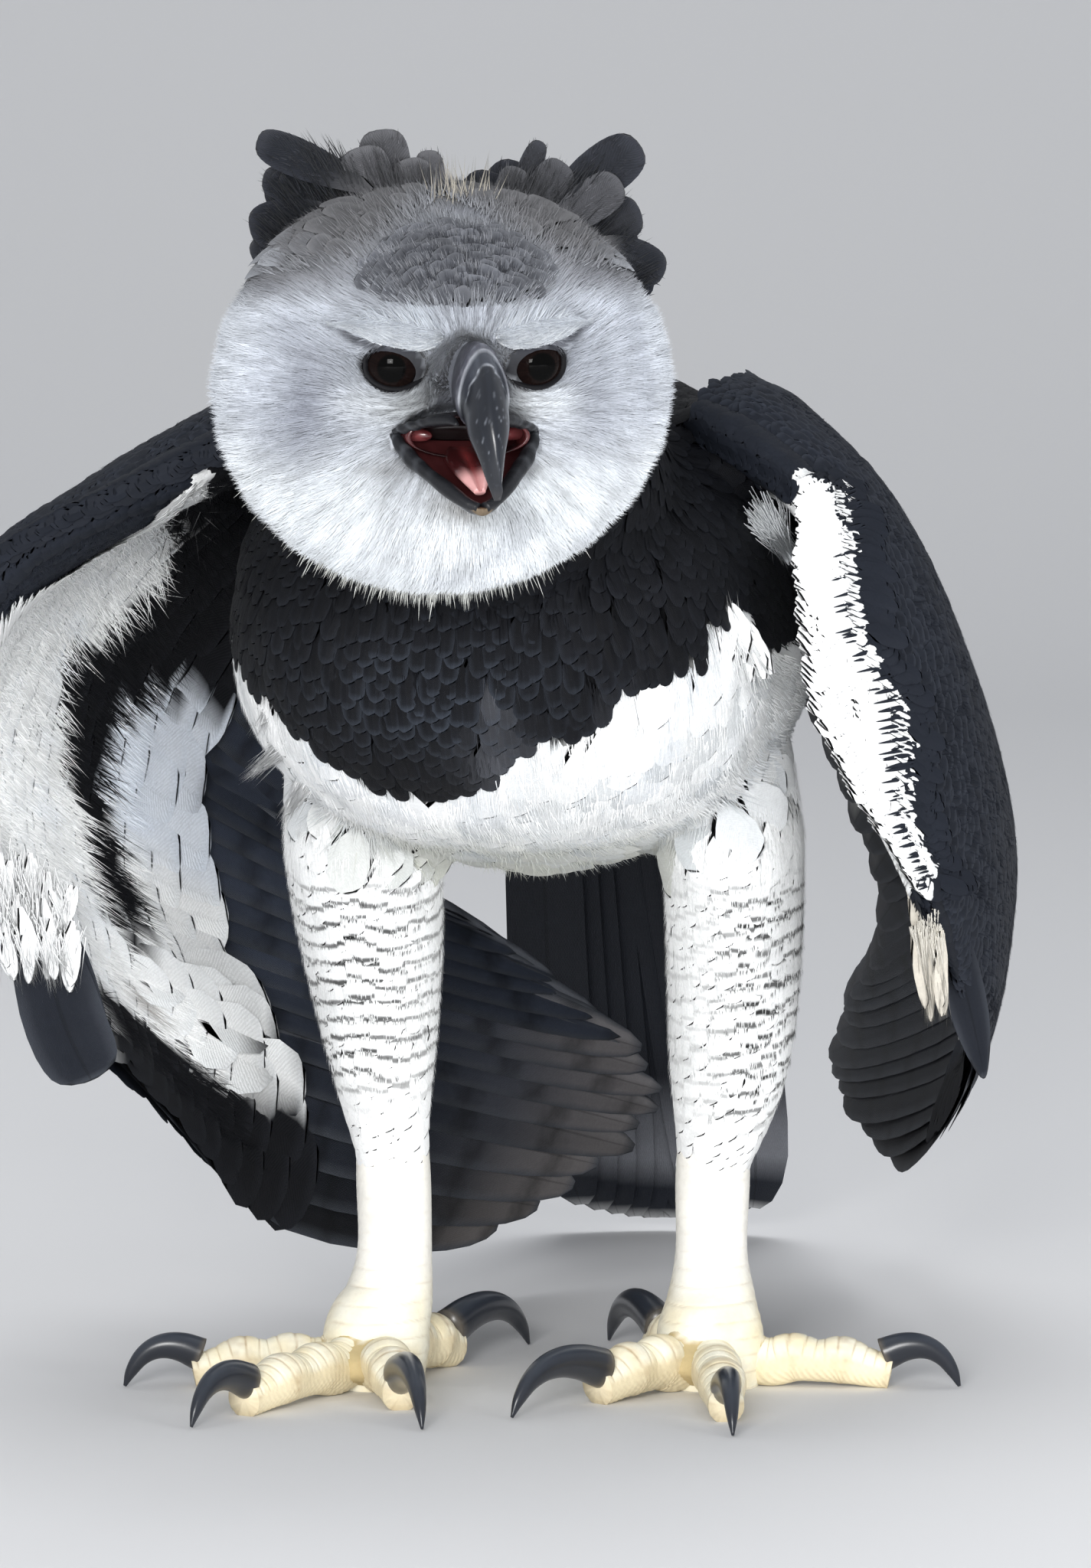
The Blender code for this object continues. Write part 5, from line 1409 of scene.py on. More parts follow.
def coverts(wing, under, pile):
    s = 0.03
    side = -1.0 if under else 1.0
    marks = [0.0, 0.1, 0.25, 0.40, 0.5, 0.66]
    sizes = [0.9, 1.2, 1.9, 2.9, 3.9, 4.6] if under else [0.9, 1.1, 1.7, 2.6, 3.8, 4.6]
    halves = [0.38, 0.50, 0.78, 1.15, 1.5, 1.7] if under else [0.34, 0.42, 0.60, 0.85, 1.1, 1.3]
    while s < (0.60 if under else 0.58):
        size, half = np.interp(s, marks, sizes), np.interp(s, marks, halves)
        line = wing.look(wing.dt, np.linspace(0, 1, 200), np.full(200, s))
        along = np.concatenate([[0], np.cumsum((line[1:] + line[:-1]) / 2 / 199)])
        count = max(6, int(along[-1] / (half * 1.05)))
        at = (np.arange(count) + 0.5 + RNG.uniform(-0.3, 0.3, count)) / count * along[-1]
        t = np.interp(at, along, np.linspace(0, 1, 200))
        per = wing.look(wing.ds, t, np.full(count, s))
        ss = s + RNG.uniform(-0.3, 0.3, count) * 0.35 * size / per
        step = size * RNG.uniform(0.9, 1.12, count) / per
        v = VANE.v
        sv = ss[:, None] + step[:, None] * v[None]
        tv = t[:, None] + 0.0 * sv + 0.006 * RNG.normal(size=(count, 1)) * v[None]
        P, Nn = wing.at(tv, sv)
        Nn = Nn * side
        h = wing.half(tv, sv)
        root_h, tip_h = np.maximum(h - 0.10, 0.10), np.maximum(h + 0.02, 0.20)
        lift = root_h * (1 - v) + tip_h * v + 0.03 * RNG.random((count, 1)) * v + (0.26 * ease(sv, 0.20, 0.36) if under else 0.0)
        P = P + Nn * lift[..., None]
        paint = under_paint if under else upper_paint
        wide = half * RNG.uniform(0.92, 1.08, count) * (1.25 if under else 1.1)
        row = VANE.row
        here, ahead = wing.at(tv, sv)[0], wing.at(tv + 0.01, sv)[0]
        facing = np.sign((np.cross(unit(np.gradient(P, axis=1)), Nn) * (ahead - here)).sum(-1))
        tq = tv[:, row] + facing[:, row] * VANE.a * VANE_W[row] * wide[:, None] / wing.look(wing.dt, tv, sv)[:, row] + RNG.uniform(-0.010, 0.010, (count, 1))
        sq = sv[:, row] + RNG.uniform(-0.014, 0.014, (count, 1))
        base = paint(tq, sq, wing.side, P[:, row])
        dim = (base.mean(-1) < 0.2)[..., None]
        edge = np.where(dim, base * 1.2 + SLATE_PALE * (0.06 if under else 0.16), base * np.array([0.93, 0.95, 0.97]))
        base = base * (1 + np.where(dim, 0.15, 0.03) * (RNG.random((count, 1, 1)) * 2 - 1))
        rim = np.clip(ease(VANE.v[row], 0.84, 0.98) + 0.8 * ease(np.abs(VANE.a), 0.55, 1.0) * ease(VANE.v[row], 0.2, 0.6), 0, 1)
        c = mix(base, edge, (rim * (0.7 if under else 0.9))[None])
        order = (0.07 if wing.side == "right" else -0.07) * side
        blades(pile, VANE, P, Nn, wide, c, 0.016, 0.03 if under else 0.06, order * (0.5 if under else 1.0), VANE_W, root_uv=wing_uv(wing, t, ss, under))
        s += 0.40 * size / float(np.mean(wing.look(wing.ds, np.linspace(0.1, 0.9, 9), np.full(9, s))))


for wing in WINGS.values():
    flight_feathers(wing)
    coverts(wing, False, covert_pile)
    coverts(wing, True, covert_pile2)

# small feathers that roll over the leading edge of each wing
edge_pile = Pile("leading_edge_feathers", "covert", "wing")
for wing in WINGS.values():
    rows = 8
    for row in range(rows):
        count = 110
        t = np.linspace(0.02, 0.99, count) + RNG.uniform(-0.004, 0.004, count)
        P0, N0 = wing.at(t, np.zeros(count))
        P1, _ = wing.at(t, np.full(count, 0.03))
        out = unit(P0 - P1)
        angle = -1.3 + 2.6 * (row + 0.5) / rows + RNG.uniform(-0.18, 0.18, count)
        h = wing.half(t, np.zeros(count)) * 0.9
        root = P0 + out * (np.cos(angle) * h * 0.6)[:, None] + N0 * (np.sin(angle) * h)[:, None]
        up = angle >= (0.25 if wing.side == "right" else -0.5)
        to_side = np.where(up, 1.0, -1.0)[:, None]
        reach = RNG.uniform(0.8, 1.3, count)
        far = reach / wing.look(wing.ds, t, np.zeros(count))
        P2, N2 = wing.at(t + RNG.uniform(-0.008, 0.008, count), far)
        tip = P2 + N2 * to_side * (wing.half(t, far)[:, None] + 0.04)
        middle = root + out * 0.15 * np.cos(angle)[:, None] + N0 * to_side * 0.15 + (tip - root) * 0.35
        v = VANE.v[None, :, None]
        S = root[:, None] * (1 - v) * (1 - 2 * v) + middle[:, None] * 4 * v * (1 - v) + tip[:, None] * v * (2 * v - 1)
        N = unit(out[:, None] * (1 - v) * 0.8 + (N0 * to_side)[:, None] * (0.3 + v))
        if wing.side == "right":
            c = np.where(up[:, None], upper_paint(t, far, wing.side, root), under_paint(t, np.full(count, 0.01), wing.side, root))
        else:
            c = np.where(((t > 0.185) & (t < 0.80))[:, None], WHITE, upper_paint(t, far * 0.6, wing.side, root))
        blades(edge_pile, VANE, S, N, 0.36 * RNG.uniform(0.85, 1.15, count), spread_colour(c, 0.06), 0.016, 0.12, 0.0, VANE_W, root_uv=wing_uv(wing, t, np.zeros(count), False))

# feathers that lie along each leading edge, over the line where those of the two sides part
for wing, centre in ((WINGS["right"], 0.25), (WINGS["left"], -0.5)):
    for _ in range(2):
        count = 100
        t = np.linspace(0.01, 0.95, count) + RNG.uniform(-0.004, 0.004, count)
        if wing.side == "left":
            t = t[(t < 0.18) | (t > 0.80)]
            count = len(t)
        angle = centre + RNG.uniform(-0.35, 0.35, count)
        v = VANE.v[None]
        tv = t[:, None] + 0.030 * v
        P0, N0 = wing.at(tv, np.zeros_like(tv))
        P1, _ = wing.at(tv, np.full_like(tv, 0.03))
        out = unit(P0 - P1)
        h = wing.half(tv, np.zeros_like(tv)) * 0.9
        ca, sa = np.cos(angle)[:, None], np.sin(angle)[:, None]
        S = P0 + out * ((h + 0.06 + 0.10 * v) * ca * 0.75 + 0.12)[..., None] + N0 * ((h + 0.06 + 0.08 * v) * sa)[..., None]
        N = unit(out * ca[..., None] + N0 * sa[..., None])
        blades(edge_pile, VANE, S, N, 0.40 * RNG.uniform(0.85, 1.15, count), spread_colour(np.repeat((SLATE * 0.8)[None], count, 0), 0.15), 0.014, 0.10, 0.0, VANE_W, root_uv=wing_uv(wing, t, np.zeros(count), False))

# the white pad of small feathers in front of the left wing's leading edge, with its ragged border
wing = WINGS["left"]
rows = 13
for row in range(rows):
    count = 96
    t = np.linspace(0.19, 0.79, count) + RNG.uniform(-0.004, 0.004, count)
    window = np.interp(t, [0.19, 0.26, 0.33, 0.45, 0.53, 0.60, 0.70, 0.79], [0.1, 0.5, 0.9, 1.15, 1.1, 0.75, 0.35, 0.1])
    P0, N0 = wing.at(t, np.zeros(count))
    L = P0 + from_body(np.stack([-window, np.full(count, -0.1), 0 * window], -1))
    Q, NQ = wing.at(t, np.maximum(strip_end(t), 0.015))
    Rr = Q + NQ * (wing.half(t, np.maximum(strip_end(t), 0.015)) + 0.20)[:, None]
    width = np.linalg.norm(Rr - L, axis=1)
    forward = from_body(np.array([0.25, -1.0, 0.1]))

    def pad(u):
        u = u[:, None]
        return L * (1 - u) + Rr * u + forward * 0.80 * np.sin(np.pi * np.clip(0.10 + 0.9 * u, 0, 1.05))

    u0 = (row - 0.6) / (rows - 1) + RNG.uniform(-0.05, 0.05, count)
    long = RNG.uniform(0.8, 1.25, count) * (1 + 0.5 * (RNG.random(count) < 0.18) * (row > rows - 4))
    u1 = u0 + long / width
    hang = from_body(np.array([0.0, 0.0, -1.0])) * (0.32 + 0.25 * u0[:, None])
    A, M, C = pad(u0), pad((u0 + u1) / 2) + hang * 0.4 + forward * 0.05, pad(u1) + hang + forward * 0.07
    v = VANE.v[None, :, None]
    S = A[:, None] * (1 - v) * (1 - 2 * v) + M[:, None] * 4 * v * (1 - v) + C[:, None] * v * (2 * v - 1)
    N = unit(forward[None] + NQ * (0.2 + 0.8 * u0[:, None]) * 0.9)[:, None] * np.ones((1, len(VANE.v), 1))
    ragged = u1 + 0.10 * wob(C, 1.0, 95)
    white = ragged < 1.0 + 0.30 * (RNG.random(count) - 0.3)
    if row == 0:
        white[:] = True
    c = np.where(white[:, None], np.repeat(WHITE[None], count, 0), np.repeat((SLATE * 0.75)[None], count, 0))
    blades(edge_pile, VANE, S, N, 0.34 * RNG.uniform(0.85, 1.15, count), spread_colour(c, 0.03), 0.014, 0.10, 0.0, VANE_W, root_uv=wing_uv(wing, t, 0.02 * np.ones(count), False))

# dark and white points that interlock along the border of that strip
for dark in (True, False):
    for _ in range(2):
        count = 46
        t = np.linspace(0.215, 0.775, count) + RNG.uniform(-0.006, 0.006, count) + (0.006 if dark else 0.0)
        window = np.interp(t, [0.19, 0.26, 0.33, 0.45, 0.53, 0.60, 0.70, 0.79], [0.1, 0.5, 0.9, 1.15, 1.1, 0.75, 0.35, 0.1])
        P0, N0 = wing.at(t, np.zeros(count))
        L = P0 + from_body(np.stack([-window, np.full(count, -0.1), 0 * window], -1))
        s_end = np.maximum(strip_end(t), 0.015)
        Q, NQ = wing.at(t, s_end)
        Rr = Q + NQ * (wing.half(t, s_end) + 0.20)[:, None]
        width = np.linalg.norm(Rr - L, axis=1)
        u0 = 1 + (RNG.uniform(0.25, 0.6, count) if dark else -RNG.uniform(0.5, 0.8, count)) / width
        u1 = 1 - (RNG.uniform(0.4, 1.3, count) * (1 if dark else -0.8)) / width
        rows = []
        for v in VANE.v:
            u = u0 + (u1 - u0) * v
            s_out = s_end + np.maximum(u - 1, 0) * width / wing.look(wing.ds, t, s_end)
            Qu, Nu = wing.at(t, s_out)
            on = Qu + Nu * (wing.half(t, s_out) + 0.26)[:, None]
            uu = np.clip(u, 0, 1)[:, None]
            under_u = L * (1 - uu) + Rr * uu + forward * (0.85 * np.sin(np.pi * np.clip(0.10 + 0.9 * uu, 0, 1.05)) + 0.10)
            rows.append(np.where((u > 1)[:, None], on, under_u) + from_body(np.array([0.0, -0.05, -0.35])) * v)
        S = np.stack(rows, 1)
        N = np.repeat(unit(forward[None] + NQ * 0.9)[:, None], len(VANE.v), 1)
        c = spread_colour(np.repeat((SLATE if dark else WHITE)[None], count, 0), 0.05)
        blades(edge_pile, VANE, S, N, 0.13 * RNG.uniform(0.7, 1.2, count), c, 0.012, 0.10, 0.0, VANE_W * (1 - 0.7 * VANE.v), root_uv=wing_uv(wing, t, 0.03 * np.ones(count), False))

# white points along the upper border of the right wing's white field
wing = WINGS["right"]


def on_wing(wing, path, rows, height, side=-1.0):
    line = smooth_path(path, 41)
    t = np.interp(rows, np.linspace(0, 1, 41), line[:, 0])
    s = np.interp(rows, np.linspace(0, 1, 41), line[:, 1])
    P, Nn = wing.at(t, s)
    h = wing.half(t, s) + height
    return P + Nn * side * (h if np.ndim(h) else np.full(len(t), h))[:, None], Nn * side


count = 150
line_t = np.interp(np.linspace(0, 1, count), np.linspace(0, 1, 9), [0.155, 0.17, 0.185, 0.20, 0.25, 0.31, 0.36, 0.42, 0.52])
line_s = np.interp(line_t, [0.14, 0.17, 0.20, 0.25, 0.31, 0.36, 0.40, 0.50, 0.60], [0.02, 0.04, 0.20, 0.22, 0.20, 0.15, 0.10, 0.06, 0.03])
for k in range(count):
    t0, s0 = line_t[k] + 0.02, line_s[k] + 0.035 + RNG.uniform(-0.01, 0.03)
    t1, s1 = line_t[k] - 0.012 + RNG.uniform(-0.012, 0.012), line_s[k] - 0.012 - RNG.uniform(0, 0.022)
    S, N = on_wing(wing, [(t0, s0), ((t0 + t1) / 2, (s0 + s1) / 2), (t1, s1)], VANE.v, 0.10)
    S = S + N * (0.10 * VANE.v)[:, None]
    blades(covert_pile2, VANE, S[None], N[None], 0.30 * RNG.uniform(0.8, 1.1), (WHITE * RNG.uniform(0.95, 1.0))[None], 0.014, 0.1, 0.0, VANE_W * (1 - 0.75 * VANE.v), root_uv=wing_uv(wing, np.array([t0]), np.array([s0]), True))

# soft threads over the coverts, so that no border is cut hard
for wing, under, count in ((WINGS["right"], True, 11500), (WINGS["left"], False, 4500), (WINGS["left"], True, 1200), (WINGS["right"], False, 2600)):
    t = RNG.uniform(0.02, 0.97, count)
    s = RNG.uniform((0.02 if wing.side == "right" else 0.16) if under else 0.14, 0.58, count)
    size = np.interp(s, [0.0, 0.3, 0.6], [0.9, 1.6, 2.4]) * RNG.uniform(0.7, 1.1, count)
    v = NEEDLE.v
    sv = s[:, None] + (size / wing.look(wing.ds, t, s))[:, None] * v[None]
    tv = t[:, None] + 0.010 * RNG.normal(size=(count, 1)) * v[None]
    P, Nn = wing.at(tv, sv)
    Nn = Nn * (-1.0 if under else 1.0)
    P = P + Nn * (wing.half(tv, sv) + 0.015 + RNG.uniform(0.04, 0.10, (count, 1)) * v[None] + (0.26 * ease(sv, 0.20, 0.36) if under else 0.0))[..., None]
    c = spread_colour((under_paint if under else upper_paint)(t, s, wing.side, P[:, 0]), 0.08)
    blades(covert_pile2 if under else covert_pile, NEEDLE, P, Nn, 0.024, c, 0.007, 0.0, 0.0, np.array([1.0, 0.0]), root_uv=wing_uv(wing, t, s, under))

count = 900
t = RNG.uniform(0.20, 0.78, count)
wing = WINGS["left"]
s = strip_end(t) - RNG.uniform(-0.004, 0.02, count)
reach = RNG.uniform(0.7, 1.5, count) / wing.look(wing.ds, t, np.maximum(s, 0.0))
v = NEEDLE.v
sv, tv = s[:, None] + reach[:, None] * v[None] * 0.75, t[:, None] + (0.008 + 0.012 * RNG.random((count, 1))) * v[None]
P, Nn = wing.at(tv, sv)
P = P + Nn * (wing.half(tv, sv) + 0.20 - 0.06 * v[None])[..., None]
blades(covert_pile, NEEDLE, P, Nn, 0.026, spread_colour(np.repeat(WHITE[None], count, 0), 0.04), 0.008, 0.0, 0.0, np.array([1.0, 0.0]), root_uv=wing_uv(wing, t, s, False))

# the big displaced feathers under the right wing
BIG_W = np.array([0.10, 0.42, 0.66, 0.84, 0.96, 1.0, 1.0, 0.97, 0.90, 0.80, 0.66, 0.46, 0.18])
PALE_BLUE = lin(238, 242, 249)
for path, height, half, tone, shade in (
    ([(0.25, 0.80), (0.25, 0.72), (0.265, 0.62)], 0.22, 1.15, 0.90, 0.4),
    ([(0.36, 0.80), (0.325, 0.74), (0.315, 0.66), (0.345, 0.56)], 0.42, 1.40, 0.97, 0.25),
    ([(0.44, 0.54), (0.46, 0.60), (0.45, 0.70)], 0.20, 0.85, 0.80, 0.4),
    ([(0.46, 0.52), (0.49, 0.60), (0.49, 0.71)], 0.28, 0.80, 0.92, 0.2),
    ([(0.485, 0.500), (0.51, 0.57), (0.525, 0.67)], 0.42, 0.62, 1.0, 0.1),
    ([(0.545, 0.510), (0.528, 0.58), (0.52, 0.66), (0.53, 0.74)], 0.55, 0.98, 1.0, 0.1),
):
    S, N = on_wing(wing, path, BLADE.v, height + 0.36 + 0.10 * BLADE.v)
    a, vv = np.abs(BLADE.a), BLADE.v[BLADE.row]
    # edges and roots painted darker blue-grey: painted shadow, so that each feather stands apart
    c = mix(np.broadcast_to(PALE_BLUE * tone, (1, len(vv), 3)), lin(140, 152, 174), (np.minimum(1, shade + 0.25) * (0.7 * ease(a, 0.6, 1.0) + 0.5 * (1 - ease(vv, 0.1, 0.5))))[None])
    blades(covert_pile2, BLADE, S[None], N[None], half, c, 0.02, 0.10, 0.0, BIG_W, root_uv=wing_uv(wing, np.array([path[0][0]]), np.array([path[0][1]]), True))
for path, height, half, colour in (
    ([(0.300, 0.655), (0.302, 0.640), (0.303, 0.622)], 0.50, 0.33, lin(70, 60, 66)),
    ([(0.530, 0.693), (0.530, 0.700), (0.530, 0.710)], 0.62, 0.17, lin(50, 48, 58)),
    ([(0.375, 0.64), (0.40, 0.66), (0.42, 0.70)], 0.36, 0.12, lin(96, 92, 100)),
    ([(0.42, 0.62), (0.44, 0.65), (0.455, 0.69)], 0.40, 0.13, lin(110, 104, 110)),
):
    S, N = on_wing(wing, path, COVERT.v, height + 0.44)
    blades(covert_pile2, COVERT, S[None], N[None], half, colour[None], 0.012, 0.1, 0.0, np.array([0.5, 0.9, 1.0, 0.8, 0.55, 0.25]), root_uv=wing_uv(wing, np.array([path[0][0]]), np.array([path[0][1]]), True))

# the alula, two or three stiff feathers on the wrist
ALULA = {
    "right": [(17.6, -7.0, 18.2), (16.9, -6.2, 15.8), (16.4, -5.2, 13.4), (15.6, -4.5, 11.4)],
    "left": [(15.3, -7.8, 19.4), (15.9, -6.2, 16.9), (16.4, -4.6, 14.2), (16.7, -3.2, 11.9)],
}
alula_pile = Pile("alula_feathers", "flight", "wing", replaces=["wing_left_alula", "wing_right_alula"])
for side, sign in (("right", -1), ("left", 1)):
    line = smooth_path(ALULA[side], 41)
    line[:, 0] *= sign
    line = from_body(line)
    right = side == "right"
    for k, (off, half, reach) in enumerate(((0.0, 1.5 if right else 0.75, 1.0), (0.16, 1.15 if right else 0.6, 0.93), (0.3, 1.0 if right else 0.5, 0.82))):
        S = np.stack([np.interp(BLADE.v * reach, np.linspace(0, 1, 41), line[:, d]) for d in range(3)], -1)
        S = S + np.array([sign * -0.25 * k, off, 0.1 * k])
        N = np.broadcast_to(unit(np.array([0.15 * sign, -1.0, 0.2])), S.shape)
        c = pale_ends(BLADE, (SLATE * 0.75)[None], lin(92, 96, 104)[None], 0.4, 0.95)
        w = np.array([0.35, 0.55, 0.72, 0.86, 0.95, 1.0, 1.0, 0.99, 0.95, 0.88, 0.74, 0.5, 0.18]) if right else np.array([0.35, 0.6, 0.8, 0.95, 1.0, 0.98, 0.9, 0.76, 0.6, 0.44, 0.3, 0.18, 0.06])
        blades(alula_pile, BLADE, S[None], N[None], half, c, 0.04, 0.10, 0.0, w, root_uv=np.array([[0.95, 0.9 + 0.03 * k]]))
# white feathers that hide the root of the right alula, and the cream ones over the left wing's wrist
wrist = Pile("wrist_feathers", "covert", "wing")
for x, z in ((-18.9, 19.4), (-18.3, 19.8), (-17.7, 19.6), (-17.1, 19.2), (-18.6, 18.4), (-18.0, 18.6), (-17.4, 18.4), (-16.8, 18.0), (-16.3, 18.6), (-18.3, 17.5), (-17.6, 17.4), (-16.9, 17.1), (-16.3, 17.2)):
    root = from_body(np.array([x, -7.7 + 0.35 * (x + 18.9), z]))
    tip = from_body(np.array([x + 0.25, -7.2 + 0.35 * (x + 18.9), z - 2.3]))
    tuft(wrist, root, tip, 4, 0.34, 0.26, WHITE * 0.97, shape=VANE, lift=(0.0, -0.15, 0.0), uv=lambda r: np.full((len(r), 2), 0.5), taper=0.6)
    tuft(wrist, root, tip, 60, 0.026, 0.34, WHITE, shape=NEEDLE, lift=(0.0, -0.25, 0.0), uv=lambda r: np.full((len(r), 2), 0.5))
for x, z, long in ((14.9, 19.2, 2.6), (15.2, 18.6, 3.2), (15.0, 18.0, 3.8), (15.5, 17.8, 3.4)):
    root = from_body(np.array([x, -8.6, z]))
    tip = from_body(np.array([x + 0.15, -7.9 + 0.2 * long, z - long]))
    tuft(wrist, root, tip, 4, 0.34, 0.12, lin(206, 200, 188), shape=VANE, lift=(0.0, -0.2, 0.0), uv=lambda r: np.full((len(r), 2), 0.52), taper=0.55)
    tuft(wrist, root, tip, 150, 0.024, 0.17, lin(222, 218, 208), shape=NEEDLE, lift=(0.0, -0.3, 0.0), uv=lambda r: np.full((len(r), 2), 0.52))
for _ in range(1):
    tuft(wrist, from_body(np.array([9.4, -8.9, 32.6])), from_body(np.array([10.4, -8.3, 30.8])), 4, 0.20, 0.20, lin(186, 190, 194), shape=VANE, lift=(0.0, -0.1, 0.1), uv=lambda r: np.full((len(r), 2), 0.54), taper=0.5)
    tuft(wrist, from_body(np.array([9.4, -8.9, 32.6])), from_body(np.array([10.4, -8.5, 30.8])), 320, 0.022, 0.32, lin(214, 217, 220), shape=NEEDLE, lift=(0.0, -0.2, 0.1), uv=lambda r: np.full((len(r), 2), 0.54))

# ---------------------------------------------------------------- tail
tail_pile = Pile("tail_feathers", "flight", "wing", replaces=["tail"])


def tail_at(across, reach):
    half = 3.0 + 2.5 * np.sin(np.minimum(reach, 0.85) / 0.85 * math.pi / 2)
    half = half * np.sqrt(np.maximum(0.2, 1 - np.maximum(0.0, reach - 0.86) ** 2 * 18))
    y = 17.5 + 21.0 * (0.86 * reach + 0.14 * reach * reach)
    z = 26.2 * np.maximum(1 - reach, 0) ** 0.94 + 0.22
    return from_body(np.stack([across * half, y, z - 0.35 * across * across], -1))


for k, across in enumerate((-0.86, 0.86, -0.70, 0.70, -0.54, 0.54, -0.38, 0.38, -0.22, 0.22, -0.07, 0.07)):
    v = BLADE.v
    reach = (0.02 + 0.975 * (1 - 0.05 * across * across)) * v
    here = tail_at(np.full(len(v), across * 0.8), reach)
    level = (k // 2) * 0.085 - 0.25
    N = unit(from_body(np.array([0.0, 0.62, 0.78])) * np.ones((len(v), 1)))
    spread = here + N * level
    spread[:, 2] = np.maximum(spread[:, 2], 0.12 + 0.03 * (k // 2))
    vv = BLADE.v[BLADE.row]
    pale = np.clip(ease(np.abs(vv - 0.885), 0.05, 0.03) + ease(np.abs(vv - 0.62), 0.045, 0.03) + ease(np.abs(vv - 0.36), 0.04, 0.025), 0, 1)
    base = mix(np.broadcast_to(SLATE * 0.7, (1, len(vv), 3)), lin(128, 130, 136), (pale * 0.8)[None])
    base = mix(base, WHITE * 0.8, (0.5 * ease(vv, 0.985, 1.0))[None])
    blades(tail_pile, BLADE, spread[None], N[None], 1.55, base, 0.05, 0.06, 0.0, np.array([0.45, 0.6, 0.75, 0.88, 0.97, 1.0, 1.0, 0.98, 0.93, 0.84, 0.68, 0.46, 0.18]), root_uv=np.array([[0.05 + 0.07 * k, 0.5]]))
# short covert feathers over and under the root of the tail
for row, (reach, length, half, below) in enumerate(((0.0, 5.0, 1.0, False), (0.06, 5.5, 1.1, False), (0.12, 6.0, 1.2, False), (0.0, 6.0, 1.2, True), (0.08, 6.5, 1.3, True), (0.16, 6.0, 1.2, True))):
    for across in np.linspace(-0.8, 0.8, 7):
        v = SOFT.v
        reachv = reach + length / 33.0 * v
        here = tail_at(np.full(len(v), across), reachv)
        N = unit(from_body(np.array([0.25 * across, 0.62, 0.78]))) * (-1 if below else 1)
        here = here + N * (0.75 + 0.25 * v[:, None] - 0.4 * reachv[:, None])
        colour = (WHITE if below else mix(SLATE, SLATE_PALE, 0.2))[None] * RNG.uniform(0.85, 1.1)
        blades(white_pile if below else black_pile, SOFT, here[None], np.broadcast_to(N, here.shape)[None], half, colour, 0.06, 0.2, 0.0, root_uv=np.array([[0.5 + 0.05 * across, 0.97]]))


# ---------------------------------------------------------------- lofted solids for bill, mouth, feet and claws
def tube_rings(stations, sides, count, upward=(0, 0, 1), square=2.0, pear=0.0):
    """Points (ring, side, 3) across a path, as in part.py. A station is x, y, z, half width, half height above, half height below."""
    rows = smooth_path(stations, count)
    centre = rows[:, :3]
    t = unit(np.gradient(centre, axis=0))
    side = unit(np.cross(t, np.array(upward, float)))
    top = unit(np.cross(side, t))
    a = np.linspace(0, 2 * np.pi, sides, endpoint=False)
    ca, sa = np.cos(a), np.sin(a)
    x = np.sign(ca) * np.abs(ca) ** (2 / square) * (1 - pear * sa)
    z = np.sign(sa) * np.abs(sa) ** (2 / square)
    high = np.where(sa > 0, rows[:, 4:5], rows[:, 5:6])
    return centre[:, None] + side[:, None] * (rows[:, 3:4] * x)[..., None] + top[:, None] * (high * z)[..., None], a


def ring_tris(rings, sides):
    tris = []
    for i in range(rings - 1):
        for j in range(sides):
            p, q = i * sides + j, i * sides + (j + 1) % sides
            tris += [(p, q, p + sides), (q, q + sides, p + sides)]
    first, last = rings * sides, rings * sides + 1
    for j in range(sides):
        k = (j + 1) % sides
        tris += [(first, k, j), (last, (rings - 1) * sides + j, (rings - 1) * sides + k)]
    return np.array(tris)


def closed(rings):
    """Vertices of a ring body with its two end points, and its triangles, facing outwards."""
    r, s = rings.shape[:2]
    co = np.concatenate([rings.reshape(-1, 3), rings[0].mean(0)[None], rings[-1].mean(0)[None]])
    tris = ring_tris(r, s)
    volume = (co[tris[:, 0]] * np.cross(co[tris[:, 1]], co[tris[:, 2]])).sum()
    return co, (tris if volume > 0 else tris[:, ::-1])


def with_ends(values):
    """Per-ring values (ring, side, k) with rows for the two end points."""
    flat = values.reshape(-1, values.shape[-1])
    return np.concatenate([flat, values[0].mean(0)[None], values[-1].mean(0)[None]])


BILL_UPPER = [
    (0.30, -3.4, 0.72, 0.66, 1.30, 1.45), (0.30, -4.8, 0.76, 0.78, 1.44, 1.42), (0.28, -6.0, 0.66, 0.84, 1.36, 1.28), (0.23, -7.0, 0.25, 0.80, 1.14, 1.05),
    (0.20, -7.75, -0.42, 0.72, 0.84, 0.75), (0.24, -8.2, -1.22, 0.44, 0.54, 0.46), (0.30, -8.42, -1.98, 0.23, 0.30, 0.26), (0.36, -8.48, -2.58, 0.08, 0.09, 0.09),
]
sides = 56
rings, a = tube_rings(BILL_UPPER, sides, 90, pear=0.18)
f = np.linspace(0, 1, 90)[:, None] * np.ones((1, sides))
centre = rings.mean(1, keepdims=True)
outward = unit(rings - centre)
up = np.sin(a)[None] * np.ones((90, 1))
line = 0.300 - 0.050 * up  # where the cere ends and the horn starts, as a share of the bill's length
horn = ease(f, line - 0.006, line + 0.006)
swell = 0.07 * hump(f, line - 0.045, 0.035) - 0.06 * ease(f, line, line + 0.02) * (1 - ease(f, line + 0.25, line + 0.5))
ridge = 0.05 * np.maximum(0, up) ** 14 * horn
edge_cut = -0.10 * hump(a[None], 4.712, 0.38) * ease(f, 0.35, 0.5) * (1 - ease(f, 0.86, 0.95))
rings = rings + outward * (swell + ridge + edge_cut)[..., None]
nostril = np.zeros_like(f)
for sign in (-1, 1):
    A, B = np.array([0.29 + sign * 0.70, -5.50, 1.15]), np.array([0.29 + sign * 0.86, -5.30, 0.50])
    ab = B - A
    u = np.clip(((rings - A) @ ab) / (ab @ ab), 0, 1)
    d = np.linalg.norm(rings - (A + u[..., None] * ab), axis=-1)
    nostril = np.maximum(nostril, hump(d, 0.0, 0.13))
rings = rings - outward * (0.22 * nostril)[..., None]
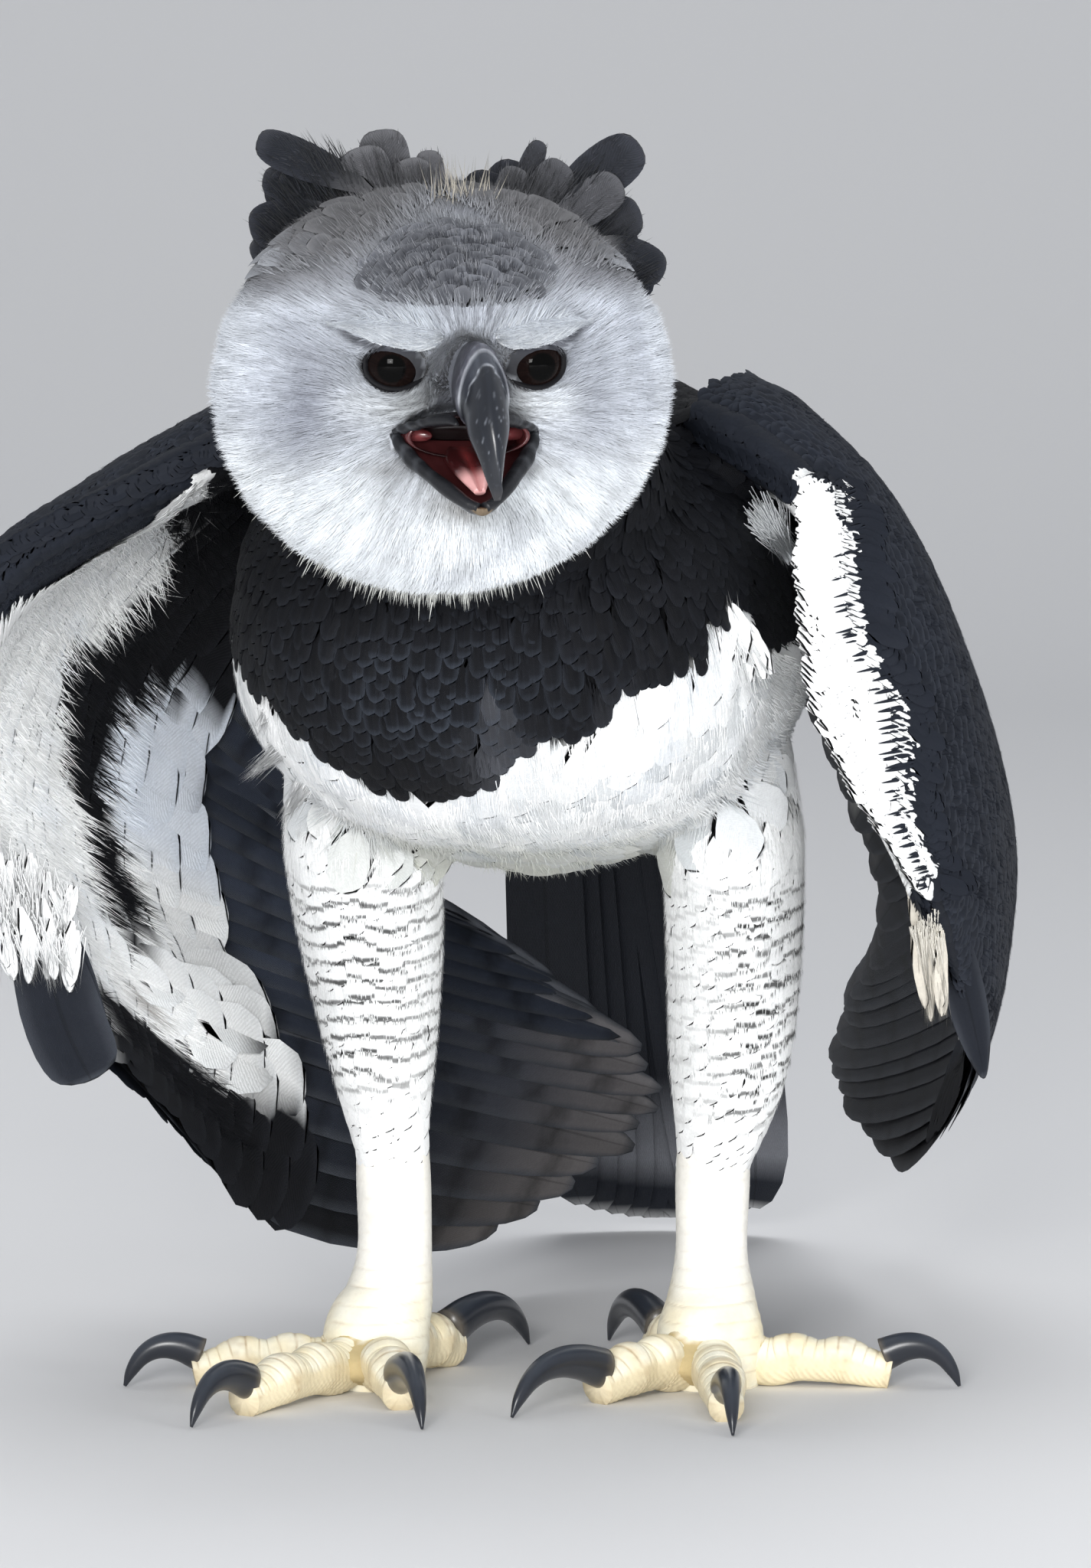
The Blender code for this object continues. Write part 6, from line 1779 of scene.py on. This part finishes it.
colour = mix(np.broadcast_to(lin(78, 80, 90), rings.shape), lin(30, 33, 40), horn)
speck = wob(rings.reshape(-1, 3), 0.22, 101).reshape(f.shape)
colour = mix(colour, lin(150, 150, 158), (1 - horn) * np.clip(speck, 0, 1) * 0.5)
colour = mix(colour, lin(58, 52, 62), (1 - horn) * np.clip(-speck, 0, 1) * 0.7)
ragged = 0.006 * wob(rings.reshape(-1, 3), 0.5, 104).reshape(f.shape)
colour = mix(colour, lin(205, 208, 215), 0.9 * hump(f, line + 0.004, 0.009) * ease(up, -0.5, 0.0))
inner_line = 0.430 - 0.085 * up + 2 * ragged
colour = mix(colour, lin(176, 180, 188), 0.75 * hump(f, inner_line, 0.006) * ease(up, 0.0, 0.4))
colour = mix(colour, lin(66, 70, 80), 0.6 * horn * (1 - ease(f, inner_line - 0.01, inner_line)) * ease(up, -0.2, 0.4))
scratch = ease(np.abs(wob(rings.reshape(-1, 3) * np.array([2.4, 1.0, 0.8]), 0.9, 103).reshape(f.shape)), 0.05, 0.0) * ease(up, -0.1, 0.5) * hump(f, 0.62, 0.16)
colour = mix(colour, lin(150, 155, 165), 0.55 * scratch * horn)
colour = mix(colour, lin(60, 58, 58), 0.4 * ease(f, 0.86, 0.97))
# the nostril slits painted black: painted shade inside the openings
colour = mix(colour, np.zeros(3) + 0.004, ease(nostril, 0.45, 0.7))
co, tris = closed(rings)
vane = with_ends(np.stack([np.cos(a)[None] * np.ones_like(f), f, up], -1))
mesh_piece("bill_upper_horn", from_head(co), tris, with_ends(colour), "horn", vane=vane, bake=np.stack([with_ends(((a / 6.2832)[None] * np.ones_like(f))[..., None])[:, 0], with_ends(f[..., None])[:, 0]], -1), replaces=["bill_upper"])

BILL_LOWER = [(-3.0, -1.10, 2.30, 1.15, 0.30), (-4.2, -1.62, 1.90, 1.20, 0.34), (-5.4, -2.20, 1.36, 1.02, 0.32), (-6.5, -2.72, 0.80, 0.66, 0.22), (-7.1, -2.98, 0.34, 0.34, 0.10)]
rows = smooth_path(BILL_LOWER, 50)
sides = 48
a = np.linspace(0, 2 * np.pi, sides, endpoint=False)
sa = np.sin(a)
rings = np.stack([0.12 + rows[:, 2:3] * np.cos(a), rows[:, 0:1] * np.ones((1, sides)), rows[:, 1:2] - np.where(sa > 0, rows[:, 4:5], rows[:, 3:4]) * np.abs(sa)], -1)
f = np.linspace(0, 1, 50)[:, None] * np.ones((1, sides))
inside = ease(sa, 0.0, 0.25)[None] * np.ones_like(f)
colour = mix(np.broadcast_to(lin(40, 43, 50), rings.shape), lin(60, 22, 22), inside * 0.9)
colour = mix(colour, lin(128, 110, 84), 0.6 * ease(f, 0.9, 1.0))
co, tris = closed(rings)
mesh_piece("bill_lower_horn", from_head(co), tris, with_ends(colour), "horn", vane=with_ends(np.stack([np.cos(a)[None] * np.ones_like(f), f, sa[None] * np.ones_like(f)], -1)), replaces=["bill_lower"])

# fleshy black edges of the gape, from the corner of the mouth along both halves of the bill
loose = []
for sign in (-1, 1):
    for path in (
        [(2.40, -3.35, -1.02, 0.12), (2.10, -3.95, -0.84, 0.19), (1.62, -4.35, -0.62, 0.22), (1.20, -4.85, -0.44, 0.24), (0.85, -5.4, -0.35, 0.20), (0.70, -6.0, -0.40, 0.10)],
        [(2.40, -3.25, -1.06, 0.12), (2.30, -3.80, -1.34, 0.20), (1.92, -4.45, -1.86, 0.30), (1.46, -5.2, -2.24, 0.26), (1.00, -6.0, -2.58, 0.27), (0.52, -6.7, -2.90, 0.23), (0.12, -7.05, -3.04, 0.20)],
    ):
        stations = [(0.10 + sign * x, y, z, r, r * 0.85, r * 0.85) for x, y, z, r in path]
        rings, a = tube_rings(stations, 20, 44)
        f = np.linspace(0, 1, 44)[:, None] * np.ones((1, 20))
        fold = 0.022 * np.sin(f * 46 + 2 * np.sin(a)[None]) * (1 - ease(f, 0.2, 0.6)) + 0.02 * np.sin(f * 11 + 1.0 + sign)
        c = rings.mean(1, keepdims=True)
        rings = rings + unit(rings - c) * fold[..., None]
        # paler grey on one flank of each fold: painted highlight
        colour = mix(np.broadcast_to(lin(26, 27, 31), rings.shape), lin(96, 100, 106), np.clip(np.sin(f * 46 + 2 * np.sin(a)[None] + 1.2), 0, 1) * 0.35 * (1 - ease(f, 0.2, 0.7)))
        co, tris = closed(rings)
        loose.append((from_head(co), tris, with_ends(colour)))


def joined(name, parts, mat, replaces=(), vanes=None):
    base, co, tris, tint = 0, [], [], []
    for c, t, k in parts:
        co.append(c), tris.append(t + base), tint.append(k)
        base += len(c)
    return mesh_piece(name, np.concatenate(co), np.concatenate(tris), np.concatenate(tint), mat, vane=vanes, replaces=replaces)


joined("gape_edges", loose, "cere")

# inside of the mouth, the red pads in its corners, and the tongue
n1, n2 = 40, 22
shell = []
for radius in (1.0, 0.93):
    u = np.linspace(0, 2 * np.pi, n1, endpoint=False)
    v = np.linspace(0.02, 0.50 * np.pi + 0.25, n2)
    U, V = np.meshgrid(u, v)
    shell.append(np.stack([0.1 + 2.16 * radius * np.sin(V) * np.cos(U), -3.75 + 1.9 * radius * np.cos(V), -1.12 + 0.74 * radius * np.sin(V) * np.sin(U)], -1))
outer_shell, inner_shell = shell
rings = np.concatenate([outer_shell, inner_shell[::-1]])
co, tris = closed(rings)
q = rings[..., 0]
# dark in the middle and darker towards the throat: painted shade inside the open mouth
colour = mix(np.broadcast_to(lin(30, 12, 13), rings.shape), lin(84, 36, 38), ease(np.abs(q), 1.45, 2.1))
colour = mix(colour, lin(22, 8, 9), ease(rings[..., 1], -3.2, -2.2))
parts = [(from_head(co), tris, with_ends(colour))]
for sign in (-1, 1):
    co, tris = ellipsoid_arrays((0, 0, 0), (0.60, 0.20, 0.24), turn(sign * 28.0), 28, 18)
    # each pad darker on its side towards the middle of the mouth: painted shade
    c = mix(np.broadcast_to(lin(124, 62, 64), co.shape), lin(78, 32, 34), np.clip(ease(-co[:, 0] * sign, -0.2, 0.5) + 0.3 * wob(co, 0.5, 111), 0, 1))
    parts.append((from_head(co + (0.1 + sign * 1.68, -3.42, -1.14)), tris, c))
joined("mouth_lining", parts, "wet")

TONGUE = [(0.05, -2.8, -1.72, 0.75, 0.20, 0.22), (0.0, -4.2, -1.92, 0.74, 0.26, 0.22), (0.02, -5.3, -2.12, 0.62, 0.26, 0.20), (0.08, -6.0, -2.38, 0.42, 0.20, 0.16), (0.12, -6.5, -2.62, 0.20, 0.12, 0.12)]
rings, a = tube_rings(TONGUE, 32, 50)
f = np.linspace(0, 1, 50)[:, None] * np.ones((1, 32))
groove = -0.10 * hump(np.cos(a)[None], 0.0, 0.30) * ease(np.sin(a)[None], 0.0, 0.5) * ease(f, 0.2, 0.4)
rings = rings + np.array([0, -0.2, 1.0]) * (groove + 0.06 * ease(np.sin(a)[None], 0, 1) * hump(np.abs(np.cos(a))[None], 0.6, 0.25))[..., None]
# dark at the back and pink at the front: painted shade where the tongue lies inside the mouth; the groove along its top
# is painted darker red as painted shade
colour = mix(np.broadcast_to(lin(62, 24, 26), rings.shape), lin(222, 166, 164), ease(f, 0.50, 0.76))
colour = mix(colour, lin(150, 60, 60), 0.5 * hump(np.cos(a)[None], 0.0, 0.22) * ease(np.sin(a)[None], 0, 0.5) * np.ones_like(f))
co, tris = closed(rings)
mesh_piece("tongue_flesh", from_head(co), tris, with_ends(colour), "wet", replaces=["tongue"])

# ---------------------------------------------------------------- eyes and lids
for side, sign in (("left", 1), ("right", -1)):
    n1, n2 = 96, 72
    gaze = unit(np.array([sign * 0.20, -1.0, -0.02]))
    e1 = unit(np.cross(gaze, (0, 0, 1.0)))
    e2 = np.cross(e1, gaze)
    v = np.linspace(0.0, np.pi, n2 + 2)[1:-1]
    U, V = np.meshgrid(np.linspace(0, 2 * np.pi, n1, endpoint=False), v)
    bulge = EYE_R * (1 + 0.035 * (1 - ease(V, 0.35, 0.75)))
    rings = EYES[side] + (gaze * np.cos(V)[..., None] + (e1 * np.cos(U)[..., None] + e2 * np.sin(U)[..., None]) * np.sin(V)[..., None]) * bulge[..., None]
    deg = np.degrees(V)
    streak = 0.5 + 0.5 * np.sin(U * 34 + 2.0 * np.sin(U * 7)) * np.cos(U * 13)
    colour = mix(np.broadcast_to(lin(25, 17, 15), rings.shape), lin(16, 11, 11), streak)
    colour = mix(colour, np.zeros(3) + 0.002, 1 - ease(deg, 24.0, 26.0))
    colour = mix(colour, lin(10, 9, 10), ease(deg, 44.0, 50.0))
    co, tris = closed(rings)
    mesh_piece(f"eyeball_{side}", from_head(co), tris, with_ends(colour), "eye", replaces=["eye_" + side])

lids = []
for side, sign in (("left", 1), ("right", -1)):
    # the rim of the opening, on the ball, and how far the lid rolls out from it
    n1, n2 = 96, 16
    u = np.linspace(0, 2 * np.pi, n1, endpoint=False)
    ox = 0.93 * np.cos(u)
    oz = np.where(np.sin(u) > 0, 0.66 * np.sin(u), 0.72 * np.sin(u))
    ox = ox * (1 + 0.05 * np.abs(np.sin(2 * u)))
    gaze = np.array([sign * 0.10, -1.0, 0.0])
    x, z = EYES[side][0] + ox + sign * 0.02, EYES[side][2] + oz + 0.06
    rr = (x - EYES[side][0]) ** 2 + (z - EYES[side][2]) ** 2
    y = EYES[side][1] - np.sqrt(np.maximum(EYE_R**2 * 1.02 - rr, 0.02))
    rim = np.stack([x, y, z], -1)
    out = unit(np.stack([ox / 0.93**2, np.full(n1, 0.35), oz / 0.66**2], -1))
    front = unit(rim - EYES[side])
    b = np.linspace(0, 2 * np.pi, n2, endpoint=False)
    wide = (0.060 + 0.06 * np.clip(-np.cos(u) * sign, 0, 1) ** 6)[:, None]
    rings = rim[:, None] + out[:, None] * ((0.75 + np.cos(b)) * wide)[..., None] + front[:, None] * (0.10 * np.sin(b) + 0.015)[None, :, None] - front[:, None] * (0.16 * (1 + np.cos(b)) * wide)[..., None]
    wrinkle = 0.012 * np.sin(b * 6)[None] * np.ones((n1, 1))
    rings = rings + front[:, None] * wrinkle[..., None]
    flat = rings.reshape(-1, 3)
    tris = []
    for i in range(n1):
        for j in range(n2):
            p, q = i * n2 + j, i * n2 + (j + 1) % n2
            r2, s2 = ((i + 1) % n1) * n2 + j, ((i + 1) % n1) * n2 + (j + 1) % n2
            tris += [(p, q, r2), (q, s2, r2)]
    tris = np.array(tris)
    volume = (flat[tris[:, 0]] * np.cross(flat[tris[:, 1]], flat[tris[:, 2]])).sum()
    tris = tris if volume > 0 else tris[:, ::-1]
    c = mix(np.broadcast_to(lin(14, 14, 17), rings.shape), lin(66, 68, 76), np.clip(np.cos(b - 0.6), 0, 1)[None] ** 2 * 0.20 * np.ones((n1, 1)))
    lids.append((from_head(flat), tris, c.reshape(-1, 3)))
joined("eyelid_rims", lids, "lid")

# ---------------------------------------------------------------- feet
TOES = {
    "right": {"inner": (10.0, 6.2, 5.6, 0.98), "middle": (-32.0, 8.6, 4.2, 0.92), "outer": (-84.0, 6.6, 3.2, 0.86), "hind": (148.0, 5.2, 6.6, 1.02)},
    "left": {"inner": (-42.0, 6.2, 5.6, 0.98), "middle": (3.0, 8.6, 4.2, 0.92), "outer": (84.0, 6.6, 3.2, 0.86), "hind": (-160.0, 5.2, 6.6, 1.02)},
}
SOLE = {"right": (-5.9, -0.4), "left": (6.35, -0.45)}
TARSI = {
    "right": [(-5.3, 0.9, 10.5, 1.2, 1.2, 1.2), (-5.2, 0.8, 7.6, 1.35, 1.35, 1.35), (-5.15, 0.5, 4.9, 1.35, 1.35, 1.35), (-5.35, 0.1, 3.2, 1.6, 1.7, 1.7), (-5.8, -0.3, 1.7, 1.95, 2.1, 2.0), (-5.9, -0.4, -0.5, 1.7, 1.85, 1.75)],
    "left": [(6.55, 0.5, 10.5, 1.2, 1.2, 1.2), (6.45, 0.5, 7.6, 1.35, 1.35, 1.35), (6.4, 0.3, 4.9, 1.30, 1.35, 1.35), (6.4, 0.0, 3.2, 1.6, 1.7, 1.7), (6.35, -0.4, 1.7, 1.95, 2.1, 2.0), (6.35, -0.45, -0.5, 1.7, 1.85, 1.75)],
}
HORNY = lin(246, 234, 200)
HORNY_PALE = lin(251, 247, 228)
HORNY_BROWN = lin(176, 146, 104)
scales, nails = [], []
for side in ("right", "left"):
    start = np.array([*SOLE[side], 0.0])
    for which, (bearing, length, claw, thick) in TOES[side].items():
        a0 = math.radians(bearing)
        way = np.array([math.sin(a0), -math.cos(a0), 0.0])
        stations = []
        for k in range(8):
            f = k / 7
            r = thick * (1 + 0.09 * math.cos(2 * math.pi * (3 * f - 0.12))) * (1.08 - 0.22 * f)
            if k == 7:
                r *= 0.8
            height = 0.86 * r + 0.55 * max(0.0, 1 - f / 0.35) + 0.28 * math.sin(math.pi * f) * (f > 0.3)
            at = start + way * (0.4 + (length - 0.4) * f)
            stations.append((at[0], at[1], height, r * 0.96, r, r))
        sides, count = 36, int(20 * length)
        rings, a = tube_rings(stations, sides, count)
        f = np.linspace(0, 1, count)[:, None] * np.ones((1, sides))
        along = f * length
        c = rings.mean(1, keepdims=True)
        outward = unit(rings - c)
        up = np.sin(a)[None] * np.ones((count, 1))
        # broad plates on top, small grains at the sides, soft pads below
        pitch = 0.46
        plate = np.abs(np.sin(np.pi * (along / pitch + 0.10 * np.cos(a)[None] ** 2)))
        grains = 0.5 + 0.5 * np.sin(along * 24 + 1.4 * np.sin(a * 5)[None]) * np.sin(a * 16)[None]
        top = ease(up, 0.15, 0.5)
        lift = top * 0.045 * np.minimum(1, plate * 2.2) + (1 - top) * 0.03 * grains
        crease = top * (1 - ease(plate, 0.0, 0.30)) + (1 - top) * (1 - grains) * 0.5
        rings = rings + outward * (lift - 0.02)[..., None]
        rings[..., 2] = np.maximum(rings[..., 2], 0.0)
        joint = hump(f, 0.72, 0.05) + 0.6 * hump(f, 0.42, 0.04) + 0.8 * ease(f, 0.93, 1.0)
        colour = mix(np.broadcast_to(HORNY, rings.shape), HORNY_PALE, np.clip(0.5 + 0.5 * wob(rings.reshape(-1, 3), 1.2, 121).reshape(f.shape), 0, 1) * top)
        colour = mix(colour, HORNY_BROWN, np.clip(0.55 * crease + 0.40 * joint * (0.5 + 0.5 * wob(rings.reshape(-1, 3), 0.4, 122).reshape(f.shape)), 0, 0.85))
        co, tris = closed(rings)
        scales.append((co, tris, with_ends(colour)))
        # the claw: a curved cone that bears on the floor with its point
        base_at = start + way * (length - 0.25)
        radius = 0.66 * (0.82 + 0.075 * (claw - 3.2))
        rise = 0.50 + 0.10 * claw
        stations = []
        for k in range(7):
            g = k / 6
            out = claw * (0.86 * math.sin(1.32 * g) / math.sin(1.32))
            z = 0.92 + rise * math.sin(math.pi * min(1.0, 0.12 + g * 0.86)) - 1.0 * g**1.7
            r = radius * (1 - g) ** 0.72 + 0.06
            at = base_at + way * out
            stations.append((at[0], at[1], max(z, 0.06 + 0.4 * r), 0.86 * r, r, 1.05 * r))
        rings, a = tube_rings(stations, 28, 48)
        g = np.linspace(0, 1, 48)[:, None] * np.ones((1, 28))
        rings[..., 2] = np.maximum(rings[..., 2], 0.0)
        up = np.sin(a)[None] * np.ones_like(g)
        # pale blue-grey over the top of each claw towards its root: painted sheen
        colour = mix(np.broadcast_to(lin(34, 37, 44), rings.shape), lin(72, 79, 90), 0.35 * ease(up, 0.2, 0.9) * (1 - ease(g, 0.5, 0.9)))
        colour = mix(colour, lin(104, 96, 84), 0.6 * (1 - ease(g, 0.0, 0.07)))
        co, tris = closed(rings)
        nails.append((co, tris, with_ends(colour)))
    rings, a = tube_rings(TARSI[side], 44, 150, upward=(0, -1, 0))
    z = rings[..., 2]
    f = np.linspace(0, 1, 150)[:, None] * np.ones((1, 44))
    c = rings.mean(1, keepdims=True)
    outward = unit(rings - c)
    front = -outward[..., 1]
    plate = np.abs(np.sin(np.pi * (z / 0.62 + 0.08 * np.sin(a * 2)[None])))
    grains = 0.5 + 0.5 * np.sin(z * 15 + 1.2 * np.sin(a * 5)[None]) * np.sin(a * 15)[None]
    top = ease(front, 0.25, 0.55)
    lift = top * 0.04 * np.minimum(1, plate * 2.4) + (1 - top) * 0.035 * grains
    crease = top * (1 - ease(plate, 0.0, 0.25)) + (1 - top) * (1 - grains) * 0.45
    rings = rings + outward * (lift - 0.01)[..., None]
    rings[..., 2] = np.maximum(rings[..., 2], 0.0)
    colour = mix(np.broadcast_to(HORNY, rings.shape), HORNY_PALE, np.clip(0.6 + 0.5 * wob(rings.reshape(-1, 3), 1.5, 123).reshape(f.shape), 0, 1))
    colour = mix(colour, lin(249, 246, 238), ease(z, 2.0, 5.0))
    colour = mix(colour, HORNY_BROWN, np.clip(0.30 * crease, 0, 0.8) * (1 - 0.8 * ease(z, 2.5, 6.0)))
    co, tris = closed(rings)
    scales.append((co, tris, with_ends(colour)))
joined("foot_scales", scales, "scale")
joined("claw_horn", nails, "horn", replaces=[f"claw_{s}_{t}" for s in ("left", "right") for t in ("inner", "middle", "outer", "hind")], vanes=np.zeros((sum(len(c) for c, _, _ in nails), 3)))

for pile in (black_pile, white_pile, thigh_pile, face_pile, crown_pile, fringe, crest_pile, flight_pile, covert_pile, covert_pile2, edge_pile, alula_pile, wrist, tail_pile):
    pile.build()

# ---------------------------------------------------------------- floor, light and camera
T = np.array([0.0035, 0.0, 0.2195]) + SHIFT
E = math.radians(6.0)
floor_mat, nodes, links, shader = new_material("studio_floor", 0.85, 0.2)
shader.inputs["Base Color"].default_value = (0.80, 0.80, 0.81, 1)
profile = [(-6.0, 0.0), (2.5, 0.0)] + [(2.5 + 1.6 * math.sin(x), 1.6 - 1.6 * math.cos(x)) for x in np.linspace(0.1, math.pi / 2, 12)] + [(4.1, 7.0)]
verts = [(x, y, z) for y, z in profile for x in (-8.0, 8.0)]
faces = [(2 * i, 2 * i + 1, 2 * i + 3, 2 * i + 2) for i in range(len(profile) - 1)]
mesh = bpy.data.meshes.new("studio_sweep")
mesh.from_pydata(verts, [], faces)
mesh.shade_smooth()
mesh.materials.append(floor_mat)
floor = bpy.data.objects.new("studio_sweep", mesh)
bpy.context.scene.collection.objects.link(floor)


def area_light(name, at, to, size, power, colour=(1, 1, 1), shine=True):
    data = bpy.data.lights.new(name, "AREA")
    data.shape = "RECTANGLE"
    data.size, data.size_y = size
    data.energy = power
    data.color = colour
    lamp = bpy.data.objects.new(name, data)
    lamp.location = at
    lamp.rotation_euler = (Vector(to) - Vector(at)).to_track_quat("-Z", "Y").to_euler()
    lamp.visible_glossy = shine
    bpy.context.scene.collection.objects.link(lamp)


area_light("key", (-0.45, -3.3, 1.0), (0, 0, 0.25), (1.0, 0.8), 62, (1.0, 0.995, 0.985))
area_light("right_fill", (1.9, -2.3, 0.45), (-0.12, 0, 0.26), (0.9, 0.9), 27, (0.98, 0.99, 1.0), False)
area_light("spark", (-0.36, -3.2, 0.92), (0, 0, 0.4), (0.11, 0.11), 5, (1.0, 1.0, 1.0))
area_light("low_fill", (0.2, -2.7, 0.12), (0, 0, 0.30), (2.6, 0.6), 30, (0.98, 0.99, 1.0), False)
area_light("top", (0.1, 0.3, 2.4), (0, 0, 0.25), (1.8, 1.6), 20, (0.98, 0.99, 1.0), False)
world = bpy.data.worlds.new("soft_daylight")
world.use_nodes = True
world.node_tree.nodes["Background"].inputs[0].default_value = (0.90, 0.93, 0.97, 1)
world.node_tree.nodes["Background"].inputs[1].default_value = 0.45
bpy.context.scene.world = world
bpy.context.scene.view_settings.view_transform = "Standard"

cam_data = bpy.data.cameras.new("camera")
cam_data.lens, cam_data.sensor_width = 253.125, 36.0
cam_data.clip_start, cam_data.clip_end = 0.1, 50.0
cam = bpy.data.objects.new("camera", cam_data)
cam.location = T + 4.0 * np.array([0.0, -math.cos(E), math.sin(E)])
cam.rotation_euler = (Vector(T) - Vector(cam.location)).to_track_quat("-Z", "Y").to_euler()
bpy.context.scene.collection.objects.link(cam)
bpy.context.scene.camera = cam
